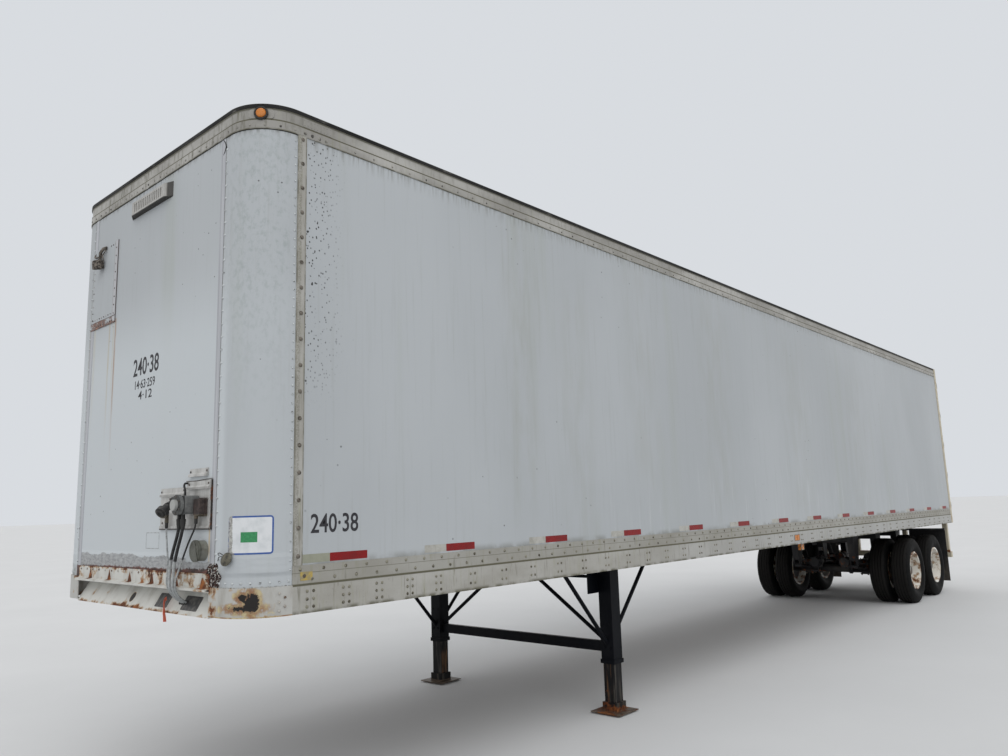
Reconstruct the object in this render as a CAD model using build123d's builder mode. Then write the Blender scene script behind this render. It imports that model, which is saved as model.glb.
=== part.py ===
from build123d import *
import math
import os

os.makedirs("parts", exist_ok=True)

# A 48 ft dry van semi trailer, parked on its landing gear. Millimetres.
# +X runs to the nose, +Y to the trailer's left side, +Z up. The ground is z = 0 and
# the origin lies under the middle of the body.

# Body
LENGTH = 14630
WIDTH = 2591
HEIGHT = 4115
CORNER_RADIUS = 285
PANEL = 19
SKIN_INSET = 8
SEAM_INBOARD = 50.5
SEAT = 0.3

# Floor
RAIL_BOTTOM = 1193
DECK_TOP = 1349
DECK_THICKNESS = 35
BEAM_HEIGHT = 102
BEAM_FLANGE = 57
BEAM_WALL = 5
BEAM_PITCH = 315
NOSE_BEAM_PITCH = 242
NOSE_BEAMS = 5
NOSE_BEAM_SETBACK = 114

# Rails
RAIL_WALL = 5
RAIL_LIP = 45
RAIL_FLANGE_HEIGHT = 102
RAIL_FLANGE_INSET = 4
RAIL_SHELF = 10
TOP_RAIL_HEIGHT = 153
TOP_FLANGE_HEIGHT = 52
TOP_FLANGE_INSET = 3
ROOF_FLANGE = 40
ROOF_THICKNESS = 3
DRIP_HEIGHT = 26
BOW_HEIGHT = 28
BOW_WIDTH = 50
BOW_WALL = 3
BOW_PITCH = 610
STRIP_SETBACK = 2
STRIP_WIDTH = 62
STRIP_CROWN = 34
STRIP_RISE = 7

# Nose apron and coupler
APRON_TOP = 1420
APRON_SHEET = 6
APRON_LIP = 25
APRON_LIP_TOP = 1337
APRON_LIP_BOTTOM = 1325
APRON_RECESS = 75
APRON_RECESS_Z = 1304
APRON_BOTTOM = 1184
APRON_RETURN = 60
APRON_END = 40
APRON_GAP = 3
COUPLER_PLATE = 10
COUPLER_WIDTH = 1180
COUPLER_BACK = 1500
COUPLER_CHAMFER = 140
COUPLER_RIBS = 4
RIB_WIDTH = 70
KINGPIN_SETBACK = 914
KINGPIN_LENGTH = 84
KINGPIN_NECK_RADIUS = 25.4
KINGPIN_NECK_LENGTH = 35
KINGPIN_FLANGE_RADIUS = 35.7
KINGPIN_FLANGE_LENGTH = 19
KINGPIN_BASE_RADIUS = 82
KINGPIN_BASE = 12

# Rear frame and doors
FRAME_DEPTH = 100
FRAME_RECESS = 8
POST_WIDTH = 95
HEADER_HEIGHT = 153
DOOR_THICKNESS = 32
DOOR_GAP = 8
DOOR_MEETING_GAP = 14
HINGES = 5
HINGE_END_MARGIN = 160
HINGE_AXIS_OUT = 28
HINGE_AXIS_IN = 14
HINGE_PIN_RADIUS = 6.5
HINGE_BARREL_RADIUS = 12
HINGE_FIT = 0.08
STRAP_HEIGHT = 56
STRAP_LENGTH = 330
STRAP_THICKNESS = 8
LUG_HEIGHT = 22
LUG_GAP = 5
ROD_RADIUS = 13.5
ROD_STANDOFF = 22
ROD_FROM_EDGE = 175
ROD_OVERRUN = 32
LOCK_CAM_LENGTH = 46
LOCK_CAM_WIDTH = 28
KEEPER_GAP = 11
KEEPER_WALL = 8
KEEPER_HEIGHT = 44
KEEPER_REACH = 40
HANDLE_Z = 2280
HANDLE_LENGTH = 380
GUARD_BAR = 100
GUARD_BAR_Z = 560
GUARD_END_INSET = 70.5
GUARD_POST_WIDTH = 80
GUARD_INNER_POST_Y = 450
GUARD_OUTER_POST_INSET = 135.5

# Running gear
REAR_AXLE_SETBACK = 1320
AXLE_SPREAD = 1245
TYRE_RADIUS = 513
TYRE_WIDTH = 281
TREAD_WIDTH = 222
TYRE_FACE_INSET = 25.5
DUAL_SPACING = 336
BEAD_RADIUS = 286
RIM_WIDTH = 226
RIM_LIP = 12
RIM_WALL = 10
DISC_WALL = 10
DISC_BORE = 111
DISC_SEAT_RADIUS = 180
DISC_REACH = 88
HAND_HOLES = 5
HAND_HOLE_RADIUS = 23
HAND_HOLE_GAP = 3
DRUM_RADIUS = 210
DRUM_WALL = 18
DRUM_WIDTH = 178
HUB_RADIUS = 100
HUB_LENGTH = 168
HUB_CAP_RADIUS = 74
HUB_CAP_LENGTH = 42
SPINDLE_RADIUS = 42
AXLE_TUBE_RADIUS = 63.5
RUNNING_GAP = 7
SHIELD_RADIUS = 206
SHIELD_THICKNESS = 8

# Suspension and sliding bogie
SPRING_Y = 470
SPRING_WIDTH = 76
SPRING_HALF_SPAN = 540
SPRING_THICKNESS = 44
SPRING_TIP_THICKNESS = 16
SPRING_RISE = 60
SPRING_TIP_FLAT = 50
SEAT_BLOCK_HEIGHT = 44
U_BOLT_RADIUS = 9
U_BOLT_GAP = 4
CLAMP_EDGE = 8
CLAMP_PLATE = 16
BODY_RAIL_HEIGHT = 100
BODY_RAIL_WIDTH = 116
BODY_RAIL_WALL = 8
BODY_RAIL_LENGTH = 3807
BOX_RAIL_HEIGHT = 130
BOX_RAIL_PLAY = 4
BOX_RAIL_OVERHANG = 230
LOCK_HOLE_RADIUS = 14
LOCK_HOLE_PITCH = 152
LOCK_HOLES = 10
HANGER_WIDTH = 104
HANGER_WALL = 10
HANGER_TOP_LENGTH = 260
HANGER_FOOT_LENGTH = 120
CROSS_TUBE_RADIUS = 50
CROSS_TUBE_SEAT = 8
EQUALISER_HEIGHT = 70
EQUALISER_PIN_RADIUS = 18
TORQUE_EYE_RADIUS = 30
TORQUE_BAR_RADIUS = 17
TORQUE_PIN_RADIUS = 13
TORQUE_DROP = 34
TORQUE_GAP = 6
TANK_RADIUS = 110
TANK_LENGTH = 620
TANK_GAP = 40
TANK_Z = 1074
TANK_SADDLE_Y = 200
TANK_SADDLE = 34
CHAMBER_RADIUS = 80
CHAMBER_LENGTH = 250
CHAMBER_Y = 250
CHAMBER_Z = 640
CHAMBER_OFFSET = 150
CHAMBER_BAND = 16
BRACKET_PLATE = 16
CAM_RADIUS = 19
CAM_AHEAD = 125
CAM_DROP = 35
ADJUSTER_THICKNESS = 24
ADJUSTER_EYE = 20
PUSHROD_RADIUS = 8
PUSHROD_LENGTH = 72
FLAP_WIDTH = 610
FLAP_THICKNESS = 9
FLAP_BOTTOM = 175
FLAP_SETBACK = 570
FLAP_ARM = 40

# Landing gear
LEG_SETBACK = 3590
LEG_INSET = 232.5
LEG_OUTER = 127
LEG_WALL = 9
LEG_BOTTOM = 400
LEG_COLLAR = 14
LEG_COLLAR_HEIGHT = 34
FOOT_SIZE = 290
FOOT_FLAT = 218
FOOT_THICKNESS = 14
FOOT_DISH = 12
FOOT_SOCKET_HEIGHT = 70
CROSSBAR_HEIGHT = 84
CROSSBAR_Z = 530
BRACE_RADIUS = 17
MOUNT_PLATE = 10
MOUNT_LENGTH = 420
MOUNT_DROP = 230
GEARBOX_SIZE = 110
GEARBOX_DEPTH = 90
GEARBOX_Z = 1100
SHAFT_SETBACK = 60
SHAFT_RADIUS = 14
CRANK_STANDOFF = 45
CRANK_REACH = 260
CRANK_RADIUS = 10
FOOT_STROKE = 330

# Nose fittings
PLATE_SEAM_GAP = 33
PLATE_WIDTH = 625
PLATE_BOTTOM = 1660
PLATE_TOP = 1905
PLATE_STEP_WIDTH = 305
PLATE_STEP_HEIGHT = 32
PLATE_THICKNESS = 6
PLATE_RIB = 22
STRAP_STRIP_HEIGHT = 46
STRAP_STRIP_LIP = 12
STRAP_STRIP_DEPTH = 16
FITTING_RADIUS = 11
VENT_WIDTH = 610
VENT_HEIGHT = 104
VENT_DEPTH = 36
VENT_SLOPE = 66
VENT_DROP = 166
VENT_OFFSET = 17
PATCH_WIDTH = 425
PATCH_HEIGHT = 609
PATCH_DROP = 300
PATCH_THICKNESS = 3
PATCH_BORDER = 52
HOLDER_SEAM_GAP = 125
HOLDER_Z = 1545
HOLDER_RADIUS = 57
HOLDER_DEPTH = 42
HOLDER_LID = 12

HALF = WIDTH / 2
NOSE_X = LENGTH / 2
REAR_X = -LENGTH / 2
FRAME_X = REAR_X + FRAME_RECESS
BODY_BACK = FRAME_X + FRAME_DEPTH
SKIN_Y = HALF - SKIN_INSET
SKIN_X = NOSE_X - SKIN_INSET
DECK_BOTTOM = DECK_TOP - DECK_THICKNESS
BEAM_BOTTOM = DECK_BOTTOM - BEAM_HEIGHT
WALL_TOP = HEIGHT - TOP_RAIL_HEIGHT + TOP_FLANGE_HEIGHT
RAIL_TOP = HEIGHT - ROOF_THICKNESS
COUPLER_BOTTOM = APRON_BOTTOM
COUPLER_TOP = COUPLER_BOTTOM + COUPLER_PLATE
CORNER_BACK = NOSE_X - CORNER_RADIUS
STRIP_X = CORNER_BACK - STRIP_SETBACK - STRIP_WIDTH / 2
SEAM_Y = HALF - CORNER_RADIUS - SEAM_INBOARD
AXLE_X = (REAR_X + REAR_AXLE_SETBACK + AXLE_SPREAD, REAR_X + REAR_AXLE_SETBACK)
TYRE_OUTER_FACE = HALF - TYRE_FACE_INSET
FLAP_X = REAR_X + FLAP_SETBACK
LEG_X = NOSE_X - LEG_SETBACK
LEG_Y = HALF - LEG_INSET
APRON_HALF = SEAM_Y - APRON_END
PLATE_LEFT_Y = SEAM_Y - PLATE_SEAM_GAP
PLATE_RIGHT_Y = PLATE_LEFT_Y - PLATE_WIDTH
SIDES = (("left", 1), ("right", -1))


def save(piece, name):
    """Labels one finished piece and writes it out."""
    piece.part.label = name
    export_step(piece.part, f"parts/{name}.step")


def side_plane(x, sign):
    """Plane across the trailer at x: local x runs outward from the body line, local y is height."""
    return Plane(origin=(x, sign * HALF, 0), x_dir=(0, sign, 0), z_dir=(sign, 0, 0))


def bottom_rail_web(with_flange):
    """Base rail section: web, bottom lip and wall shelf, with or without the riveted upper flange."""
    shelf_inner = -SKIN_INSET - PANEL - RAIL_SHELF
    upper = [(0, DECK_TOP), (-SKIN_INSET, DECK_TOP)]
    if with_flange:
        flange_top = DECK_TOP + RAIL_FLANGE_HEIGHT
        upper = [
            (0, DECK_TOP),
            (-RAIL_FLANGE_INSET, DECK_TOP + RAIL_FLANGE_INSET),
            (-RAIL_FLANGE_INSET, flange_top),
            (-SKIN_INSET, flange_top),
            (-SKIN_INSET, DECK_TOP),
        ]
    with BuildLine() as outline:
        Polyline(
            (-RAIL_LIP, RAIL_BOTTOM),
            (0, RAIL_BOTTOM),
            *upper,
            (shelf_inner, DECK_TOP),
            (shelf_inner, DECK_TOP - RAIL_WALL),
            (-RAIL_WALL, DECK_TOP - RAIL_WALL),
            (-RAIL_WALL, RAIL_BOTTOM + RAIL_WALL),
            (-RAIL_LIP, RAIL_BOTTOM + RAIL_WALL),
            close=True,
        )
    make_face(outline.edges())


def top_rail_section():
    """Top rail section: riveted flange outside the wall, plain band, cap, and an inward roof flange."""
    inner = -SKIN_INSET - PANEL
    flange_bottom = HEIGHT - TOP_RAIL_HEIGHT
    cap = RAIL_TOP - DRIP_HEIGHT
    with BuildLine() as outline:
        Polyline(
            (-SKIN_INSET, flange_bottom),
            (-TOP_FLANGE_INSET, flange_bottom),
            (-TOP_FLANGE_INSET, WALL_TOP + RAIL_WALL),
            (-SKIN_INSET, WALL_TOP + 2 * RAIL_WALL),
            (-SKIN_INSET, cap),
            (-ROOF_THICKNESS, cap + RAIL_WALL),
            (-ROOF_THICKNESS, RAIL_TOP),
            (inner - ROOF_FLANGE, RAIL_TOP),
            (inner - ROOF_FLANGE, RAIL_TOP - ROOF_THICKNESS),
            (-SKIN_INSET - RAIL_WALL, RAIL_TOP - ROOF_THICKNESS),
            (-SKIN_INSET - RAIL_WALL, WALL_TOP + RAIL_WALL),
            (inner, WALL_TOP + RAIL_WALL),
            (inner, WALL_TOP),
            (-SKIN_INSET, WALL_TOP),
            close=True,
        )
    make_face(outline.edges())


def corner_band(back_x, seam_y, outer, inner):
    """Plan of a skin round the left nose corner between two insets from the body line."""
    with BuildLine() as outline:
        for inset in (outer, inner):
            FilletPolyline(
                (back_x, HALF - inset),
                (NOSE_X - inset, HALF - inset),
                (NOSE_X - inset, seam_y),
                radius=CORNER_RADIUS - inset,
            )
        Line((back_x, HALF - outer), (back_x, HALF - inner))
        Line((NOSE_X - outer, seam_y), (NOSE_X - inner, seam_y))
    make_face(outline.edges())


def nose_band(back_x, outer, inner):
    """Plan of a U-shaped skin round the whole nose between two insets from the body line."""
    with BuildLine() as outline:
        for inset in (outer, inner):
            FilletPolyline(
                (back_x, HALF - inset),
                (NOSE_X - inset, HALF - inset),
                (NOSE_X - inset, inset - HALF),
                (back_x, inset - HALF),
                radius=CORNER_RADIUS - inset,
            )
        for side in (1, -1):
            Line((back_x, side * (HALF - outer)), (back_x, side * (HALF - inner)))
    make_face(outline.edges())


# Floor: laminated boards on I beams that span between the two base rails.
DECK_INSET = SKIN_INSET + PANEL + RAIL_SHELF
with BuildPart() as floor_deck:
    with BuildSketch(Plane.XY.offset(DECK_BOTTOM)):
        deck_front = NOSE_X - DECK_INSET
        with Locations(((BODY_BACK + deck_front) / 2, 0)):
            Rectangle(deck_front - BODY_BACK, 2 * (HALF - DECK_INSET))
        fillet(vertices().group_by(Axis.X)[-1], CORNER_RADIUS - DECK_INSET)
        with Locations(((deck_front + SKIN_X) / 2, 0)):
            Rectangle(SKIN_X - deck_front, 2 * APRON_HALF)
    extrude(amount=DECK_THICKNESS)
    # The front edge is rabbeted underneath to clear the apron's recess.
    with BuildSketch(Plane.XY.offset(DECK_BOTTOM)):
        rabbet = APRON_RECESS + APRON_SHEET
        with Locations((NOSE_X - rabbet / 2, 0)):
            Rectangle(rabbet + 2 * APRON_GAP, 2 * (APRON_HALF + APRON_GAP))
    extrude(amount=APRON_LIP_BOTTOM + APRON_SHEET + APRON_GAP - DECK_BOTTOM, mode=Mode.SUBTRACT)
save(floor_deck, "floor_deck")

first_beam = CORNER_BACK - NOSE_BEAM_SETBACK
nose_beams = [first_beam - i * NOSE_BEAM_PITCH for i in range(NOSE_BEAMS)]
rear_limit = BODY_BACK + BEAM_FLANGE
rear_count = int((nose_beams[-1] - rear_limit) / BEAM_PITCH)
rear_beams = [nose_beams[-1] - (i + 1) * BEAM_PITCH for i in range(rear_count)]
BEAMS_X = nose_beams + rear_beams
with BuildPart() as crossmembers:
    beam_plane = Plane.XZ.offset(-(HALF - RAIL_WALL))
    with BuildSketch(beam_plane):
        with Locations(*[(x, DECK_BOTTOM - BEAM_HEIGHT / 2) for x in BEAMS_X]):
            Rectangle(BEAM_FLANGE, BEAM_HEIGHT)
        with Locations(
            *[
                (x + side * (BEAM_FLANGE + BEAM_WALL) / 4, DECK_BOTTOM - BEAM_HEIGHT / 2)
                for x in BEAMS_X
                for side in (1, -1)
            ]
        ):
            Rectangle(
                (BEAM_FLANGE - BEAM_WALL) / 2, BEAM_HEIGHT - 2 * BEAM_WALL, mode=Mode.SUBTRACT
            )
    extrude(amount=2 * (HALF - RAIL_WALL))
save(crossmembers, "crossmembers")

# Base rails, side walls and top rails, one of each per side.
for side, sign in SIDES:
    with BuildPart() as bottom_rail:
        with BuildSketch(side_plane(BODY_BACK, sign)):
            bottom_rail_web(with_flange=True)
        extrude(amount=sign * (CORNER_BACK - BODY_BACK))
    save(bottom_rail, f"bottom_rail_{side}")

    with BuildPart() as side_wall:
        with BuildSketch(side_plane(BODY_BACK, sign)):
            with Locations((-SKIN_INSET - PANEL / 2, (DECK_TOP + WALL_TOP) / 2)):
                Rectangle(PANEL, WALL_TOP - DECK_TOP)
        extrude(amount=sign * (STRIP_X - BODY_BACK))
    save(side_wall, f"side_wall_{side}")

    with BuildPart() as top_rail:
        with BuildSketch(side_plane(BODY_BACK, sign)):
            top_rail_section()
        extrude(amount=sign * (CORNER_BACK - BODY_BACK))
    save(top_rail, f"top_rail_{side}")

# Nose: flat front wall, two rounded corner panels and the hat strips over their rear seams.
with BuildPart() as front_wall:
    with BuildSketch(Plane.YZ.offset(SKIN_X - PANEL)):
        with Locations((0, (DECK_TOP + WALL_TOP) / 2)):
            Rectangle(2 * SEAM_Y, WALL_TOP - DECK_TOP)
    extrude(amount=PANEL)
save(front_wall, "front_wall")

with BuildPart() as corner_left:
    with BuildSketch(Plane.XY.offset(DECK_TOP)):
        corner_band(STRIP_X, SEAM_Y, SKIN_INSET, SKIN_INSET + PANEL)
    extrude(amount=WALL_TOP - DECK_TOP)
save(corner_left, "corner_panel_left")
with BuildPart() as corner_right:
    mirror(corner_left.part, about=Plane.XZ)
save(corner_right, "corner_panel_right")

strip_bottom = DECK_TOP + RAIL_FLANGE_HEIGHT
strip_top = HEIGHT - TOP_RAIL_HEIGHT
with BuildPart() as corner_strips:
    with BuildSketch(Plane.XY.offset(strip_bottom)):
        with BuildLine():
            Polyline(
                (STRIP_X - STRIP_WIDTH / 2, SKIN_Y),
                (STRIP_X - STRIP_WIDTH / 2, SKIN_Y + TOP_FLANGE_INSET),
                (STRIP_X - STRIP_CROWN / 2, SKIN_Y + STRIP_RISE),
                (STRIP_X + STRIP_CROWN / 2, SKIN_Y + STRIP_RISE),
                (STRIP_X + STRIP_WIDTH / 2, SKIN_Y + TOP_FLANGE_INSET),
                (STRIP_X + STRIP_WIDTH / 2, SKIN_Y),
                close=True,
            )
        make_face()
    extrude(amount=strip_top - strip_bottom)
    mirror(about=Plane.XZ)
save(corner_strips, "corner_strips")

# The top rail goes on round the nose as one bent header.
with BuildPart() as front_header:
    with BuildSketch(side_plane(CORNER_BACK, 1)):
        top_rail_section()
    with BuildLine():
        FilletPolyline(
            (CORNER_BACK - SEAT, HALF, 0),
            (NOSE_X, HALF, 0),
            (NOSE_X, -HALF, 0),
            (CORNER_BACK - SEAT, -HALF, 0),
            radius=CORNER_RADIUS,
        )
    sweep()
    split(bisect_by=Plane.YZ.offset(CORNER_BACK), keep=Keep.TOP)
save(front_header, "front_header")

with BuildPart() as roof_sheet:
    with BuildSketch(Plane.XY.offset(RAIL_TOP)):
        with Locations(((BODY_BACK + NOSE_X) / 2, 0)):
            Rectangle(NOSE_X - BODY_BACK, WIDTH)
        fillet(vertices().group_by(Axis.X)[-1], CORNER_RADIUS)
    extrude(amount=ROOF_THICKNESS)
    with BuildSketch(Plane.XY.offset(RAIL_TOP - DRIP_HEIGHT + RAIL_WALL)):
        nose_band(BODY_BACK, 0, ROOF_THICKNESS)
    extrude(amount=DRIP_HEIGHT - RAIL_WALL)
save(roof_sheet, "roof_sheet")

# Roof bows: channels under the rails' roof flanges.
bow_top = RAIL_TOP - ROOF_THICKNESS
bow_half = HALF - SKIN_INSET - RAIL_WALL
bow_count = int((CORNER_BACK - BODY_BACK) / BOW_PITCH)
BOWS_X = [CORNER_BACK - (i + 0.5) * BOW_PITCH for i in range(bow_count)]
with BuildPart() as roof_bows:
    with BuildSketch(Plane.XZ.offset(-bow_half)):
        with Locations(*[(x, bow_top - BOW_HEIGHT / 2) for x in BOWS_X]):
            Rectangle(BOW_WIDTH, BOW_HEIGHT)
        with Locations(*[(x, bow_top - (BOW_HEIGHT + BOW_WALL) / 2) for x in BOWS_X]):
            Rectangle(BOW_WIDTH - 2 * BOW_WALL, BOW_HEIGHT - BOW_WALL, mode=Mode.SUBTRACT)
    extrude(amount=2 * bow_half)
save(roof_bows, "roof_bows")

# Nose apron: one folded sheet, a band over the wall's foot, a drip lip, a recess and a sloping skirt.
slope_run = APRON_RECESS
slope_drop = APRON_RECESS_Z - APRON_BOTTOM
slope_length = math.hypot(slope_run, slope_drop)
slope_normal = (slope_drop / slope_length, slope_run / slope_length)
with BuildPart() as nose_apron:
    with BuildSketch(Plane.XZ.offset(-APRON_HALF)):
        with BuildLine():
            Polyline(
                (SKIN_X + APRON_SHEET, APRON_TOP),
                (SKIN_X + APRON_SHEET, APRON_LIP_TOP + APRON_SHEET),
                (NOSE_X + APRON_LIP, APRON_LIP_TOP),
                (NOSE_X + APRON_LIP, APRON_LIP_BOTTOM),
                (NOSE_X - APRON_RECESS, APRON_RECESS_Z),
                (NOSE_X, APRON_BOTTOM),
                (NOSE_X - APRON_RETURN, APRON_BOTTOM),
            )
            offset(amount=APRON_SHEET, side=Side.RIGHT)
        make_face()
    extrude(amount=2 * APRON_HALF)
save(nose_apron, "nose_apron")

# Corner brackets: the base rail's web bent round each nose corner to the apron.
with BuildPart() as corner_brackets:
    with BuildSketch(side_plane(CORNER_BACK, 1)):
        bottom_rail_web(with_flange=False)
    with BuildLine():
        FilletPolyline(
            (CORNER_BACK - SEAT, HALF, 0),
            (NOSE_X, HALF, 0),
            (NOSE_X, APRON_HALF, 0),
            radius=CORNER_RADIUS,
        )
    sweep()
    split(bisect_by=Plane.YZ.offset(CORNER_BACK), keep=Keep.TOP)
    mirror(about=Plane.XZ)
save(corner_brackets, "corner_brackets")

# Upper coupler: plate under the floor beams, ribs between, and the kingpin let in from above, its
# base welded on the plate.
coupler_front = NOSE_X - APRON_RETURN
kingpin_x = NOSE_X - KINGPIN_SETBACK
with BuildPart() as coupler_plate:
    with BuildSketch(Plane.XY.offset(COUPLER_BOTTOM)):
        with Locations((coupler_front - COUPLER_BACK / 2, 0)):
            Rectangle(COUPLER_BACK, COUPLER_WIDTH)
            chamfer(vertices().group_by(Axis.X)[0], COUPLER_CHAMFER)
        with Locations((kingpin_x, 0)):
            Circle(KINGPIN_FLANGE_RADIUS + SEAT, mode=Mode.SUBTRACT)
    extrude(amount=COUPLER_PLATE)
    with BuildSketch(Plane.XY.offset(COUPLER_TOP)):
        rib_step = (COUPLER_WIDTH - RIB_WIDTH) / (COUPLER_RIBS - 1)
        with Locations((coupler_front - COUPLER_BACK / 2, 0)):
            with GridLocations(0, rib_step, 1, COUPLER_RIBS):
                Rectangle(COUPLER_BACK - 2 * COUPLER_CHAMFER, RIB_WIDTH)
    extrude(amount=BEAM_BOTTOM - COUPLER_TOP)
save(coupler_plate, "coupler_plate")

neck_top = KINGPIN_NECK_LENGTH + KINGPIN_FLANGE_LENGTH - KINGPIN_LENGTH
with BuildPart() as kingpin:
    with BuildSketch(Plane(origin=(kingpin_x, 0, COUPLER_BOTTOM), x_dir=(1, 0, 0), z_dir=(0, -1, 0))):
        with BuildLine():
            Polyline(
                (0, COUPLER_PLATE + KINGPIN_BASE),
                (KINGPIN_BASE_RADIUS, COUPLER_PLATE + KINGPIN_BASE),
                (KINGPIN_BASE_RADIUS, COUPLER_PLATE),
                (KINGPIN_FLANGE_RADIUS, COUPLER_PLATE),
                (KINGPIN_FLANGE_RADIUS, neck_top),
                (KINGPIN_NECK_RADIUS, neck_top),
                (KINGPIN_NECK_RADIUS, KINGPIN_FLANGE_LENGTH - KINGPIN_LENGTH),
                (KINGPIN_FLANGE_RADIUS, KINGPIN_FLANGE_LENGTH - KINGPIN_LENGTH),
                (KINGPIN_FLANGE_RADIUS, -KINGPIN_LENGTH),
                (0, -KINGPIN_LENGTH),
                close=True,
            )
        make_face()
    revolve(axis=Axis((kingpin_x, 0, 0), (0, 0, 1)))
save(kingpin, "kingpin")

# Rear frame: two posts, header and sill welded into one portal, with the hinge lugs, their pins
# and the lock rod keepers.
post_inner = HALF - POST_WIDTH
opening_top = HEIGHT - HEADER_HEIGHT
door_bottom = DECK_TOP + DOOR_GAP
door_top = opening_top - DOOR_GAP
hinge_x = REAR_X - HINGE_AXIS_OUT
hinge_y = HALF - HINGE_AXIS_IN
hinge_span = door_top - door_bottom - 2 * HINGE_END_MARGIN
HINGES_Z = [door_bottom + HINGE_END_MARGIN + i * hinge_span / (HINGES - 1) for i in range(HINGES)]
lug_offset = STRAP_HEIGHT / 2 + LUG_GAP
rod_y = DOOR_MEETING_GAP / 2 + ROD_FROM_EDGE
rod_x = REAR_X - ROD_STANDOFF
keeper_half = LOCK_CAM_WIDTH / 2 + KEEPER_GAP
keeper_levels = (DECK_TOP - ROD_OVERRUN, opening_top + ROD_OVERRUN)
with BuildPart() as rear_frame:
    with BuildSketch(Plane.YZ.offset(FRAME_X)):
        with Locations((0, (RAIL_BOTTOM + HEIGHT) / 2)):
            Rectangle(WIDTH, HEIGHT - RAIL_BOTTOM)
        with Locations((0, (DECK_TOP + opening_top) / 2)):
            Rectangle(2 * post_inner, opening_top - DECK_TOP, mode=Mode.SUBTRACT)
    extrude(amount=FRAME_DEPTH)
    for z in HINGES_Z:
        for base in (z - lug_offset - LUG_HEIGHT, z + lug_offset):
            with BuildSketch(Plane.XY.offset(base)):
                with Locations((hinge_x, hinge_y), (hinge_x, -hinge_y)):
                    Circle(HINGE_BARREL_RADIUS)
                lug_x = (hinge_x + FRAME_X) / 2
                with Locations((lug_x, hinge_y), (lug_x, -hinge_y)):
                    Rectangle(FRAME_X - hinge_x, 2 * HINGE_BARREL_RADIUS)
            extrude(amount=LUG_HEIGHT)
        with BuildSketch(Plane.XY.offset(z - lug_offset)):
            with Locations((hinge_x, hinge_y), (hinge_x, -hinge_y)):
                Circle(HINGE_PIN_RADIUS)
        extrude(amount=2 * lug_offset)
    for z in keeper_levels:
        with BuildSketch(Plane.XY.offset(z - KEEPER_HEIGHT / 2)):
            keeper_x = FRAME_X - KEEPER_REACH / 2
            for sign in (1, -1):
                for cheek in (1, -1):
                    cheek_y = sign * rod_y + cheek * (keeper_half + KEEPER_WALL / 2)
                    with Locations((keeper_x, cheek_y)):
                        Rectangle(KEEPER_REACH, KEEPER_WALL)
        extrude(amount=KEEPER_HEIGHT)
save(rear_frame, "rear_frame")

# Doors: flat panels with a stiffening edge frame, hinged at the outer edges.
door_inner = DOOR_MEETING_GAP / 2
door_outer = post_inner - DOOR_GAP
door_middle = (door_inner + door_outer) / 2
for side, sign in SIDES:
    with BuildPart() as door:
        with BuildSketch(Plane.YZ.offset(REAR_X)):
            with Locations((sign * door_middle, (door_bottom + door_top) / 2)):
                Rectangle(door_outer - door_inner, door_top - door_bottom)
        extrude(amount=DOOR_THICKNESS)
    save(door, f"door_{side}")

    with BuildPart() as hardware:
        for z in HINGES_Z:
            with BuildSketch(Plane.XY.offset(z - STRAP_HEIGHT / 2)):
                with Locations((hinge_x, sign * hinge_y)):
                    Circle(HINGE_BARREL_RADIUS)
                with BuildLine():
                    Polyline(
                        (hinge_x + HINGE_BARREL_RADIUS, sign * hinge_y),
                        (REAR_X, sign * (hinge_y - HINGE_BARREL_RADIUS)),
                        (REAR_X, sign * (hinge_y - STRAP_LENGTH)),
                        (REAR_X - STRAP_THICKNESS, sign * (hinge_y - STRAP_LENGTH)),
                        (REAR_X - STRAP_THICKNESS, sign * (hinge_y - HINGE_AXIS_OUT)),
                        (hinge_x, sign * (hinge_y - HINGE_BARREL_RADIUS)),
                        (hinge_x, sign * hinge_y),
                        close=True,
                    )
                make_face()
                with Locations((hinge_x, sign * hinge_y)):
                    Circle(HINGE_PIN_RADIUS + HINGE_FIT, mode=Mode.SUBTRACT)
            extrude(amount=STRAP_HEIGHT)
        rod_bottom = keeper_levels[0] - LOCK_CAM_LENGTH / 2
        rod_top = keeper_levels[1] + LOCK_CAM_LENGTH / 2
        with BuildSketch(Plane.XY.offset(rod_bottom)):
            with Locations((rod_x, sign * rod_y)):
                Circle(ROD_RADIUS)
        extrude(amount=rod_top - rod_bottom)
        for z in keeper_levels:
            with BuildSketch(Plane.XY.offset(z - LOCK_CAM_LENGTH / 2)):
                with Locations((rod_x, sign * rod_y)):
                    Rectangle(2 * ROD_RADIUS, LOCK_CAM_WIDTH)
            extrude(amount=LOCK_CAM_LENGTH)
        guide_reach = ROD_STANDOFF + ROD_RADIUS + KEEPER_WALL
        guides = (door_bottom + HINGE_END_MARGIN, HANDLE_Z, door_top - HINGE_END_MARGIN)
        for z in guides:
            with BuildSketch(Plane.XY.offset(z - LOCK_CAM_LENGTH / 2)):
                with Locations((REAR_X - guide_reach / 2, sign * rod_y)):
                    Rectangle(guide_reach, 2 * LOCK_CAM_WIDTH)
            extrude(amount=LOCK_CAM_LENGTH)
        with BuildSketch(Plane.XZ.offset(-sign * rod_y)):
            with Locations((REAR_X - guide_reach, HANDLE_Z)):
                Rectangle(2 * KEEPER_WALL, LOCK_CAM_WIDTH)
        extrude(amount=-sign * HANDLE_LENGTH)
        with BuildSketch(Plane.XY.offset(HANDLE_Z - LOCK_CAM_LENGTH / 2)):
            with Locations((REAR_X - guide_reach / 2, sign * (rod_y + HANDLE_LENGTH))):
                Rectangle(guide_reach, LOCK_CAM_WIDTH)
        extrude(amount=LOCK_CAM_LENGTH)
    save(hardware, f"door_hardware_{side}")

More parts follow.
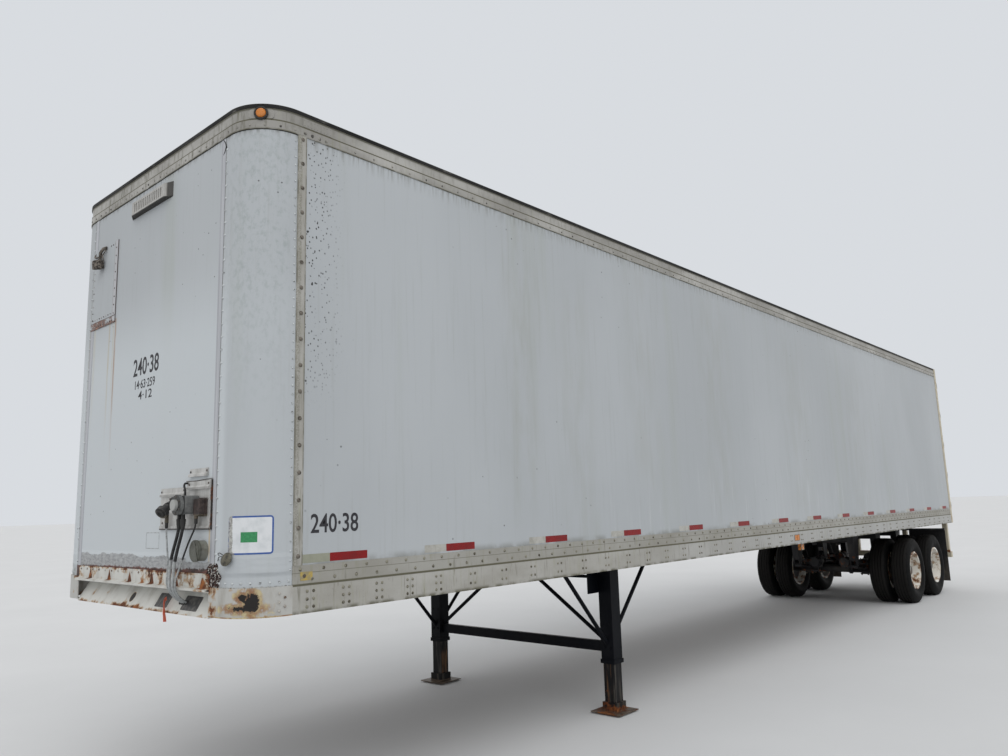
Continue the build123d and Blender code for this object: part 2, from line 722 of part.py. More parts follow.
# Underride guard: four drop posts from the sill and a square bar.
guard_x = FRAME_X + FRAME_DEPTH / 2
GUARD_POSTS = (GUARD_INNER_POST_Y, HALF - GUARD_OUTER_POST_INSET)
with BuildPart() as underride_guard:
    with BuildSketch(Plane.YZ.offset(guard_x - GUARD_BAR / 2)):
        with Locations((0, GUARD_BAR_Z + GUARD_BAR / 2)):
            Rectangle(WIDTH - 2 * GUARD_END_INSET, GUARD_BAR)
    extrude(amount=GUARD_BAR)
    with BuildSketch(Plane.XY.offset(GUARD_BAR_Z + GUARD_BAR)):
        with Locations(*[(guard_x, sign * y) for y in GUARD_POSTS for sign in (1, -1)]):
            Rectangle(GUARD_POST_WIDTH, GUARD_POST_WIDTH)
    extrude(amount=RAIL_BOTTOM - GUARD_BAR_Z - GUARD_BAR)
save(underride_guard, "underride_guard")

# Wheels: dual tyres on back-to-back disc wheels, fused with their hub and brake drum.
outer_centre = TYRE_OUTER_FACE - TYRE_WIDTH / 2
dual_centre = outer_centre - DUAL_SPACING / 2
drum_mouth = dual_centre - DISC_WALL - DRUM_WIDTH
hub_inner_end = drum_mouth + 4 * RUNNING_GAP
hub_end = dual_centre + HUB_LENGTH
spindle_end = hub_end - HUB_CAP_LENGTH
AXLES = (("front", AXLE_X[0]), ("rear", AXLE_X[1]))


def wheel_plane(x, sign):
    """Radial plane of a wheel: local x is the radius, local y runs outboard along the axle."""
    return Plane(origin=(x, 0, TYRE_RADIUS), x_dir=(0, 0, 1), z_dir=(-sign, 0, 0))


def wheel_axis(x):
    """Axle line of one wheel pair."""
    return Axis((x, 0, TYRE_RADIUS), (0, 1, 0))


def tyre_section(centre):
    """Cross-section of one tyre about its own middle plane."""
    bead_half = RIM_WIDTH / 2 - RIM_LIP - SEAT
    bead_top = BEAD_RADIUS + RIM_LIP + SEAT
    shoulder = TYRE_RADIUS - RIM_LIP
    bulge_radius = (bead_top + shoulder) / 2
    with BuildLine() as outline:
        for s in (1, -1):
            Line((BEAD_RADIUS + SEAT, centre), (BEAD_RADIUS + SEAT, centre + s * bead_half))
            Line((BEAD_RADIUS + SEAT, centre + s * bead_half), (bead_top, centre + s * bead_half))
            ThreePointArc(
                (bead_top, centre + s * bead_half),
                (bulge_radius, centre + s * TYRE_WIDTH / 2),
                (shoulder, centre + s * TREAD_WIDTH / 2),
            )
            Line(
                (shoulder, centre + s * TREAD_WIDTH / 2),
                (TYRE_RADIUS, centre + s * (TREAD_WIDTH / 2 - RIM_LIP)),
            )
        Line(
            (TYRE_RADIUS, centre + TREAD_WIDTH / 2 - RIM_LIP),
            (TYRE_RADIUS, centre - TREAD_WIDTH / 2 + RIM_LIP),
        )
    make_face(outline.edges())


def rim_section(centre, facing):
    """Rim barrel with its two lips, and the disc that dishes back to the dual mounting face."""
    barrel_inner = BEAD_RADIUS - RIM_WALL
    disc_back = dual_centre
    with Locations((BEAD_RADIUS - RIM_WALL / 2, centre)):
        Rectangle(RIM_WALL, RIM_WIDTH)
    for s in (1, -1):
        with Locations((BEAD_RADIUS, centre + s * (RIM_WIDTH - RIM_LIP) / 2)):
            Rectangle(2 * RIM_LIP, RIM_LIP)
    with BuildLine() as outline:
        Polyline(
            (DISC_BORE, disc_back),
            (DISC_SEAT_RADIUS, disc_back),
            (barrel_inner + RIM_WALL / 2, disc_back + facing * DISC_REACH),
            (barrel_inner + RIM_WALL / 2, disc_back + facing * (DISC_REACH + 2 * DISC_WALL)),
            (DISC_SEAT_RADIUS, disc_back + facing * DISC_WALL),
            (DISC_BORE, disc_back + facing * DISC_WALL),
            close=True,
        )
    make_face(outline.edges())


def hub_section():
    """Hub barrel with its cap and blind spindle bore, and the brake drum it carries."""
    bore = SPINDLE_RADIUS + HINGE_FIT
    drum_inner = DRUM_RADIUS - DRUM_WALL
    web = dual_centre - DISC_WALL - 2 * DRUM_WALL
    with BuildLine() as outline:
        Polyline(
            (bore, hub_inner_end),
            (HUB_CAP_RADIUS, hub_inner_end),
            (HUB_CAP_RADIUS, web - DRUM_WALL),
            (drum_inner, web - DRUM_WALL),
            (drum_inner, drum_mouth),
            (DRUM_RADIUS, drum_mouth),
            (DRUM_RADIUS, web),
            (DISC_SEAT_RADIUS, dual_centre - DISC_WALL),
            (DISC_SEAT_RADIUS, dual_centre),
            (HUB_RADIUS, dual_centre),
            (HUB_RADIUS, hub_end),
            (HUB_CAP_RADIUS, hub_end),
            (HUB_CAP_RADIUS, hub_end + HUB_CAP_LENGTH),
            (0, hub_end + HUB_CAP_LENGTH),
            (0, spindle_end + RUNNING_GAP),
            (bore, spindle_end + RUNNING_GAP),
            close=True,
        )
    make_face(outline.edges())


for axle_name, axle_x in AXLES:
    for side, sign in SIDES:
        with BuildPart() as tyres:
            with BuildSketch(wheel_plane(axle_x, sign)):
                tyre_section(outer_centre)
                tyre_section(outer_centre - DUAL_SPACING)
            revolve(axis=wheel_axis(axle_x))
        save(tyres, f"tyres_{axle_name}_{side}")

        with BuildPart() as wheels:
            with BuildSketch(wheel_plane(axle_x, sign)):
                rim_section(outer_centre, 1)
                rim_section(outer_centre - DUAL_SPACING, -1)
                hub_section()
            revolve(axis=wheel_axis(axle_x))
            hole_circle = DRUM_RADIUS + HAND_HOLE_GAP + HAND_HOLE_RADIUS
            with BuildSketch(Plane.XZ.offset(-sign * (outer_centre - DUAL_SPACING))):
                with Locations((axle_x, TYRE_RADIUS)):
                    with PolarLocations(hole_circle, HAND_HOLES):
                        Circle(HAND_HOLE_RADIUS)
            extrude(amount=-sign * DUAL_SPACING, mode=Mode.SUBTRACT)
        save(wheels, f"wheels_{axle_name}_{side}")

def strut(start, end, radius, overrun=0):
    """Round bar between two points, run on past both where it is cut to its seats afterwards."""
    a = Vector(start)
    b = Vector(end)
    along = (b - a).normalized()
    with BuildSketch(Plane(origin=a - along * overrun, z_dir=along)) as section:
        Circle(radius)
    extrude(section.sketch, amount=(b - a).length + 2 * overrun)


def torque_ears(x, y, z, towards):
    """Two ears with their pin round a torque arm's eye at (x, y, z), rooted `towards` (dx, dz) from it."""
    for cheek in (1, -1):
        ear_y = y + cheek * (HANGER_WIDTH - HANGER_WALL) / 2
        with BuildSketch(Plane.XZ.offset(-ear_y)) as ear:
            with Locations((x, z)):
                Circle(TORQUE_EYE_RADIUS)
            with Locations((x + towards[0] / 2, z + towards[1] / 2)):
                Rectangle(
                    abs(towards[0]) or 2 * TORQUE_EYE_RADIUS,
                    abs(towards[1]) or 2 * TORQUE_EYE_RADIUS,
                )
        extrude(ear.sketch, amount=HANGER_WALL / 2, both=True)
    pin_half = HANGER_WIDTH / 2 + TORQUE_PIN_RADIUS / 2
    strut((x, y - pin_half, z), (x, y + pin_half, z), TORQUE_PIN_RADIUS)


# Axles: tube with spindles, dust shields, spring seats with their clamp plates and U-bolts, the
# ears of the torque arms, and on each side a chamber bracket, brake camshaft, slack adjuster and
# pushrod.
spring_bottom = TYRE_RADIUS + AXLE_TUBE_RADIUS + SEAT_BLOCK_HEIGHT
spring_top = spring_bottom + SPRING_THICKNESS
tip_top = spring_bottom + SPRING_RISE + SPRING_TIP_THICKNESS
shield_outer = drum_mouth - RUNNING_GAP
bolt_x = AXLE_TUBE_RADIUS + U_BOLT_GAP + U_BOLT_RADIUS
bolt_y = SPRING_WIDTH / 2 + U_BOLT_GAP + U_BOLT_RADIUS
clamp_length = 2 * (bolt_x + U_BOLT_RADIUS + CLAMP_EDGE)
clamp_width = 2 * (bolt_y + U_BOLT_RADIUS + CLAMP_EDGE)
shield_inner = shield_outer - SHIELD_THICKNESS / 2
torque_x = clamp_length / 2 + TORQUE_GAP + TORQUE_EYE_RADIUS
torque_z = TYRE_RADIUS + TORQUE_EYE_RADIUS + TORQUE_GAP
with BuildPart() as axles:
    for x in AXLE_X:
        with BuildSketch(wheel_plane(x, 1)):
            with BuildLine():
                Polyline(
                    (0, -spindle_end),
                    (SPINDLE_RADIUS, -spindle_end),
                    (SPINDLE_RADIUS, RUNNING_GAP - hub_inner_end),
                    (AXLE_TUBE_RADIUS, -hub_inner_end + 2 * RUNNING_GAP),
                    (AXLE_TUBE_RADIUS, -shield_outer),
                    (SHIELD_RADIUS, -shield_outer),
                    (SHIELD_RADIUS, SHIELD_THICKNESS - shield_outer),
                    (AXLE_TUBE_RADIUS, SHIELD_THICKNESS - shield_outer),
                    (AXLE_TUBE_RADIUS, 0),
                    (0, 0),
                    close=True,
                )
            make_face()
            mirror(about=Plane.XZ)
        revolve(axis=wheel_axis(x))
        for s in (1, -1):
            for z, height in (
                (TYRE_RADIUS, spring_bottom - TYRE_RADIUS),
                (spring_top, CLAMP_PLATE),
                (TYRE_RADIUS - AXLE_TUBE_RADIUS - CLAMP_PLATE, CLAMP_PLATE),
            ):
                with BuildSketch(Plane.XY.offset(z)):
                    with Locations((x, s * SPRING_Y)):
                        Rectangle(clamp_length, clamp_width)
                extrude(amount=height)
            bolt_bottom = TYRE_RADIUS - AXLE_TUBE_RADIUS - 2 * CLAMP_PLATE
            with BuildSketch(Plane.XY.offset(bolt_bottom)):
                with Locations((x, s * SPRING_Y)):
                    with GridLocations(2 * bolt_x, 2 * bolt_y, 2, 2):
                        Circle(U_BOLT_RADIUS)
            extrude(amount=spring_top + 2 * CLAMP_PLATE - bolt_bottom)
            torque_ears(x + torque_x, s * SPRING_Y, torque_z, (-torque_x, 0))
            cam = (x + CAM_AHEAD, TYRE_RADIUS - CAM_DROP)
            face_x = x + CHAMBER_OFFSET - BRACKET_PLATE
            clevis = (face_x - PUSHROD_LENGTH, CHAMBER_Z)
            bracket_top = CHAMBER_Z + CHAMBER_RADIUS / 2
            with BuildSketch(Plane.XZ.offset(-s * (CHAMBER_Y + CHAMBER_RADIUS / 2))):
                with BuildLine():
                    Polyline(
                        (x, TYRE_RADIUS - AXLE_TUBE_RADIUS / 2),
                        (x + CHAMBER_OFFSET, cam[1] - 2 * CAM_RADIUS),
                        (x + CHAMBER_OFFSET, bracket_top),
                        (face_x, bracket_top),
                        (x, TYRE_RADIUS + AXLE_TUBE_RADIUS),
                        close=True,
                    )
                make_face()
            extrude(amount=s * BRACKET_PLATE)
            with BuildSketch(Plane.YZ.offset(face_x)):
                bracket_bottom = cam[1] + 2 * CAM_RADIUS + ADJUSTER_EYE
                with Locations((s * CHAMBER_Y, (bracket_bottom + bracket_top) / 2)):
                    Rectangle(CHAMBER_RADIUS, bracket_top - bracket_bottom)
            extrude(amount=BRACKET_PLATE)
            with BuildSketch(Plane.XZ.offset(-s * CHAMBER_Y)):
                with Locations(cam):
                    Circle(2 * CAM_RADIUS)
                with Locations(clevis):
                    Circle(ADJUSTER_EYE)
                make_hull()
            extrude(amount=ADJUSTER_THICKNESS / 2, both=True)
            cam_inner = s * (CHAMBER_Y - ADJUSTER_THICKNESS)
            strut((cam[0], cam_inner, cam[1]), (cam[0], s * shield_inner, cam[1]), CAM_RADIUS)
            strut((face_x, s * CHAMBER_Y, CHAMBER_Z), (clevis[0], s * CHAMBER_Y, CHAMBER_Z), PUSHROD_RADIUS)
save(axles, "axles")

with BuildPart() as brake_chambers:
    for x in AXLE_X:
        with BuildSketch(Plane.YZ.offset(x + CHAMBER_OFFSET)):
            with Locations((CHAMBER_Y, CHAMBER_Z), (-CHAMBER_Y, CHAMBER_Z)):
                Circle(CHAMBER_RADIUS)
        extrude(amount=CHAMBER_LENGTH)
        with BuildSketch(Plane.YZ.offset(x + CHAMBER_OFFSET + CHAMBER_LENGTH / 2)):
            with Locations((CHAMBER_Y, CHAMBER_Z), (-CHAMBER_Y, CHAMBER_Z)):
                Circle(CHAMBER_RADIUS + CHAMBER_BAND / 2)
        extrude(amount=CHAMBER_BAND / 2, both=True)
save(brake_chambers, "brake_chambers")

# Leaf springs: one pack over each axle end, thick at the clamp and thin at the slipper tips.
with BuildPart() as leaf_springs:
    for x in AXLE_X:
        for y in (SPRING_Y, -SPRING_Y):
            with BuildSketch(Plane.XZ.offset(-(y - SPRING_WIDTH / 2))):
                with BuildLine():
                    for s in (1, -1):
                        flat_end = (x + s * clamp_length / 2, spring_bottom)
                        tip_bottom = tip_top - SPRING_TIP_THICKNESS
                        tip_start = (x + s * (SPRING_HALF_SPAN - SPRING_TIP_FLAT), tip_bottom)
                        tip_end = (x + s * (SPRING_HALF_SPAN + SPRING_TIP_FLAT), tip_bottom)
                        Line((x, spring_bottom), flat_end)
                        TangentArc(flat_end, tip_start, tangent=(s, 0))
                        Line(tip_start, tip_end)
                        Line(tip_end, (tip_end[0], tip_top))
                        Line((tip_end[0], tip_top), (tip_start[0], tip_top))
                        top_flat_end = (flat_end[0], spring_top)
                        TangentArc(top_flat_end, (tip_start[0], tip_top), tangent=(s, 0))
                        Line(top_flat_end, (x, spring_top))
                make_face()
            extrude(amount=-SPRING_WIDTH)
save(leaf_springs, "leaf_springs")

# Body rails: downward channels welded under the floor beams, with a row of lock holes.
lock_first = AXLE_X[0] + SPRING_HALF_SPAN
with BuildPart() as slider_rails:
    for s in (1, -1):
        with BuildSketch(Plane.YZ.offset(BODY_BACK)):
            with Locations((s * SPRING_Y, BEAM_BOTTOM - BODY_RAIL_HEIGHT / 2)):
                Rectangle(BODY_RAIL_WIDTH, BODY_RAIL_HEIGHT)
            with Locations((s * SPRING_Y, BEAM_BOTTOM - (BODY_RAIL_HEIGHT + BODY_RAIL_WALL) / 2)):
                Rectangle(
                    BODY_RAIL_WIDTH - 2 * BODY_RAIL_WALL,
                    BODY_RAIL_HEIGHT - BODY_RAIL_WALL,
                    mode=Mode.SUBTRACT,
                )
        extrude(amount=BODY_RAIL_LENGTH)
        with BuildSketch(Plane.XZ.offset(-s * SPRING_Y)):
            with Locations(
                *[
                    (lock_first - i * LOCK_HOLE_PITCH, BEAM_BOTTOM - BODY_RAIL_HEIGHT / 2)
                    for i in range(-LOCK_HOLES // 2, LOCK_HOLES // 2)
                ]
            ):
                Circle(LOCK_HOLE_RADIUS)
        extrude(amount=-s * BODY_RAIL_WIDTH, mode=Mode.SUBTRACT)
save(slider_rails, "slider_rails")

# Sliding bogie: box rails inside the body rails, cross tubes, spring hangers, equalisers,
# lock pins and the mud flap arms.
box_top = BEAM_BOTTOM - BODY_RAIL_WALL
box_bottom = box_top - BOX_RAIL_HEIGHT
box_width = BODY_RAIL_WIDTH - 2 * BODY_RAIL_WALL - 2 * BOX_RAIL_PLAY
box_middle = (box_top + box_bottom) / 2
front_hanger = AXLE_X[0] + SPRING_HALF_SPAN
rear_hanger = AXLE_X[1] - SPRING_HALF_SPAN
middle_hanger = (AXLE_X[0] + AXLE_X[1]) / 2
box_front = front_hanger + BOX_RAIL_OVERHANG
box_back = rear_hanger - BOX_RAIL_OVERHANG
hanger_bottom = tip_top - EQUALISER_HEIGHT
torque_hanger_z = hanger_bottom - TORQUE_DROP
with BuildPart() as bogie_frame:
    with BuildSketch(Plane.YZ.offset(box_back)):
        with Locations((SPRING_Y, box_middle), (-SPRING_Y, box_middle)):
            Rectangle(box_width, BOX_RAIL_HEIGHT)
    extrude(amount=box_front - box_back)
    tube_z = box_bottom + CROSS_TUBE_SEAT - CROSS_TUBE_RADIUS
    with BuildSketch(Plane.XZ.offset(-SPRING_Y)):
        with Locations((front_hanger, tube_z), (middle_hanger, tube_z), (rear_hanger, tube_z)):
            Circle(CROSS_TUBE_RADIUS)
    extrude(amount=2 * SPRING_Y)
    for x in (front_hanger, middle_hanger, rear_hanger):
        pocket_top = tip_top
        if x == middle_hanger:
            pocket_top = tip_top + 2 * EQUALISER_HEIGHT
        for s in (1, -1):
            with BuildSketch(Plane.XZ.offset(-s * SPRING_Y)):
                with BuildLine():
                    Polyline(
                        (x - HANGER_TOP_LENGTH / 2, box_bottom),
                        (x + HANGER_TOP_LENGTH / 2, box_bottom),
                        (x + HANGER_FOOT_LENGTH / 2, hanger_bottom),
                        (x - HANGER_FOOT_LENGTH / 2, hanger_bottom),
                        close=True,
                    )
                make_face()
            extrude(amount=HANGER_WIDTH / 2, both=True)
            with BuildSketch(Plane.YZ.offset(x - HANGER_TOP_LENGTH)):
                with Locations((s * SPRING_Y, (hanger_bottom + pocket_top) / 2)):
                    Rectangle(HANGER_WIDTH - 2 * HANGER_WALL, pocket_top - hanger_bottom)
            extrude(amount=2 * HANGER_TOP_LENGTH, mode=Mode.SUBTRACT)
    for x in (front_hanger, middle_hanger):
        for s in (1, -1):
            torque_ears(x, s * SPRING_Y, torque_hanger_z, (0, TORQUE_DROP + HANGER_WALL))
    for s in (1, -1):
        pin_z = tip_top + EQUALISER_HEIGHT / 2
        with BuildSketch(Plane.XZ.offset(-s * SPRING_Y)):
            with Locations((middle_hanger, pin_z)):
                Circle(EQUALISER_PIN_RADIUS)
        extrude(amount=HANGER_WIDTH / 2, both=True)
        with BuildSketch(Plane.XZ.offset(-s * SPRING_Y)):
            with Locations((front_hanger, BEAM_BOTTOM - BODY_RAIL_HEIGHT / 2)):
                Circle(LOCK_HOLE_RADIUS - SEAT)
            with Locations((front_hanger - LOCK_HOLE_PITCH, BEAM_BOTTOM - BODY_RAIL_HEIGHT / 2)):
                Circle(LOCK_HOLE_RADIUS - SEAT)
        extrude(amount=-s * (BODY_RAIL_WIDTH / 2 + HANGER_WALL))
        arm_top = BEAM_BOTTOM - BODY_RAIL_HEIGHT - BOX_RAIL_PLAY
        with BuildSketch(Plane.XZ.offset(-s * SPRING_Y)):
            with Locations((FLAP_X + FLAP_ARM / 2, (box_bottom + arm_top) / 2)):
                Rectangle(FLAP_ARM, arm_top - box_bottom)
        extrude(amount=-s * (TYRE_OUTER_FACE - SPRING_Y))
save(bogie_frame, "bogie_frame")

with BuildPart() as equalisers:
    for s in (1, -1):
        with BuildSketch(Plane.XZ.offset(-s * SPRING_Y)):
            with BuildLine():
                Polyline(
                    (middle_hanger - HANGER_TOP_LENGTH / 2, tip_top),
                    (middle_hanger + HANGER_TOP_LENGTH / 2, tip_top),
                    (middle_hanger + HANGER_TOP_LENGTH / 2, tip_top + 2 * EQUALISER_PIN_RADIUS),
                    (middle_hanger, tip_top + EQUALISER_HEIGHT),
                    (middle_hanger - HANGER_TOP_LENGTH / 2, tip_top + 2 * EQUALISER_PIN_RADIUS),
                    close=True,
                )
            make_face()
            with Locations((middle_hanger, tip_top + EQUALISER_HEIGHT / 2)):
                Circle(EQUALISER_PIN_RADIUS + HINGE_FIT, mode=Mode.SUBTRACT)
        extrude(amount=SPRING_WIDTH / 2, both=True)
save(equalisers, "equalisers")

# Torque arms: a bar with an eye at each end, from the hangers back to the axle seats.
with BuildPart() as torque_arms:
    for hanger_x, axle_x in ((front_hanger, AXLE_X[0]), (middle_hanger, AXLE_X[1])):
        for s in (1, -1):
            eyes = (
                (hanger_x, s * SPRING_Y, torque_hanger_z),
                (axle_x + torque_x, s * SPRING_Y, torque_z),
            )
            eye_half = HANGER_WIDTH / 2 - HANGER_WALL
            strut(*eyes, TORQUE_BAR_RADIUS)
            for x, y, z in eyes:
                strut((x, y - eye_half, z), (x, y + eye_half, z), TORQUE_EYE_RADIUS)
            with BuildSketch(Plane.XZ.offset(-s * SPRING_Y)):
                with Locations(*[(x, z) for x, y, z in eyes]):
                    Circle(TORQUE_PIN_RADIUS + HINGE_FIT)
            extrude(amount=eye_half, both=True, mode=Mode.SUBTRACT)
save(torque_arms, "torque_arms")

# Air tank: a drum across the bogie, welded on two saddles that bear on the front cross tube.
with BuildPart() as air_tank:
    tank_x = front_hanger - CROSS_TUBE_RADIUS - TANK_GAP - TANK_RADIUS
    with BuildSketch(Plane.XZ.offset(-TANK_LENGTH / 2)):
        with Locations((tank_x, TANK_Z)):
            Circle(TANK_RADIUS)
    extrude(amount=TANK_LENGTH)
    fillet(edges().filter_by(GeomType.CIRCLE), TANK_GAP)
    for s in (1, -1):
        with BuildSketch(Plane.XZ.offset(-s * TANK_SADDLE_Y)):
            saddle_bottom = TANK_Z - TANK_RADIUS - TANK_SADDLE
            with Locations(((tank_x + front_hanger) / 2, (saddle_bottom + tube_z) / 2)):
                Rectangle(front_hanger - tank_x, tube_z - saddle_bottom)
            with Locations((front_hanger, tube_z)):
                Circle(CROSS_TUBE_RADIUS + SEAT, mode=Mode.SUBTRACT)
        extrude(amount=HANGER_WALL / 2, both=True)
save(air_tank, "air_tank")

with BuildPart() as mud_flaps:
    flap_y = TYRE_OUTER_FACE - FLAP_WIDTH / 2
    with BuildSketch(Plane.YZ.offset(FLAP_X - FLAP_THICKNESS)):
        flap_top = BEAM_BOTTOM - BODY_RAIL_HEIGHT - BOX_RAIL_PLAY
        with Locations((flap_y, (FLAP_BOTTOM + flap_top) / 2), (-flap_y, (FLAP_BOTTOM + flap_top) / 2)):
            Rectangle(FLAP_WIDTH, flap_top - FLAP_BOTTOM)
    extrude(amount=FLAP_THICKNESS)
save(mud_flaps, "mud_flaps")

# Landing gear: square outer legs, inner tubes with dished pads, braces, gearbox and shafts.
foot_top = FOOT_DISH + FOOT_THICKNESS / 2
inner_tube = LEG_OUTER - 2 * LEG_WALL - 2 * SEAT
with BuildPart() as landing_legs:
    with BuildSketch(Plane.XY.offset(LEG_BOTTOM)):
        with Locations((LEG_X, LEG_Y), (LEG_X, -LEG_Y)):
            Rectangle(LEG_OUTER, LEG_OUTER)
            Rectangle(LEG_OUTER - 2 * LEG_WALL, LEG_OUTER - 2 * LEG_WALL, mode=Mode.SUBTRACT)
    extrude(amount=BEAM_BOTTOM - LEG_BOTTOM)
    with BuildSketch(Plane.XY.offset(LEG_BOTTOM)):
        with Locations((LEG_X, LEG_Y), (LEG_X, -LEG_Y)):
            Rectangle(LEG_OUTER + LEG_COLLAR, LEG_OUTER + LEG_COLLAR)
            Rectangle(LEG_OUTER - 2 * LEG_WALL, LEG_OUTER - 2 * LEG_WALL, mode=Mode.SUBTRACT)
    extrude(amount=LEG_COLLAR_HEIGHT)
save(landing_legs, "landing_legs")

with BuildPart() as landing_feet:
    for y in (LEG_Y, -LEG_Y):
        with BuildSketch(Plane.XY):
            with Locations((LEG_X, y)):
                Rectangle(FOOT_FLAT, FOOT_FLAT)
        with BuildSketch(Plane.XY.offset(FOOT_DISH)):
            with Locations((LEG_X, y)):
                Rectangle(FOOT_SIZE, FOOT_SIZE)
        loft()
        with BuildSketch(Plane.XY.offset(FOOT_DISH)):
            with Locations((LEG_X, y)):
                Rectangle(FOOT_SIZE, FOOT_SIZE)
        extrude(amount=foot_top - FOOT_DISH)
        with BuildSketch(Plane.XY.offset(foot_top)):
            with Locations((LEG_X, y)):
                Rectangle(LEG_OUTER + LEG_COLLAR, LEG_OUTER + LEG_COLLAR)
        extrude(amount=FOOT_SOCKET_HEIGHT)
        with BuildSketch(Plane.XY.offset(foot_top)):
            with Locations((LEG_X, y)):
                Rectangle(inner_tube, inner_tube)
        extrude(amount=LEG_BOTTOM + FOOT_STROKE - foot_top)
save(landing_feet, "landing_feet")

LEG_SIDE_Y = LEG_Y - LEG_OUTER / 2


def nearest_beam(x):
    """Floor beam nearest to x."""
    return min(BEAMS_X, key=lambda beam: abs(beam - x))


BRACES = (
    # foot: x from the leg, distance inward, rise over the crossbar; head: x from the leg, y
    (0, LEG_OUTER / 2, 50, 0, 90),
    (LEG_OUTER / 2, 0, 40, 655, LEG_Y),
    (-LEG_OUTER / 2, 0, 110, -560, LEG_Y),
)
with BuildPart() as landing_braces:
    with BuildSketch(Plane.XZ.offset(-LEG_Y)):
        with Locations((LEG_X, CROSSBAR_Z)):
            Rectangle(CROSSBAR_HEIGHT / 2, CROSSBAR_HEIGHT)
    extrude(amount=2 * LEG_Y)
    for sign in (1, -1):
        for foot_dx, foot_in, foot_rise, head_dx, head_y in BRACES:
            foot = (LEG_X + foot_dx, sign * (LEG_Y - foot_in), CROSSBAR_Z + foot_rise)
            head = (nearest_beam(LEG_X + head_dx), sign * head_y, BEAM_BOTTOM)
            strut(foot, head, BRACE_RADIUS, overrun=2 * BRACE_RADIUS)
        with BuildSketch(Plane.XZ.offset(-sign * (LEG_SIDE_Y - MOUNT_PLATE))):
            with Locations((LEG_X, BEAM_BOTTOM - MOUNT_DROP / 2)):
                Rectangle(MOUNT_LENGTH, MOUNT_DROP)
        extrude(amount=-sign * MOUNT_PLATE)
    split(bisect_by=Plane.XY.offset(BEAM_BOTTOM), keep=Keep.BOTTOM)
    with BuildSketch(Plane.XY):
        with Locations((LEG_X, LEG_Y), (LEG_X, -LEG_Y)):
            Rectangle(LEG_OUTER, LEG_OUTER)
    extrude(amount=HEIGHT, mode=Mode.SUBTRACT)
save(landing_braces, "landing_braces")

gearbox_y = LEG_SIDE_Y - MOUNT_PLATE
shaft_x = LEG_X - SHAFT_SETBACK
crank_y = LEG_Y + LEG_OUTER / 2 + CRANK_STANDOFF
with BuildPart() as landing_gearbox:
    with BuildSketch(Plane.XZ.offset(gearbox_y)):
        with Locations((shaft_x, GEARBOX_Z)):
            Rectangle(GEARBOX_SIZE, GEARBOX_SIZE)
    extrude(amount=-GEARBOX_DEPTH)
    strut((shaft_x, GEARBOX_DEPTH - gearbox_y, GEARBOX_Z), (shaft_x, gearbox_y, GEARBOX_Z), SHAFT_RADIUS)
    with BuildLine() as crank:
        FilletPolyline(
            (LEG_X, -LEG_Y - LEG_OUTER / 2, GEARBOX_Z),
            (LEG_X, -crank_y, GEARBOX_Z),
            (LEG_X - CRANK_REACH, -crank_y, GEARBOX_Z),
            (LEG_X - CRANK_REACH, -LEG_Y, GEARBOX_Z),
            radius=2 * CRANK_RADIUS,
        )
    with BuildSketch(Plane(origin=(LEG_X, -LEG_Y - LEG_OUTER / 2, GEARBOX_Z), z_dir=(0, -1, 0))):
        Circle(CRANK_RADIUS)
    sweep(path=crank.wires()[0])
save(landing_gearbox, "landing_gearbox")

# Lamps and reflectors: round ones on the header's nose corners, at the rear and on the sill,
# square ones half way along each side.
CORNER_LAMP_RADIUS = 29
LAMP_DEPTH = 14
CORNER_LAMP_Z = (WALL_TOP + 2 * RAIL_WALL + RAIL_TOP - DRIP_HEIGHT) / 2
corner_lamp_reach = (CORNER_RADIUS - SKIN_INSET) * math.sqrt(0.5)
SIDE_REFLECTOR_X = 90
SIDE_REFLECTOR = 62
SIDE_LAMP_X = -37
SIDE_LAMP = (84, 38, 74)
TAIL_LAMP_RADIUS = 52
TAIL_LAMPS_Y = (HALF - 415.5, HALF - 265.5)
TOP_LAMPS_Y = (0, 150, HALF - 115.5)
TOP_LAMP = (100, 26)
with BuildPart() as marker_lamps:
    for sign in (1, -1):
        lamp_centre = (
            CORNER_BACK + corner_lamp_reach,
            sign * (HALF - CORNER_RADIUS + corner_lamp_reach),
            CORNER_LAMP_Z,
        )
        with BuildSketch(Plane(origin=lamp_centre, z_dir=(1, sign, 0))):
            Circle(CORNER_LAMP_RADIUS)
        extrude(amount=LAMP_DEPTH, both=True)
        with BuildSketch(Plane.XY.offset(CORNER_LAMP_Z - 2 * CORNER_LAMP_RADIUS)):
            with Locations((CORNER_BACK, sign * (HALF - CORNER_RADIUS))):
                Circle(CORNER_RADIUS - SKIN_INSET)
        extrude(amount=4 * CORNER_LAMP_RADIUS, mode=Mode.SUBTRACT)
        with BuildSketch(Plane.XZ.offset(-sign * HALF)):
            with Locations((SIDE_REFLECTOR_X, (RAIL_BOTTOM + DECK_TOP) / 2)):
                Rectangle(SIDE_REFLECTOR, SIDE_REFLECTOR)
        extrude(amount=-sign * LAMP_DEPTH / 2)
        with BuildSketch(Plane.XY.offset(RAIL_BOTTOM)):
            with Locations((SIDE_LAMP_X, sign * (HALF - SIDE_LAMP[1] / 2 - RAIL_WALL))):
                Rectangle(SIDE_LAMP[0], SIDE_LAMP[1])
        extrude(amount=-SIDE_LAMP[2])
        with BuildSketch(Plane.YZ.offset(FRAME_X)):
            with Locations(*[(sign * y, (RAIL_BOTTOM + DECK_TOP) / 2) for y in TAIL_LAMPS_Y]):
                Circle(TAIL_LAMP_RADIUS)
        extrude(amount=-LAMP_DEPTH)
        with BuildSketch(Plane.YZ.offset(FRAME_X)):
            with Locations(*[(sign * y, (opening_top + HEIGHT) / 2 + TOP_LAMP[1]) for y in TOP_LAMPS_Y]):
                Rectangle(TOP_LAMP[0], TOP_LAMP[1])
        extrude(amount=-LAMP_DEPTH / 2)
save(marker_lamps, "marker_lamps")

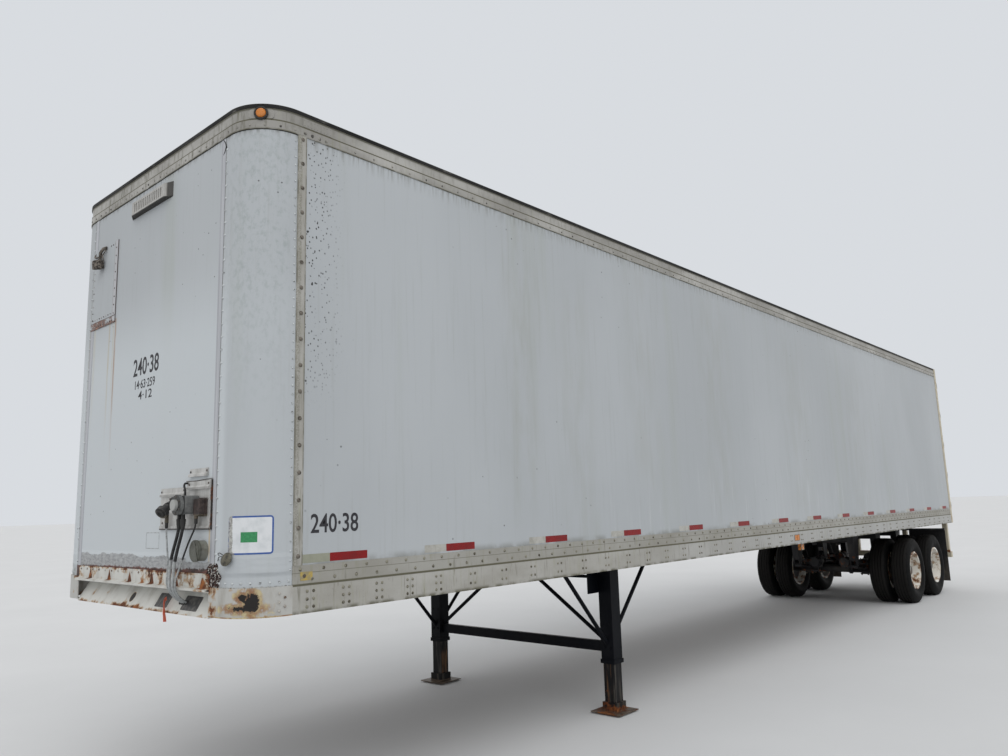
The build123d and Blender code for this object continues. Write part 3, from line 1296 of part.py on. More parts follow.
# Nose fittings.
VENT_SLOTS = 15
VENT_SLOT = 14
VENT_Z = WALL_TOP - VENT_DROP
with BuildPart() as nose_vent:
    with BuildSketch(Plane.YZ.offset(SKIN_X)):
        with Locations((-VENT_OFFSET, VENT_Z)):
            Rectangle(VENT_WIDTH, VENT_HEIGHT)
    with BuildSketch(Plane.YZ.offset(SKIN_X + VENT_DEPTH)):
        with Locations((-VENT_OFFSET, VENT_Z)):
            Rectangle(VENT_WIDTH - 2 * VENT_SLOPE, VENT_HEIGHT - VENT_SLOT)
    loft()
    with BuildSketch(Plane.YZ.offset(SKIN_X + VENT_DEPTH)):
        with Locations((-VENT_OFFSET, VENT_Z)):
            with GridLocations(2 * VENT_SLOT, 0, VENT_SLOTS, 1):
                Rectangle(VENT_SLOT, VENT_HEIGHT - 3 * VENT_SLOT)
    extrude(amount=-VENT_SLOT / 2, mode=Mode.SUBTRACT)
save(nose_vent, "nose_vent")

with BuildPart() as patch_panel:
    with BuildSketch(Plane.YZ.offset(SKIN_X)):
        with Locations((PATCH_WIDTH / 2 - SEAM_Y, WALL_TOP - PATCH_DROP - PATCH_HEIGHT / 2)):
            Rectangle(PATCH_WIDTH, PATCH_HEIGHT)
    extrude(amount=PATCH_THICKNESS)
    # Riveted border strips along its foot and its inner edge.
    patch_foot = WALL_TOP - PATCH_DROP - PATCH_HEIGHT
    with BuildSketch(Plane.YZ.offset(SKIN_X + PATCH_THICKNESS)):
        with Locations((PATCH_WIDTH / 2 - SEAM_Y, patch_foot + PATCH_BORDER / 2)):
            Rectangle(PATCH_WIDTH, PATCH_BORDER)
        with Locations((PATCH_WIDTH - PATCH_BORDER / 2 - SEAM_Y, patch_foot + PATCH_HEIGHT / 2)):
            Rectangle(PATCH_BORDER, PATCH_HEIGHT)
    extrude(amount=PATCH_THICKNESS)
save(patch_panel, "patch_panel")

plate_face = SKIN_X + PLATE_THICKNESS
step_top = PLATE_TOP + PLATE_STEP_HEIGHT
step_y = PLATE_LEFT_Y - PLATE_STEP_WIDTH
STRAP_STRIPS = (
    (58, 270, step_top + 68, SKIN_X),
    (PLATE_RIB, 271, step_top - 5, plate_face),
    (PLATE_STEP_WIDTH + 7, PLATE_WIDTH - 11, PLATE_TOP - 4, plate_face),
)
with BuildPart() as connector_plate:
    with BuildSketch(Plane.YZ.offset(SKIN_X)):
        with BuildLine():
            Polyline(
                (PLATE_RIGHT_Y, PLATE_BOTTOM),
                (PLATE_LEFT_Y, PLATE_BOTTOM),
                (PLATE_LEFT_Y, step_top),
                (step_y, step_top),
                (step_y, PLATE_TOP),
                (PLATE_RIGHT_Y, PLATE_TOP),
                close=True,
            )
        make_face()
    extrude(amount=PLATE_THICKNESS)
    # Turned edges along its foot and beside the seam.
    with BuildSketch(Plane.YZ.offset(plate_face)):
        with Locations(((PLATE_RIGHT_Y + PLATE_LEFT_Y) / 2, PLATE_BOTTOM + PLATE_RIB / 2)):
            Rectangle(PLATE_WIDTH, PLATE_RIB)
        with Locations((PLATE_LEFT_Y - PLATE_RIB / 4, (PLATE_BOTTOM + step_top) / 2)):
            Rectangle(PLATE_RIB / 2, step_top - PLATE_BOTTOM)
    extrude(amount=PLATE_THICKNESS)
    # Folded strips that stood off to hold straps: inner and outer end in from the left edge, top
    # level, and the face that the strip sits on.
    for near, far, strip_top_z, face in STRAP_STRIPS:
        with BuildSketch(Plane.XZ.offset(near - PLATE_LEFT_Y)):
            with BuildLine():
                Polyline(
                    (face, strip_top_z),
                    (face + PLATE_THICKNESS, strip_top_z),
                    (face + PLATE_THICKNESS, strip_top_z - STRAP_STRIP_HEIGHT / 2),
                    (face + STRAP_STRIP_DEPTH, strip_top_z - STRAP_STRIP_HEIGHT + STRAP_STRIP_LIP),
                    (face + STRAP_STRIP_DEPTH, strip_top_z - STRAP_STRIP_HEIGHT),
                    (face, strip_top_z - STRAP_STRIP_HEIGHT),
                    close=True,
                )
            make_face()
        extrude(amount=far - near)
save(connector_plate, "connector_plate")

# Glad hands: the left one stands off on a slanted body with a round coupling head that faces down
# and forward, the right one is a square block. Each has its hose fitting below.
GLAD_BASE_IN = 456
GLAD_BASE_Z = 1815
GLAD_BODY_END = Vector(NOSE_X + 58, PLATE_LEFT_Y - 413, 1795)
GLAD_FITTING_Z = 1700
HEAD_DIRECTION = Vector(0.72, 0.3, -0.62).normalized()
HEAD_RADIUS = 36
HEAD_LENGTH = 62
HEAD_RIM = 28
BASE_THICKNESS = 12
BODY_RADIUS = 24
BLOCK_IN = 92
BLOCK_Z = 1785
BLOCK_WIDTH = 84
BLOCK_HEIGHT = 104
BLOCK_DEPTH = 44
BLOCK_FITTING = (NOSE_X + 32, PLATE_LEFT_Y - 112, 1722)
with BuildPart() as glad_hands:
    base = Vector(plate_face, PLATE_LEFT_Y - GLAD_BASE_IN, GLAD_BASE_Z)
    head_end = GLAD_BODY_END + HEAD_DIRECTION * HEAD_LENGTH
    strut(base, base + Vector(BASE_THICKNESS, 0, 0), HEAD_RADIUS)
    strut(base, GLAD_BODY_END, BODY_RADIUS)
    strut(GLAD_BODY_END, head_end, BODY_RADIUS)
    strut(head_end - HEAD_DIRECTION * HEAD_RIM, head_end, HEAD_RADIUS)
    strut(GLAD_BODY_END, (GLAD_BODY_END.X, GLAD_BODY_END.Y, GLAD_FITTING_Z), FITTING_RADIUS)
    with BuildSketch(Plane.YZ.offset(plate_face)):
        with Locations((PLATE_LEFT_Y - BLOCK_IN, BLOCK_Z)):
            RectangleRounded(BLOCK_WIDTH, BLOCK_HEIGHT, BASE_THICKNESS)
    extrude(amount=BASE_THICKNESS)
    with BuildSketch(Plane.YZ.offset(plate_face + BASE_THICKNESS)):
        with Locations((PLATE_LEFT_Y - BLOCK_IN, BLOCK_Z)):
            RectangleRounded(BLOCK_WIDTH - BASE_THICKNESS, BLOCK_HEIGHT - BASE_THICKNESS, BASE_THICKNESS)
    extrude(amount=BLOCK_DEPTH - BASE_THICKNESS)
    strut((BLOCK_FITTING[0], BLOCK_FITTING[1], BLOCK_Z), BLOCK_FITTING, FITTING_RADIUS)
    split(bisect_by=Plane.YZ.offset(plate_face), keep=Keep.TOP)
save(glad_hands, "glad_hands")


def corner_radii(points):
    """Largest tangent arcs along a route: 0.45 of the shorter run over the tangent of half the turn."""
    radii = []
    for before, corner, after in zip(points, points[1:], points[2:]):
        into = corner - before
        out = after - corner
        half_turn = math.radians(into.get_angle(out)) / 2
        radii.append(0.45 * min(into.length, out.length) / math.tan(half_turn))
    return radii


# Electrical socket: a box on the plate, a flanged ring with its round cap, two cable glands, and
# the short lead from its top back into the plate.
SOCKET_Y = PLATE_LEFT_Y - 206
SOCKET_Z = 1800
SOCKET_BOX = (86, 120, 104)
SOCKET_RING_RADIUS = 57
SOCKET_RING = 22
SOCKET_CAP_RADIUS = 31
SOCKET_CAP = 20
GLANDS_Y = (PLATE_LEFT_Y - 250, PLATE_LEFT_Y - 203)
GLAND_X = 62
GLAND_BOTTOM = 1722
LEAD_RADIUS = 6
LEAD_ROUTE = (
    # x ahead of the plate's face, y in from its left edge, z
    *((34, 251, 1850), (34, 251, 1884), (32, 272, 1912), (18, 287, 1926), (SEAT, 287, 1926)),
)
with BuildPart() as cable_socket:
    with BuildSketch(Plane.YZ.offset(plate_face)):
        with Locations((SOCKET_Y, SOCKET_Z)):
            RectangleRounded(SOCKET_BOX[1], SOCKET_BOX[2], SOCKET_BOX[2] / 6)
    extrude(amount=SOCKET_BOX[0])
    socket_front = plate_face + SOCKET_BOX[0]
    with BuildSketch(Plane.YZ.offset(socket_front)):
        with Locations((SOCKET_Y, SOCKET_Z)):
            Circle(SOCKET_RING_RADIUS)
    extrude(amount=SOCKET_RING)
    with BuildSketch(Plane.YZ.offset(socket_front + SOCKET_RING)):
        with Locations((SOCKET_Y, SOCKET_Z)):
            Circle(SOCKET_CAP_RADIUS)
    extrude(amount=SOCKET_CAP)
    for y in GLANDS_Y:
        strut((NOSE_X + GLAND_X, y, SOCKET_Z), (NOSE_X + GLAND_X, y, GLAND_BOTTOM), FITTING_RADIUS)
    lead_points = [Vector(plate_face + x, PLATE_LEFT_Y - y_in, z) for x, y_in, z in LEAD_ROUTE]
    with BuildLine() as lead:
        FilletPolyline(*lead_points, radius=corner_radii(lead_points))
    with BuildSketch(Plane(origin=lead_points[0], z_dir=(0, 0, 1))):
        Circle(LEAD_RADIUS)
    sweep(path=lead.wires()[0])
save(cable_socket, "cable_socket")

with BuildPart() as document_holder:
    with BuildSketch(Plane.YZ.offset(SKIN_X)):
        with Locations((SEAM_Y - HOLDER_SEAM_GAP, HOLDER_Z)):
            Circle(HOLDER_RADIUS)
    extrude(amount=HOLDER_DEPTH)
    with BuildSketch(Plane.YZ.offset(SKIN_X + HOLDER_DEPTH)):
        with Locations((SEAM_Y - HOLDER_SEAM_GAP, HOLDER_Z)):
            Circle(HOLDER_RADIUS + PATCH_THICKNESS)
    extrude(amount=HOLDER_LID)
save(document_holder, "document_holder")

# Hoses and cables: each drops from its fitting, passes in front of the apron's lip and turns
# in to the sloping skirt. Points, chosen by hand, are x ahead of the nose, y in from the
# connector plate's left edge, and z.
AIR_DIAMETER = 10
CABLE_DIAMETER = 18
HOSE_ENTRY_X = -38.4
HOSE_ENTRY_RUN = 40
HOSES = (
    # name, diameter, y in where it meets the skirt, route down to the lip
    (
        "air_hose_left",
        AIR_DIAMETER,
        397,
        (
            *((58, 413, 1700), (58, 413, 1648), (54, 405, 1570), (48, 400, 1490)),
            *((46, 403, 1420), (52, 401, 1362), (35, 399, 1310)),
        ),
    ),
    (
        "cable_left",
        CABLE_DIAMETER,
        374,
        (
            *((62, 250, 1722), (62, 250, 1672), (61, 270, 1624), (60, 297, 1577), (58, 325, 1531)),
            *((56, 348, 1484), (54, 362, 1437), (53, 365, 1394), (54, 363, 1353), (36, 368, 1313)),
        ),
    ),
    (
        "cable_right",
        CABLE_DIAMETER,
        350,
        (
            *((62, 203, 1722), (62, 203, 1672), (61, 224, 1624), (60, 250, 1577), (58, 275, 1531)),
            *((56, 297, 1484), (54, 312, 1437), (53, 319, 1394), (54, 324, 1353), (36, 337, 1313)),
        ),
    ),
    (
        "air_hose_right",
        AIR_DIAMETER,
        325,
        (
            *((32, 112, 1722), (32, 112, 1690), (33, 134, 1651), (36, 168, 1608), (39, 197, 1562)),
            *((42, 224, 1514), (45, 250, 1464), (49, 277, 1413), (53, 298, 1361), (35, 314, 1310)),
        ),
    ),
)


skirt_z = APRON_BOTTOM - HOSE_ENTRY_X * slope_drop / slope_run
for name, diameter, entry_in, route in HOSES:
    entry = Vector(NOSE_X + HOSE_ENTRY_X, PLATE_LEFT_Y - entry_in, skirt_z)
    out_of_skirt = Vector(slope_normal[0], 0, slope_normal[1])
    points = [Vector(NOSE_X + x, PLATE_LEFT_Y - y_in, z) for x, y_in, z in route]
    points += [entry + out_of_skirt * HOSE_ENTRY_RUN, entry]
    radii = corner_radii(points)
    with BuildPart() as hose:
        with BuildLine() as path:
            FilletPolyline(*points, radius=radii)
        with BuildSketch(Plane(origin=points[0], z_dir=points[1] - points[0])):
            Circle(diameter / 2)
        sweep(path=path.wires()[0])
    length = path.wires()[0].length
    section = math.pi * diameter**2 / 4
    print(name, "length", round(length), "radii", [round(r) for r in radii])
    print(name, "volume over section times length", round(hose.part.volume / section / length, 5))
    save(hose, name)
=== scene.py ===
import math

import bpy
import numpy as np
from mathutils import Matrix, Vector


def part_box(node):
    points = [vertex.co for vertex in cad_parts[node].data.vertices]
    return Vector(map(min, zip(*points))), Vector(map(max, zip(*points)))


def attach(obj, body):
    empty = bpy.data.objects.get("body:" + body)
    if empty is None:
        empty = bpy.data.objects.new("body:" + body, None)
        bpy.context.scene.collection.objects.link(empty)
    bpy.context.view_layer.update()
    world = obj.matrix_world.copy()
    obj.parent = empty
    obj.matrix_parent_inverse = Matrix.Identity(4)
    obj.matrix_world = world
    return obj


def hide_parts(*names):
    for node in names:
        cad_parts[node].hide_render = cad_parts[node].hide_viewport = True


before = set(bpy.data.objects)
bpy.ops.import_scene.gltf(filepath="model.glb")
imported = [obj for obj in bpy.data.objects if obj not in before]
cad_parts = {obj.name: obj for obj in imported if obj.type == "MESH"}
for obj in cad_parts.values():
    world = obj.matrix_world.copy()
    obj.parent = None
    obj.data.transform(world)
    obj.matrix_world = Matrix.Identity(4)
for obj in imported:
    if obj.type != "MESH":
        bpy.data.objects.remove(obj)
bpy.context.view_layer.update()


# The place it stands: a plain pale floor under even, overcast light, seen from a little left of
# the nose corner at eye height. None of it is part of the trailer.
class Socket:
    """One value, colour or vector in a material. Sums written with it add nodes to the material."""

    def __init__(self, tree, output):
        self.tree = tree
        self.output = output

    def node(self, kind, settings, inputs, out=0):
        """Adds one node: its settings, then what its sockets hold, as numbers, colours or links."""
        made = self.tree.nodes.new(kind)
        for key, value in settings.items():
            setattr(made, key, value)
        for key, value in inputs.items():
            if isinstance(value, Socket):
                self.tree.links.new(value.output, made.inputs[key])
            elif isinstance(value, tuple) and made.inputs[key].type == "RGBA":
                made.inputs[key].default_value = (*value, 1.0)
            else:
                made.inputs[key].default_value = value
        return Socket(self.tree, made.outputs[out])

    def math(self, operation, *values):
        """One step of arithmetic on values in their order."""
        return self.node("ShaderNodeMath", {"operation": operation}, dict(enumerate(values)))

    def __add__(self, other):
        return self.math("ADD", self, other)

    def __sub__(self, other):
        return self.math("SUBTRACT", self, other)

    def __rsub__(self, other):
        return self.math("SUBTRACT", other, self)

    def __mul__(self, other):
        return self.math("MULTIPLY", self, other)

    def __truediv__(self, other):
        return self.math("DIVIDE", self, other)

    def __pow__(self, other):
        return self.math("POWER", self, other)

    def __mod__(self, other):
        return self.math("FLOORED_MODULO", self, other)

    def __abs__(self):
        return self.math("ABSOLUTE", self)

    __radd__ = __add__
    __rmul__ = __mul__

    def either(self, other):
        """The larger of two masks."""
        return self.math("MAXIMUM", self, other)

    def hypot(self, other):
        """The distance whose parts along two square directions are self and other."""
        return (self * self + other * other) ** 0.5

    def rise(self, low, high):
        """0 below low, 1 above high and a soft step between; low may be the larger one."""
        soft = {"interpolation_type": "SMOOTHSTEP"}
        return self.node("ShaderNodeMapRange", soft, {0: self, 1: low, 2: high})

    def within(self, low, high, soft=0.01):
        """1 from low to high, fading out over soft at both ends."""
        return self.rise(low - soft, low) * self.rise(high + soft, high)

    def blend(self, low, high):
        """The colour that goes from low to high as this value goes from 0 to 1."""
        return self.node("ShaderNodeMix", {"data_type": "RGBA"}, {0: self, 6: low, 7: high}, 2)


class Finish:
    """A material being mixed. at is the place in metres in the trailer's frame; x, y, z its parts."""

    def __init__(self, name, **constants):
        self.material = bpy.data.materials.new(name)
        self.material.use_nodes = True
        self.tree = self.material.node_tree
        self.shader = self.tree.nodes["Principled BSDF"]
        for key, value in constants.items():
            self.shader.inputs[key.replace("_", " ")].default_value = value
        coordinates = self.tree.nodes.new("ShaderNodeTexCoord")
        self.at = Socket(self.tree, coordinates.outputs["Object"])
        self.x, self.y, self.z = (
            self.at.node("ShaderNodeSeparateXYZ", {}, {0: self.at}, i) for i in range(3)
        )

    def stretched(self, stretch):
        """The place with x, y and z multiplied: the larger the number, the narrower the lumps."""
        multiply = {"operation": "MULTIPLY"}
        return self.at.node("ShaderNodeVectorMath", multiply, {0: self.at, 1: stretch})

    def clouds(self, scale, detail=4.0, roughness=0.55, stretch=(1, 1, 1)):
        """Cloudy noise from 0 to 1, about scale lumps to a metre."""
        inputs = {"Vector": self.stretched(stretch), "Scale": scale}
        inputs.update({"Detail": detail, "Roughness": roughness})
        return self.at.node("ShaderNodeTexNoise", {}, inputs)

    def spots(self, scale, stretch=(1, 1, 1)):
        """Distance to the nearest of scattered points, scale of them to a metre."""
        inputs = {"Vector": self.stretched(stretch), "Scale": scale}
        return self.at.node("ShaderNodeTexVoronoi", {}, inputs)

    def paint(self, colour, roughness=None, metallic=None, height=None, depth=0.001):
        """Links what varies over the surface to the shader; height is a bump, its depth in metres."""
        held = {"Base Color": colour, "Roughness": roughness, "Metallic": metallic}
        for key, value in held.items():
            if isinstance(value, Socket):
                self.tree.links.new(value.output, self.shader.inputs[key])
            elif isinstance(value, tuple):
                self.shader.inputs[key].default_value = (*value, 1.0)
            elif value is not None:
                self.shader.inputs[key].default_value = value
        if height is not None:
            bump = self.at.node("ShaderNodeBump", {}, {"Height": height, "Distance": depth})
            self.tree.links.new(bump.output, self.shader.inputs["Normal"])
        return self.material


def mottled(name, noise, step, tones, roughness, **constants):
    """A material of two tones in soft patches: noise is what clouds takes, and step, if there is
    one, is where the noise goes from the first tone to the second."""
    finish = Finish(name, **constants)
    tone = finish.clouds(*noise)
    if step:
        tone = tone.rise(*step)
    return finish.paint(tone.blend(*tones), roughness)


def clothe(material, *nodes):
    """Gives the frame's own pieces their finish."""
    for node in nodes:
        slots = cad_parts[node].data.materials
        slots.clear()
        slots.append(material)


def added(name, data):
    """A new object of the scene that shows data."""
    made = bpy.data.objects.new(name, data)
    bpy.context.scene.collection.objects.link(made)
    return made


FLOOR_HALF = 400.0
FLOOR_TONES = ((0.60, 0.61, 0.62), (0.66, 0.67, 0.68))
floor_mesh = bpy.data.meshes.new("floor")
corners = [(-FLOOR_HALF, -FLOOR_HALF, 0), (FLOOR_HALF, -FLOOR_HALF, 0)]
corners += [(FLOOR_HALF, FLOOR_HALF, 0), (-FLOOR_HALF, FLOOR_HALF, 0)]
floor_mesh.from_pydata(corners, [], [(0, 1, 2, 3)])
floor = added("floor", floor_mesh)
floor_pale = mottled("floor_pale", (0.6, 5), None, FLOOR_TONES, 0.9, Specular_IOR_Level=0.1)
floor.data.materials.append(floor_pale)

SKY_LEVEL = 0.86
SKY_SEEN = (0.80, 0.83, 0.87)
SUN_LEVEL = 0.75
SUN_SPREAD = math.radians(50)
SUN_FALLS = Vector((-0.45, -0.55, -0.8))
world = bpy.data.worlds.new("overcast")
bpy.context.scene.world = world
world.use_nodes = True
sky = world.node_tree
background = sky.nodes["Background"]
background.inputs["Strength"].default_value = SKY_LEVEL
path = sky.nodes.new("ShaderNodeLightPath")
seen = Socket(sky, path.outputs["Is Camera Ray"])
seen = seen.either(Socket(sky, path.outputs["Is Transmission Ray"]))
tint = seen.blend((1.0, 1.0, 1.0), SKY_SEEN)
sky.links.new(tint.output, background.inputs["Color"])
sun = added("sun", bpy.data.lights.new("sun", "SUN"))
sun.data.energy = SUN_LEVEL
sun.data.angle = SUN_SPREAD
sun.rotation_euler = SUN_FALLS.to_track_quat("-Z", "Y").to_euler()
bpy.context.scene.view_settings.view_transform = "Standard"

EYE = Vector((9.510, 5.091, 1.734))
YAW, PITCH, ROLL = (math.radians(a) for a in (221.757, 9.327, -1.754))
FOCAL_PIXELS = 785.28
PICTURE_WIDTH = 1008
SENSOR = 36.0
SIGHT = 900.0
ahead = Vector((math.cos(PITCH) * math.cos(YAW), math.cos(PITCH) * math.sin(YAW), math.sin(PITCH)))
level = ahead.cross(Vector((0, 0, 1))).normalized()
upright = level.cross(ahead)
right = math.cos(ROLL) * level + math.sin(ROLL) * upright
above = math.cos(ROLL) * upright - math.sin(ROLL) * level
camera = added("camera", bpy.data.cameras.new("camera"))
camera.data.sensor_width = SENSOR
camera.data.lens = SENSOR * FOCAL_PIXELS / PICTURE_WIDTH
camera.data.clip_end = SIGHT
camera.matrix_world = Matrix.Translation(EYE) @ Matrix((right, above, -ahead)).transposed().to_4x4()
bpy.context.scene.camera = camera


# Floor beams, coupler, body rails and the sliding bogie under the box: rolled and welded steel,
# brushed with black undercoat once, now dusty grey on top and rusting through along its edges.
UNDERCOAT = (0.022, 0.022, 0.024)
RUST_DARK = (0.040, 0.016, 0.009)
RUST_RED = (0.140, 0.046, 0.018)
RUST_ORANGE = (0.330, 0.120, 0.034)


def rust_colour(finish, scale=1.0):
    """Rust from near black through red to orange, in crusty lumps."""
    lumps = finish.clouds(26 * scale, 8, 0.62)
    dark_to_red = lumps.rise(0.36, 0.56).blend(RUST_DARK, RUST_RED)
    return finish.clouds(9 * scale, 5).rise(0.5, 0.72).blend(dark_to_red, RUST_ORANGE)


def rust_cover(finish, amount, scale=1.0):
    """Where rust has broken through: ragged patches that grow with amount, a number or a value."""
    ragged = finish.clouds(7 * scale, 9, 0.68)
    return (ragged + amount).rise(0.68, 0.73)


def undercoat(name, rust, dust=0.5):
    """Black undercoat, dusty where it faces up and broken by rust that grows with its number."""
    finish = Finish(name, Specular_IOR_Level=0.3)
    rusted = rust_cover(finish, rust)
    dusty = finish.clouds(3, 6).rise(0.45, 0.75) * dust
    coated = dusty.blend(UNDERCOAT, (0.075, 0.070, 0.062))
    colour = rusted.blend(coated, rust_colour(finish))
    lumps = rusted * 0.5 + finish.clouds(60, 4) * 0.5
    return finish.paint(colour, rusted * 0.3 + 0.55, None, lumps, 0.0015)


clothe(undercoat("undercoat_beams", 0.09), "crossmembers", "coupler_plate", "slider_rails")
clothe(undercoat("undercoat_bogie", 0.05, 0.8), "bogie_frame", "equalisers")
clothe(undercoat("undercoat_axles", 0.10, 0.9), "axles", "brake_chambers", "torque_arms", "air_tank")
clothe(undercoat("spring_steel", 0.19, 0.6), "leaf_springs")

kingpin_finish = Finish("greased_steel", Metallic=0.9)
kingpin_tone = kingpin_finish.clouds(40, 5).rise(0.4, 0.6)
kingpin_colour = kingpin_tone.blend((0.05, 0.045, 0.04), (0.30, 0.29, 0.28))
clothe(kingpin_finish.paint(kingpin_colour, kingpin_tone * 0.2 + 0.25), "kingpin")


# Floor: boards of laminated hardwood strips on the beams, worn grey-brown down the middle.
BOARD_WIDTH = 0.305
STRIP_WIDTH = 0.034
boards = Finish("laminated_boards", Specular_IOR_Level=0.3)
strip = boards.at.math("FLOOR", boards.y / STRIP_WIDTH)
tone = boards.at.node("ShaderNodeTexWhiteNoise", {"noise_dimensions": "1D"}, {"W": strip})
grain = boards.clouds(9, 6, 0.6, (1.2, 14, 14))
wood = (tone * 0.5 + grain * 0.5).rise(0.2, 0.8).blend((0.10, 0.055, 0.028), (0.27, 0.165, 0.085))
trodden = boards.clouds(1.1, 4).rise(0.42, 0.66) * abs(boards.y).rise(1.2, 0.6)
wood = (trodden * 0.6).blend(wood, (0.20, 0.18, 0.155))
joint = (abs(boards.y) % BOARD_WIDTH).rise(0.004, 0.0015)
wood = joint.blend(wood, (0.012, 0.010, 0.008))
clothe(boards.paint(wood, 0.75 - trodden * 0.15, None, grain - joint), "floor_deck")


# Base rails: extruded aluminium sills down both sides, riveted to the walls along a flange and
# bolted through the web to each beam end. The mill finish has gone grey-beige, with green in it.
RAIL_GREY = (0.335, 0.325, 0.295)
RAIL_PALE = (0.430, 0.425, 0.400)
RAIL_GREEN = (0.300, 0.300, 0.215)
RAIL_GRIME = (0.108, 0.102, 0.068)
rail_low, rail_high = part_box("bottom_rail_left")
side_y = rail_high.y
web_bottom = rail_low.z
flange_top = rail_high.z
FLANGE_HEIGHT = 0.102
FLANGE_INSET = 0.004
web_top = flange_top - FLANGE_HEIGHT


def weathered_aluminium(name, grime, dark=RAIL_GREY, pale=RAIL_PALE, green=0.55):
    """Bare aluminium left outdoors: chalky patches, fine runs downwards and grime by its mask."""
    finish = Finish(name, Metallic=0.25, Specular_IOR_Level=0.5)
    patches = finish.clouds(1.4, 6, 0.6, (1, 1, 2.2))
    runs = finish.clouds(5, 6, 0.6, (7, 7, 0.9))
    colour = patches.rise(0.35, 0.7).blend(dark, pale)
    cooler = finish.x.rise(4.5, 0.5) * finish.z.rise(web_top, web_top - 0.004)
    colour = (cooler * 0.6).blend(colour, (0.395, 0.402, 0.405))
    colour = (runs.rise(0.52, 0.75) * green).blend(colour, RAIL_GREEN)
    speckle = finish.clouds(90, 5, 0.7).rise(0.60, 0.74)
    dirty = grime(finish).either(speckle * 0.35)
    colour = dirty.blend(colour, RAIL_GRIME)
    return finish.paint(colour, dirty * 0.3 + 0.5, None, patches + speckle, 0.0004)


def sill_grime(finish):
    """Grime along the sill's ledge, flange seam and foot, and in short runs below the bolts."""
    ledge = finish.z.within(web_top - 0.006, web_top + 0.001, 0.006)
    seam = finish.z.within(web_top + 0.060, web_top + 0.062, 0.002)
    foot = finish.z.rise(web_bottom + 0.028, web_bottom) * finish.clouds(11, 6).rise(0.35, 0.6)
    runs = finish.clouds(8, 5, 0.6, (5, 5, 0.5)).rise(0.56, 0.72) * 0.55
    flange = finish.z.rise(web_top, web_top + 0.004) * 0.20
    return ledge.either(seam * 0.7).either(foot).either(runs).either(flange)


clothe(weathered_aluminium("weathered_sill", sill_grime), "bottom_rail_left", "bottom_rail_right")


SHARP = math.radians(38)


def make(name, points, faces, material, body="chassis", slot=None, smooth=True):
    """One piece from arrays of corners and faces, in its finish, riding on its body."""
    mesh = bpy.data.meshes.new(name)
    mesh.from_pydata(np.asarray(points, float).reshape(-1, 3).tolist(), [], faces)
    mesh.polygons.foreach_set("use_smooth", [smooth] * len(mesh.polygons))
    mesh.materials.append(material)
    mesh.update()
    if smooth:
        mesh.set_sharp_from_angle(angle=SHARP)
    piece = added(name, mesh)
    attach(piece, body)
    return piece


def grid(rows, columns, wrap_rows=False, wrap_columns=False):
    """Quads of a grid of points numbered row by row: (i, j), (i, j+1), (i+1, j+1), (i+1, j)."""
    i = np.arange(rows if wrap_rows else rows - 1)[:, None]
    j = np.arange(columns if wrap_columns else columns - 1)[None, :]
    below, after = (i + 1) % rows, (j + 1) % columns
    quads = (i * columns + j, i * columns + after, below * columns + after, below * columns + j)
    return np.stack([np.broadcast_to(q, (i.size, j.size)) for q in quads], -1).reshape(-1, 4)


def unit(vectors):
    """Each vector at length 1."""
    return vectors / np.linalg.norm(vectors, axis=-1, keepdims=True)


def circles(sides, across, onward):
    """Unit circles: point (k, j) is cos(2 pi j / sides) across k + sin(2 pi j / sides) onward k."""
    angle = (2 * np.pi * np.arange(sides) / sides)[None, :, None]
    return np.cos(angle) * across[:, None] + np.sin(angle) * onward[:, None]


def capped(places, rings, sides):
    """Faces of closed bodies on several places, each of rings with sides points: the walls from
    ring to ring, the first ring as its base and the last as its top."""
    each = rings * sides
    starts = (np.arange(places) * each)[:, None, None]
    walls = (starts + grid(rings, sides, wrap_columns=True)[None]).reshape(-1, 4)
    base = starts[:, :, 0] + np.arange(sides)[None, ::-1]
    top = starts[:, :, 0] + (each - sides + np.arange(sides))[None]
    return walls.tolist() + base.tolist() + top.tolist()


def turned(profile, sides, places, axes):
    """Round heads on many places at once, as points and faces.
    Point (k, i, j) is place k + height i times axis k + radius i times the unit circle's point j
    in the plane across axis k. Both ends are closed by one flat face."""
    radius, height = np.array(profile, float).T
    places = np.atleast_2d(np.array(places, float))
    axes = unit(np.broadcast_to(np.array(axes, float), places.shape))
    steep = np.abs(axes[:, 2:]) > 0.9
    across = unit(np.cross(np.where(steep, (1.0, 0, 0), (0, 0, 1.0)), axes))
    ring = circles(sides, across, np.cross(axes, across))
    points = (
        places[:, None, None]
        + height[None, :, None, None] * axes[:, None, None]
        + radius[None, :, None, None] * ring[:, None]
    )
    return points.reshape(-1, 3), capped(len(places), len(radius), sides)


def joined(*parts):
    """Several (points, faces) pairs as one."""
    points, faces, count = [], [], 0
    for part_points, part_faces in parts:
        points.append(np.asarray(part_points, float).reshape(-1, 3))
        faces += [[count + corner for corner in face] for face in part_faces]
        count += len(points[-1])
    return np.concatenate(points), faces


def plates(outline, places, across, up, thickness):
    """Flat plates of one outline on many places: corner (k, n) is place k + outline n's first number
    times across + its second times up, and the thickness goes along across x up."""
    outline = np.array(outline, float)
    places = np.atleast_2d(np.array(places, float))
    across, up = np.array(across, float), np.array(up, float)
    normal = unit(np.cross(across, up))
    face = outline[:, :1] * across + outline[:, 1:] * up
    points = places[:, None, None] + np.stack([face, face + thickness * normal])[None]
    return points.reshape(-1, 3), capped(len(places), 2, len(outline))


def rectangle(width, height):
    """Outline of a plate about its middle, with its corners nipped off."""
    nip = min(width, height) * 0.06
    w, h = width / 2, height / 2
    low = [(-w + nip, -h), (w - nip, -h), (w, -h + nip), (w, h - nip)]
    return low + [(-x, -y) for x, y in low]


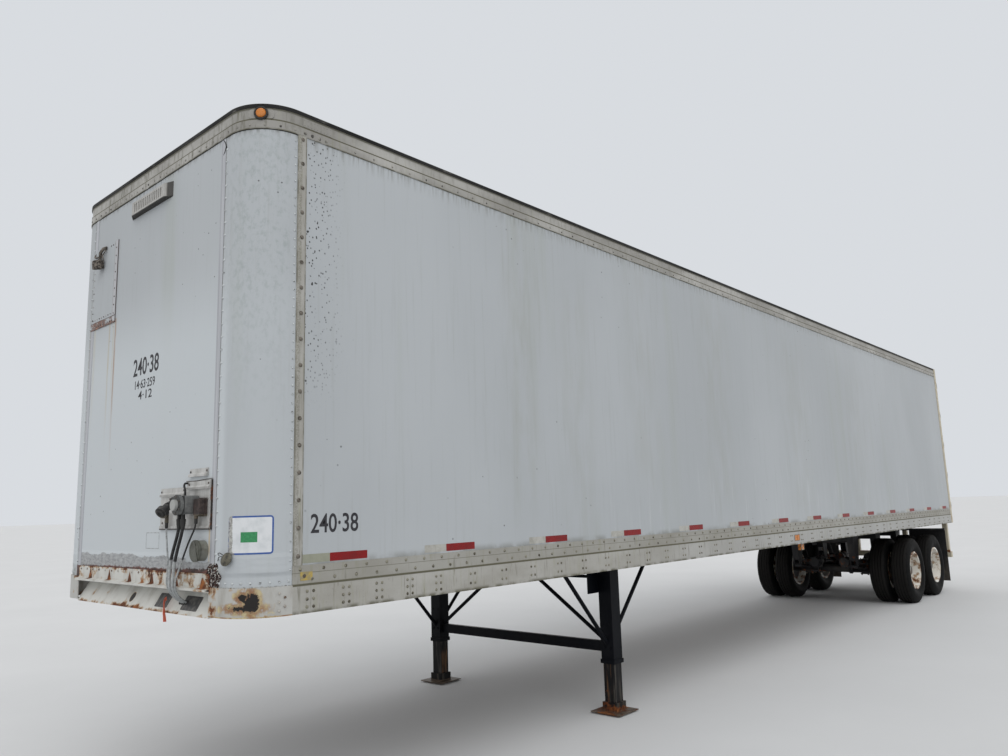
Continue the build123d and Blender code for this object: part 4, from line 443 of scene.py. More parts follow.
def four_bars(middle, across, spread, level, upright, thickness):
    """Flat bars above, below and on both sides of a middle, spread from it across and up: the first
    two are level and the others upright, and both sizes are (width, height)."""
    bars = []
    for a, b, size in ((0, 1, level), (0, -1, level), (1, 0, upright), (-1, 0, upright)):
        place = np.array(middle) + a * spread[0] * np.abs(across) + (0, 0, b * spread[1])
        bars.append(plates(rectangle(*size), place, across, (0, 0, 1), thickness))
    return bars


def four_corners(across, up):
    """The corners of a rectangle about its middle, from half its width and half its height."""
    return [(a * across, b * up) for a in (-1, 1) for b in (-1, 1)]


def on_circle(count, radius, start=0.5):
    """Two coordinates of places evenly round a circle, the first one start of a step past 0."""
    angle = 2 * np.pi * (np.arange(count) + start) / count
    return radius * np.cos(angle), radius * np.sin(angle)


def on_row(x, y, z):
    """Places from their x, y and z: those that are numbers hold for all the places."""
    return np.stack(np.broadcast_arrays(x, y, z), -1)


RIVET = [(1.0, 0.0), (0.93, 0.32), (0.66, 0.72), (0.25, 0.95)]
RIVET_PITCH = 0.1524
RIVET_RADIUS = 0.0078
RIVET_HEIGHT = 0.0042


def rivets(places, axes, radius=RIVET_RADIUS, height=RIVET_HEIGHT):
    """Domed heads, eight-sided, with the RIVET profile."""
    profile = [(r * radius, h * height) for r, h in RIVET]
    return turned(profile, 8, places, axes)


def worn_and_painted_light_heads(name, dark, pale, share=0.5, lumps=23):
    """Rivet and bolt heads, each a little darker or paler than its neighbours. Where there are many
    lumps to a metre the heads come out spotted, and those pale and dark spots are painted highlight
    and painted shade."""
    step = (0.35 + 0.3 * share, 0.25 + 0.3 * share)
    constants = {"Metallic": 0.3, "Specular_IOR_Level": 0.5}
    return mottled(name, (lumps, 5, 0.7), step, (pale, dark), 0.5, **constants)


sill_heads = worn_and_painted_light_heads("sill_rivet_heads", (0.070, 0.062, 0.042), (0.235, 0.225, 0.175), 0.6)
rail_back = rail_low.x
rail_front = rail_high.x
row_x = np.arange(rail_front - 0.05, rail_back + 0.03, -RIVET_PITCH)
BEAM_PITCH, NOSE_BEAM_PITCH, NOSE_BEAMS = 0.315, 0.242, 5
NOSE_END = 0.114
first_beam = rail_front - NOSE_END
nose_x = first_beam - NOSE_BEAM_PITCH * np.arange(NOSE_BEAMS)
rear_x = np.arange(nose_x[-1] - BEAM_PITCH, rail_back + 0.05, -BEAM_PITCH)
BOLT_SPREAD = 0.021


def beam_bolts(beams, levels):
    """Places of the web bolts: two columns at each beam, one row for each level."""
    x = beams[:, None, None] + BOLT_SPREAD * np.array([-1, 1])[None, :, None]
    return on_row(x, side_y, np.array(levels)[None, None, :]).reshape(-1, 3)


flange_y = side_y - FLANGE_INSET
upper_row = on_row(row_x, flange_y, flange_top - 0.022)
lower_row = on_row(row_x - RIVET_PITCH / 2, flange_y, web_top + 0.026)
NOSE_LEVELS = (1.226, 1.268, 1.310)
REAR_LEVELS = (1.240, 1.300)
bolts = np.concatenate([beam_bolts(nose_x, NOSE_LEVELS), beam_bolts(rear_x, REAR_LEVELS)])
for side, sign in (("left", 1), ("right", -1)):
    facing = np.array([1, sign, 1])
    heads = joined(
        rivets(np.concatenate([upper_row, lower_row]) * facing, (0, sign, 0), 0.0105, 0.006),
        rivets(bolts * facing, (0, sign, 0), 0.0095, 0.006),
    )
    make(f"sill_rivets_{side}", *heads, sill_heads, slot="rail")


# Side walls: one skin of fibreglass-faced plywood a side, chalked by the weather. Dirt runs down
# from the top rail, mildew has settled half way back, and tar specks lie behind the nose.
SKIN = (0.385, 0.410, 0.430)
SKIN_BRIGHT = (0.445, 0.472, 0.494)
SKIN_DIRT = (0.270, 0.275, 0.255)
SKIN_GREEN = (0.335, 0.365, 0.310)
wall_low, wall_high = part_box("side_wall_left")
wall_top = wall_high.z


def chalked_skin(finish):
    """Colour and roughness of the chalky skin: soft clouds, and faint runs that follow the rain."""
    clouds = finish.clouds(0.55, 5, 0.5, (1, 1, 0.6))
    fine_runs = finish.clouds(6, 5, 0.6, (6, 6, 0.22))
    broad_runs = finish.clouds(1.3, 5, 0.6, (2.2, 2.2, 0.16))
    colour = clouds.rise(0.3, 0.75).blend(SKIN, SKIN_BRIGHT)
    colour = (fine_runs.rise(0.52, 0.8) * 0.22).blend(colour, SKIN_DIRT)
    colour = (broad_runs.rise(0.55, 0.78) * 0.30).blend(colour, SKIN_GREEN)
    return colour, clouds


def plywood(finish, stretch):
    """The bare veneer of the lining inside, with its grain drawn out along the low numbers."""
    veneer = finish.clouds(9, 6, 0.6, stretch)
    return veneer.rise(0.3, 0.7).blend((0.185, 0.115, 0.058), (0.350, 0.240, 0.135))


skin = Finish("side_skin", Specular_IOR_Level=0.35)
colour, clouds = chalked_skin(skin)
# Mildew columns: x of the middle, half width, lowest and highest z, strength
for middle, half, low, high, strength in (
    (5.05, 0.30, 2.0, 3.75, 0.22),
    (4.35, 0.38, 1.7, 3.2, 0.16),
    (3.35, 0.45, 2.2, 3.8, 0.14),
    (1.9, 0.55, 1.9, 3.6, 0.18),
    (-0.2, 0.6, 1.8, 3.4, 0.16),
    (-2.4, 0.7, 1.7, 3.3, 0.14),
):
    ragged = skin.clouds(3.1, 6, 0.62, (2.4, 1, 0.5)).rise(0.36, 0.66)
    column = skin.x.rise(middle - half, middle) * skin.x.rise(middle + half, middle)
    column = column * skin.z.within(low, high, 0.6) * ragged * strength
    colour = column.blend(colour, (0.26, 0.26, 0.19))
washed = skin.clouds(4, 5, 0.6, (4, 1, 0.35)).rise(0.55, 0.72)
washed = washed * skin.z.rise(2.4, 1.7) * skin.x.rise(4.4, 3.6)
colour = (washed * 0.4).blend(colour, (0.53, 0.56, 0.57))
specks = skin.spots(46, (1, 1, 0.8)).rise(0.27, 0.16) * skin.clouds(13, 4, 0.6).rise(0.36, 0.48)
specks = specks.either(skin.spots(17).rise(0.15, 0.10) * skin.clouds(6, 3).rise(0.46, 0.54))
specks = specks * (skin.x + skin.clouds(3, 3) * 0.2).rise(6.76, 6.98) * skin.z.rise(2.25, 2.8)
stray = skin.spots(9).rise(0.075, 0.05) * skin.clouds(0.9, 3).rise(0.5, 0.65)
colour = specks.either(stray * 0.8).blend(colour, (0.03, 0.03, 0.03))
drip = skin.clouds(7, 6, 0.6, (5, 5, 0.4)).rise(0.42, 0.66)
drip = drip * skin.z.rise(wall_top - 0.16, wall_top - 0.04)
foot = skin.z.rise(flange_top + 0.05, flange_top) * skin.clouds(6, 5).rise(0.35, 0.6)
colour = (drip * 0.6).either(foot * 0.55).blend(colour, (0.17, 0.17, 0.15))
lining = plywood(skin, (0.5, 7, 7))
colour = abs(skin.y).rise(wall_low.y + 0.004, wall_low.y + 0.003).blend(colour, lining)
waves = clouds * 2 + skin.clouds(140, 3) * 0.2
skin.paint(colour, clouds * 0.15 + 0.5, None, waves, 0.0015)
clothe(skin.material, "side_wall_left", "side_wall_right")


# Front wall and rounded nose corners: the same skin in three sheets, lapped and riveted down the
# seams. Tree sap and mildew have dulled the upper corner, and rust runs from the lamp bracket.
nose_low, nose_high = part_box("front_wall")
skin_x = nose_high.x
seam_y = nose_high.y
corner_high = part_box("corner_panel_left")[1]
CORNER_RADIUS = 0.277
corner_x = skin_x - CORNER_RADIUS
corner_y = corner_high.y - CORNER_RADIUS
nose = Finish("nose_skin", Specular_IOR_Level=0.35)
colour, clouds = chalked_skin(nose)
rubbed = nose.z.rise(3.35, 2.70) * (nose.y.rise(1.06, 1.0) * 0.55 + 0.25)
colour = rubbed.blend(colour, (0.545, 0.585, 0.612))
mottle = nose.clouds(30, 7, 0.7, (1, 1, 0.7)).rise(0.46, 0.66)
round_corner = nose.x.within(7.10, 7.285, 0.05) * nose.y.rise(0.9, 1.05)
mottle = mottle * round_corner * nose.z.rise(2.0, 3.4)
colour = (mottle * 0.32).blend(colour, (0.20, 0.25, 0.23))
RUN_TOP = 3.12
# Rust runs below the patch and the connector plate: y, half width, top, length, strength, colour
for middle, half, top, length, strength, stain in (
    (-0.523, 0.020, RUN_TOP, 1.15, 0.80, (0.300, 0.150, 0.060)),
    (-0.555, 0.014, RUN_TOP, 0.85, 0.45, (0.470, 0.400, 0.200)),
    (-0.624, 0.020, RUN_TOP, 1.00, 0.50, (0.400, 0.300, 0.130)),
    (-0.885, 0.034, RUN_TOP, 0.90, 0.28, (0.450, 0.390, 0.220)),
    (-0.970, 0.020, RUN_TOP, 0.70, 0.25, (0.380, 0.300, 0.160)),
    (0.898, 0.016, 1.69, 0.40, 0.90, (0.520, 0.410, 0.250)),
):
    wander = nose.y + nose.clouds(2.2, 3, 0.5, (1, 1, 0.6)) * 0.03 - 0.015
    run = wander.rise(middle - half, middle) * wander.rise(middle + half, middle)
    foot = top - length
    run = run * nose.z.within(foot, top, 0.02) * nose.z.rise(foot, foot + 0.8 * length)
    run = run * nose.clouds(30, 5, 0.6, (3, 3, 0.2)).rise(0.25, 0.55)
    colour = (run * strength).blend(colour, stain)
seam_dirt = nose.y.within(-seam_y - 0.01, -seam_y + 0.008, 0.02)
seam_dirt = seam_dirt.either(nose.y.within(seam_y, seam_y + 0.004, 0.006))
seam_line = abs(abs(nose.y) - seam_y - 0.0015).rise(0.0035, 0.0018)
seam_dirt = seam_dirt.either(seam_line * 1.9)
top_dirt = nose.clouds(9, 6, 0.6, (4, 4, 0.5)).rise(0.4, 0.62)
top_dirt = top_dirt * nose.z.rise(wall_top - 0.10, wall_top - 0.045)
foot_dirt = nose.z.rise(1.50, 1.40) * nose.clouds(8, 6).rise(0.38, 0.6) * nose.y.rise(1.1, 1.0)
all_dirt = (seam_dirt * 0.45).either(top_dirt * 0.6).either(foot_dirt * 0.6)
colour = all_dirt.blend(colour, (0.13, 0.125, 0.11))
# Peeled along the foot: bare grey laminate below a wavy edge, a line of rust where it meets the
# apron, and frayed edges at the foot of the corners
PEEL_TOP = 1.508
PEEL_DIP = 1.484
RUST_LINE = 1.431
CORNER_FOOT = 1.345
peel_edge = nose.z + nose.clouds(9, 5, 0.6) * 0.07 - 0.035
peeled = peel_edge.rise(PEEL_TOP, PEEL_TOP - 0.004) * nose.y.within(-0.93, 0.62, 0.02)
peeled = peeled.either(peel_edge.rise(PEEL_DIP, PEEL_DIP - 0.004) * nose.y.within(0.62, 0.90, 0.02))
laminate = nose.clouds(26, 5, 0.6, (1, 1, 2.5)).rise(0.3, 0.7)
laminate = laminate.blend((0.195, 0.198, 0.203), (0.385, 0.390, 0.395))
colour = (peeled * 0.85).blend(colour, laminate)
rust_edge = nose.z + nose.clouds(26, 7, 0.75) * 0.060 - 0.030 - (nose.y + 0.6) * 0.010
rust_line = rust_edge.rise(RUST_LINE, RUST_LINE - 0.006) * nose.y.within(-0.97, 0.96, 0.02)
line_tone = nose.clouds(22, 6, 0.65).rise(0.4, 0.62)
line_tone = line_tone.blend((0.030, 0.012, 0.009), (0.130, 0.036, 0.022))
colour = (rust_line * 0.95).blend(colour, line_tone)
frayed = nose.z + nose.clouds(40, 7, 0.75) * 0.036 - 0.018
frayed = frayed.rise(CORNER_FOOT + 0.010, CORNER_FOOT + 0.004) * abs(nose.y).rise(0.98, 1.0)
threads = nose.clouds(90, 5, 0.7).rise(0.42, 0.55)
threads = threads.blend((0.02, 0.016, 0.014), (0.4, 0.4, 0.38))
colour = (frayed * 0.92).blend(colour, threads)
dents = nose.clouds(5, 2, 0.4, (1, 1, 3)) * nose.z.within(1.43, 1.50, 0.03)
dents = dents - peeled * 0.06 + rust_line * 0.05
dots = nose.spots(12).rise(0.07, 0.045) * nose.clouds(1.3, 3).rise(0.48, 0.6)
colour = (dots * 0.85).blend(colour, (0.03, 0.03, 0.03))
inside = nose.x.rise(nose_low.x + 0.003, nose_low.x + 0.002)
beyond_x = (nose.x - corner_x).either(0.0)
beyond_y = (abs(nose.y) - corner_y).either(0.0)
inside = inside * beyond_x.hypot(beyond_y).rise(CORNER_RADIUS - 0.002, CORNER_RADIUS - 0.004)
colour = inside.blend(colour, plywood(nose, (7, 7, 0.5)))
nose.paint(colour, clouds * 0.15 + 0.48, None, clouds * 2 + dents * 8, 0.0018)
clothe(nose.material, "front_wall", "corner_panel_left", "corner_panel_right")

# Battens over the two seams: folded strips, paler along the fold
LAP = 0.0022
LAP_WIDTH = 0.048
lap_half = LAP_WIDTH / 2
batten = Finish("seam_batten", Specular_IOR_Level=0.35)
folds = abs(abs(batten.y) - seam_y + lap_half).rise(0.004, 0.001)
batten_tone = batten.clouds(5, 5, 0.6, (6, 6, 0.25)).rise(0.35, 0.7)
batten_tone = batten_tone.blend((0.43, 0.445, 0.475), (0.335, 0.345, 0.375))
batten_tone = (folds * 0.5).blend(batten_tone, (0.60, 0.61, 0.63))
batten.paint(batten_tone, 0.5)
lap_foot = flange_top - 0.03
lap_head = wall_top - 0.055
lap_outline = [(-lap_half, lap_foot), (lap_half, lap_foot)]
lap_outline += [(lap_half, lap_head), (-lap_half, lap_head)]
lap_places = [(skin_x, s * (seam_y - lap_half), 0) for s in (1, -1)]
laps = plates(lap_outline, lap_places, (0, 1, 0), (0, 0, 1), LAP)
make("nose_laps", *laps, batten.material, slot="panel", smooth=False)

# Fine pale and dark spots on the nose rivet heads: painted highlight and painted shade.
nose_heads_painted_light = worn_and_painted_light_heads("nose_rivet_heads_painted_light", (0.045, 0.042, 0.040), (0.54, 0.57, 0.58), 0.42, 95)
SEAM_PITCH = 0.076
EDGE_PITCH = 0.0508
seam_levels = np.arange(flange_top, wall_top - 0.07, SEAM_PITCH)
edge_levels = np.arange(flange_top - 0.02, wall_top - 0.07, EDGE_PITCH)
BACK_ROW_X = 7.042
corner_heads = []
for s in (1, -1):
    lap_row = on_row(skin_x, s * (seam_y + 0.014), seam_levels)
    back_row = on_row(BACK_ROW_X, s * corner_high.y, edge_levels)
    corner_heads.append(rivets(lap_row, (1, 0, 0), 0.0085, 0.006))
    corner_heads.append(rivets(back_row, (0, s, 0), 0.0068, 0.0045))
    angles = np.arange(0.03, math.pi / 2 - 0.02, EDGE_PITCH / CORNER_RADIUS)
    outward = on_row(np.cos(angles), s * np.sin(angles), 0)
    foot_row = np.array([corner_x, s * corner_y, flange_top - 0.078]) + outward * CORNER_RADIUS
    corner_heads.append(rivets(foot_row, outward, 0.0078, 0.005))
make("nose_rivets", *joined(*corner_heads), nose_heads_painted_light, slot="panel")


# Hat strips over the seams behind the nose corners: pressed aluminium with one row of large dome
# rivets down the crown, rubbed pale there and brown along both edges.
strip_low, strip_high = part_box("corner_strips")
strip_x = (strip_low.x + strip_high.x) / 2
STRIP_RIVET_RADIUS = 0.0130
STRIP_RIVET_HEIGHT = 0.0085


def strip_grime(finish):
    """Brown along the strip's two edges, specks on its front half and runs down its crown."""
    forward = finish.x - strip_x
    edge = abs(forward).rise(0.019, 0.026) * finish.clouds(13, 6).rise(0.25, 0.6) * 0.7
    front = forward.rise(-0.004, 0.008) * finish.clouds(120, 4, 0.7).rise(0.30, 0.70) * 0.55
    runs = finish.clouds(8, 5, 0.6, (5, 5, 0.4)).rise(0.54, 0.70) * 0.5
    return edge.either(front).either(runs)


clothe(weathered_aluminium("weathered_strips", strip_grime), "corner_strips")
strip_heads = worn_and_painted_light_heads("strip_rivet_heads", (0.045, 0.036, 0.027), (0.155, 0.138, 0.115))
strip_levels = np.arange(strip_low.z + 0.05, strip_high.z - 0.02, RIVET_PITCH)
strip_rows = [on_row(strip_x, s * strip_high.y, strip_levels) for s in (1, -1)]
strip_rivets = joined(*[
    rivets(row, (0, s, 0), STRIP_RIVET_RADIUS, STRIP_RIVET_HEIGHT)
    for row, s in zip(strip_rows, (1, -1))
])
make("strip_rivets", *strip_rivets, strip_heads, slot="rail")


# Top rails and the header bent round the nose: extruded aluminium with a riveted flange over the
# skins, spliced behind each corner. The front of the band is dirty, its foot is sealed in black.
top_low, top_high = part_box("top_rail_left")
header_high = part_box("front_header")[1]
flange_foot = top_low.z
TOP_FLANGE = 0.052
LINE_RADIUS = 0.285
FLANGE_SET_IN = 0.003
line_x = header_high.x - LINE_RADIUS + FLANGE_SET_IN
line_y = header_high.y - LINE_RADIUS + FLANGE_SET_IN


def band_grime(finish):
    """Black in the step over the flange and under the drip edge, brown runs over the band."""
    flange_head = flange_foot + TOP_FLANGE
    step = finish.z.within(flange_head + 0.003, flange_head + 0.011, 0.003)
    drip = finish.z.rise(top_high.z - 0.035, top_high.z - 0.022)
    foot = finish.z.rise(flange_foot + 0.012, flange_foot) * finish.clouds(12, 6).rise(0.3, 0.55)
    on_side = abs(finish.y).rise(top_high.y - 0.012, top_high.y - 0.006)
    runs = finish.clouds(9, 6, 0.65, (4, 4, 0.7)).rise(0.47, 0.70) * (0.75 - on_side * 0.5)
    return step.either(drip * 0.8).either(foot).either(runs)


BAND_GREY = (0.275, 0.268, 0.250)
BAND_PALE = (0.430, 0.424, 0.402)
band_material = weathered_aluminium("weathered_top_rail", band_grime, BAND_GREY, BAND_PALE, 0.3)
clothe(band_material, "top_rail_left", "top_rail_right", "front_header")


def round_nose(distance, reach, z):
    """Places and outward directions along the line that bends round the nose, reach inside it.
    The distance runs from the left side through a quarter circle, the flat front and a second
    quarter circle to the right side; below 0 and past the end it goes straight back."""
    radius = LINE_RADIUS - reach
    quarter = radius * math.pi / 2
    along = np.clip(distance - quarter, 0, 2 * line_y)
    second = np.clip(distance - quarter - 2 * line_y, 0, quarter)
    angle = (np.clip(distance, 0, quarter) + second) / radius
    end = 2 * quarter + 2 * line_y
    back = np.minimum(distance, 0) - np.maximum(distance - end, 0)
    outward = on_row(np.sin(angle), np.cos(angle), 0)
    return on_row(line_x + back, line_y - along, z) + radius * outward, outward


def tube(path, radius, sides=8):
    """Round tube along a path of points: rings of a circle carried in the plane across each point's
    direction, the mean of its two runs. Its ends are closed by flat faces."""
    path = np.asarray(path, float)
    direction = unit(np.gradient(path, axis=0))
    helper = np.where(np.abs(direction[:, 2:]) > 0.9, (1.0, 0, 0), (0, 0, 1.0))
    side = unit(np.cross(direction, helper))
    points = path[:, None] + radius * circles(sides, side, np.cross(side, direction))
    return points.reshape(-1, 3), [face[::-1] for face in capped(1, len(path), sides)]


SEALANT_RADIUS = 0.0035
SEALANT_STEP = 0.03
bend_end = 2 * line_y + LINE_RADIUS * math.pi
sealant_steps = np.arange(-0.01, bend_end + 0.01, SEALANT_STEP)
sealant_path = round_nose(sealant_steps, 0.008, flange_foot - 0.001)[0]
SEALANT_TONES = ((0.010, 0.010, 0.011), (0.035, 0.033, 0.03))
black_sealant = mottled("black_sealant", (50, 4), None, SEALANT_TONES, 0.6, Specular_IOR_Level=0.4)
# A piece of it that has come loose at the left seam and curls out
SEAM_CURL = (
    *((7.306, 0.925, 3.962), (7.309, 0.955, 3.930), (7.311, 0.968, 3.900)),
    *((7.308, 0.950, 3.875), (7.306, 0.932, 3.860)),
)
sealant = joined(tube(sealant_path, SEALANT_RADIUS), tube(SEAM_CURL, 0.004))
make("header_sealant", *sealant, black_sealant, slot="rail")

HEADER_PITCH = 0.089
FLANGE_ROW = 0.023
band_heads = worn_and_painted_light_heads("band_rivet_heads", (0.045, 0.042, 0.038), (0.30, 0.29, 0.26), 0.6)
row_z = flange_foot + FLANGE_ROW
header_steps = np.arange(0.02, bend_end, HEADER_PITCH)
header_places, header_axes = round_nose(header_steps, FLANGE_SET_IN, row_z)
side_x = np.arange(line_x - 0.42, top_low.x + 0.03, -RIVET_PITCH)
splice_x = line_x - np.array([0.05, 0.10, 0.15, 0.20])
rail_heads = [rivets(header_places, header_axes, 0.0075, 0.0045)]
for s in (1, -1):
    rail_heads.append(rivets(on_row(side_x, s * top_high.y, row_z), (0, s, 0)))
    rail_heads.append(rivets(on_row(splice_x, s * top_high.y, row_z), (0, s, 0), 0.011, 0.0065))
make("top_rail_rivets", *joined(*rail_heads), band_heads, slot="rail")

SPLICE = 0.0018
SPLICE_LENGTH = 0.210
SPLICE_HEIGHT = 0.056
SPLICE_EDGE = 0.012
splice_mid_x = line_x - 0.140
splice_mid_z = flange_foot + 0.094
splice_y = top_high.y - 0.005
small_x = splice_mid_x + np.linspace(-1, 1, 9) * (SPLICE_LENGTH / 2 - SPLICE_EDGE)
splices = []
for s in (1, -1):
    middle = (splice_mid_x, s * splice_y, splice_mid_z)
    outline = rectangle(SPLICE_LENGTH, SPLICE_HEIGHT)
    splices.append(plates(outline, middle, (-s, 0, 0), (0, 0, 1), SPLICE))
    for up in (SPLICE_EDGE - SPLICE_HEIGHT / 2, SPLICE_HEIGHT / 2 - SPLICE_EDGE):
        small_row = on_row(small_x, s * (splice_y + SPLICE), splice_mid_z + up)
        splices.append(rivets(small_row, (0, s, 0), 0.004, 0.0025))
make("rail_splices", *joined(*splices), band_material, slot="rail")


# Roof: one thin aluminium sheet bonded to channel bows, with a folded drip edge that tar and
# mildew have turned black. Puddles have left rings between the bows.
roof_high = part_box("roof_sheet")[1]
BOW_PITCH = 0.61
ROOF_PALE = (0.42, 0.42, 0.41)
roof = Finish("roof_aluminium", Metallic=0.45)
puddle = roof.clouds(1.3, 6, 0.6).rise(0.44, 0.62)
rings = abs(roof.clouds(2.1, 3, 0.4) - 0.5).rise(0.035, 0.01)
roof_tone = puddle.blend(ROOF_PALE, (0.27, 0.27, 0.25))
roof_tone = (rings * 0.45).blend(roof_tone, (0.12, 0.12, 0.10))
seam = abs((roof.x - line_x + 10 * BOW_PITCH) % BOW_PITCH - BOW_PITCH / 2).rise(0.030, 0.022)
roof_tone = (seam * 0.35).blend(roof_tone, (0.16, 0.16, 0.15))
edge = roof.z.rise(roof_high.z - 0.0006, roof_high.z - 0.0016)
tarred = roof.clouds(6, 6, 0.65, (1, 1, 3)).rise(0.22, 0.42)
edge_tone = tarred.blend((0.17, 0.165, 0.15), (0.012, 0.012, 0.012))
roof_tone = edge.blend(roof_tone, edge_tone)
roof.paint(roof_tone, puddle * 0.2 + edge * 0.3 + 0.35, None, seam * 0.6 + rings * 0.1, 0.002)
clothe(roof.material, "roof_sheet")
BOW_TONES = ((0.32, 0.33, 0.33), (0.16, 0.155, 0.14))
clothe(mottled("bow_steel", (12, 5), (0.4, 0.65), BOW_TONES, 0.45, Metallic=0.6), "roof_bows")


# Nose apron and the corner brackets beside it: folded steel, painted white, rusted through along
# the band that covers the wall's foot and along the lower edges. The lip is bent and rubbed bright.
APRON_WHITE = (0.56, 0.56, 0.53)
apron_low, apron_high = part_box("nose_apron")
bracket_low, bracket_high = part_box("corner_brackets")
LIP_TOP = 1.337
BEAM_END_PITCH = 0.313
BEAM_END_Y = -0.720
# Half sizes and middle of the round hole in the slope, right of the middle: y, z
SLOPE_HOLE = (0.028, 0.026)
SLOPE_HOLE_AT = (-0.115, 1.243)
# Rusted through in the left bracket: degrees round from the nose, height, half width, half height
BRACKET_BLOTS = ((46, 1.275, 0.034, 0.050), (36, 1.243, 0.054, 0.012), (36, 1.300, 0.024, 0.018))


def rusty_paint(name, paint, amount, dirt=(0.20, 0.17, 0.13), hole_rust_and_shade=None):
    """White paint over steel, broken through by rust where amount, a value of the place, is high.
    Where a mask of holes says it is rusted away there is a yellow rim, and inside it black painted
    shade for the dark seen through the hole."""
    finish = Finish(name, Specular_IOR_Level=0.4)
    rusted = rust_cover(finish, amount(finish))
    halo = rust_cover(finish, amount(finish) + 0.055)
    stained = finish.clouds(5, 6, 0.6, (2, 2, 0.8)).rise(0.45, 0.75) * 0.45
    colour = stained.blend(paint, dirt)
    colour = (halo * 0.75).blend(colour, (0.36, 0.21, 0.085))
    colour = rusted.blend(colour, rust_colour(finish, 1.6))
    lumps = rusted * 0.7 + finish.clouds(70, 4) * rusted * 0.6
    if hole_rust_and_shade:
        depth = hole_rust_and_shade(finish)
        rim = finish.clouds(24, 5).rise(0.3, 0.6).blend((0.52, 0.45, 0.25), (0.24, 0.110, 0.038))
        colour = (depth.rise(0.05, 0.30) * 0.9).blend(colour, rim)
        # Black painted shade in the middle of each hole, for the dark seen through it.
        colour = depth.rise(0.46, 0.54).blend(colour, (0.0075, 0.0050, 0.0040))
        lumps = lumps - depth.rise(0.4, 0.6)
    return finish.paint(colour, rusted * 0.35 + 0.5, None, lumps, 0.0018)


def apron_rust(finish):
    """Heavy on the riveted band, with a drop on the lip below each beam end, some along the
    skirt's foot, one run down the slope, little on the lip."""
    band = finish.z.within(LIP_TOP + 0.006, apron_high.z, 0.012)
    brow = finish.z.rise(apron_high.z - 0.030, apron_high.z - 0.004) * 1.35
    fold = finish.z.within(LIP_TOP - 0.02, LIP_TOP + 0.004, 0.008) * 0.5
    foot = finish.z.rise(apron_low.z + 0.040, apron_low.z) * 1.35
    run = abs(finish.y + 0.73).rise(0.034, 0.010) * finish.z.within(1.186, 1.262, 0.012) * 1.1
    half_pitch = BEAM_END_PITCH / 2
    beside = abs((finish.y - BEAM_END_Y + half_pitch) % BEAM_END_PITCH - half_pitch)
    above_lip = finish.z - LIP_TOP
    drop = (beside + above_lip * 0.42).rise(0.044, 0.024)
    drop = drop * above_lip.within(0.004, 0.070, 0.006) * 2.6
    ends = abs(finish.y).rise(0.86, 0.97) * finish.z.rise(LIP_TOP - 0.01, LIP_TOP) * 1.3
    below = foot.either(run).either(fold)
    return band.either(below).either(brow).either(drop).either(ends) * 0.17 - 0.037


def apron_hole_rust_and_shade(finish):
    """The hole in the slope as a mask that falls from its middle outwards; 0.5 is its edge, and
    inside it the hole is black painted shade.
    """
    u = (finish.y - SLOPE_HOLE_AT[0]) / SLOPE_HOLE[0]
    v = (finish.z - SLOPE_HOLE_AT[1]) / SLOPE_HOLE[1]
    return (0.5 - (u.hypot(v) - 1) * 2.5) * finish.x.rise(7.23, 7.24)


def bracket_rust(finish):
    """Along the bracket's foot and upper edge, its end beside the apron and its rear end."""
    foot = finish.z.rise(bracket_low.z + 0.055, bracket_low.z + 0.005)
    inner = abs(finish.y).rise(1.035, 0.985) * 1.3
    brow = finish.z.rise(bracket_high.z - 0.035, bracket_high.z - 0.008) * 0.75
    outer = finish.x.rise(7.09, 7.06) * 0.8
    return foot.either(inner).either(brow).either(outer) * 0.15 - 0.045


def bracket_hole_rust_and_shade(finish):
    """The ragged hole in the left bend, all the blots as one mask: each is 0.5 at its edge and
    fades over 3 cm. Inside their edges the hole is black painted shade."""
    turned_to = finish.at.math("ARCTAN2", finish.y - corner_y, finish.x - corner_x)
    along = turned_to * CORNER_RADIUS
    ragged = finish.clouds(24, 7, 0.7) * 0.080 - 0.040
    depth = finish.z.rise(bracket_low.z + 0.010, bracket_low.z + 0.004) * 0.32
    for angle, z, wide, tall in BRACKET_BLOTS:
        u = (along - CORNER_RADIUS * math.radians(angle)) / wide
        v = (finish.z - z) / tall
        far = (u.hypot(v) - 1) * min(wide, tall)
        depth = (0.5 - (far + ragged) * 16).either(depth)
    return depth * finish.y.rise(0, 0.5)


clothe(rusty_paint("rusty_apron", APRON_WHITE, apron_rust, hole_rust_and_shade=apron_hole_rust_and_shade), "nose_apron")
BRACKET_WHITE = (0.44, 0.44, 0.42)
bracket_paint = rusty_paint("rusty_brackets", BRACKET_WHITE, bracket_rust, hole_rust_and_shade=bracket_hole_rust_and_shade)
clothe(bracket_paint, "corner_brackets")

apron_heads = worn_and_painted_light_heads("apron_rivet_heads", (0.10, 0.055, 0.030), (0.42, 0.40, 0.36), 0.5)
APRON_PITCH = 0.1016
apron_y = np.arange(-0.88, 0.89, APRON_PITCH)
band_face = apron_high.x - 0.0265
apron_row = on_row(band_face, apron_y, apron_high.z - 0.018)
make("apron_rivets", *rivets(apron_row, (1, 0, 0), 0.0085, 0.005), apron_heads, slot="painted")

# Bolts of each bracket onto the sill's end: x back from the bend and height, in metres.
BRACKET_BOLTS = ((0.02, 1.222), (0.02, 1.268), (0.02, 1.314), (0.055, 1.245), (0.055, 1.291))
bracket_heads = []
for s in (1, -1):
    places = [(line_x + 0.10 - x, s * bracket_high.y, z) for x, z in BRACKET_BOLTS]
    bracket_heads.append(rivets(places, (0, s, 0), 0.008, 0.0045))
make("bracket_bolts", *joined(*bracket_heads), apron_heads, slot="painted")

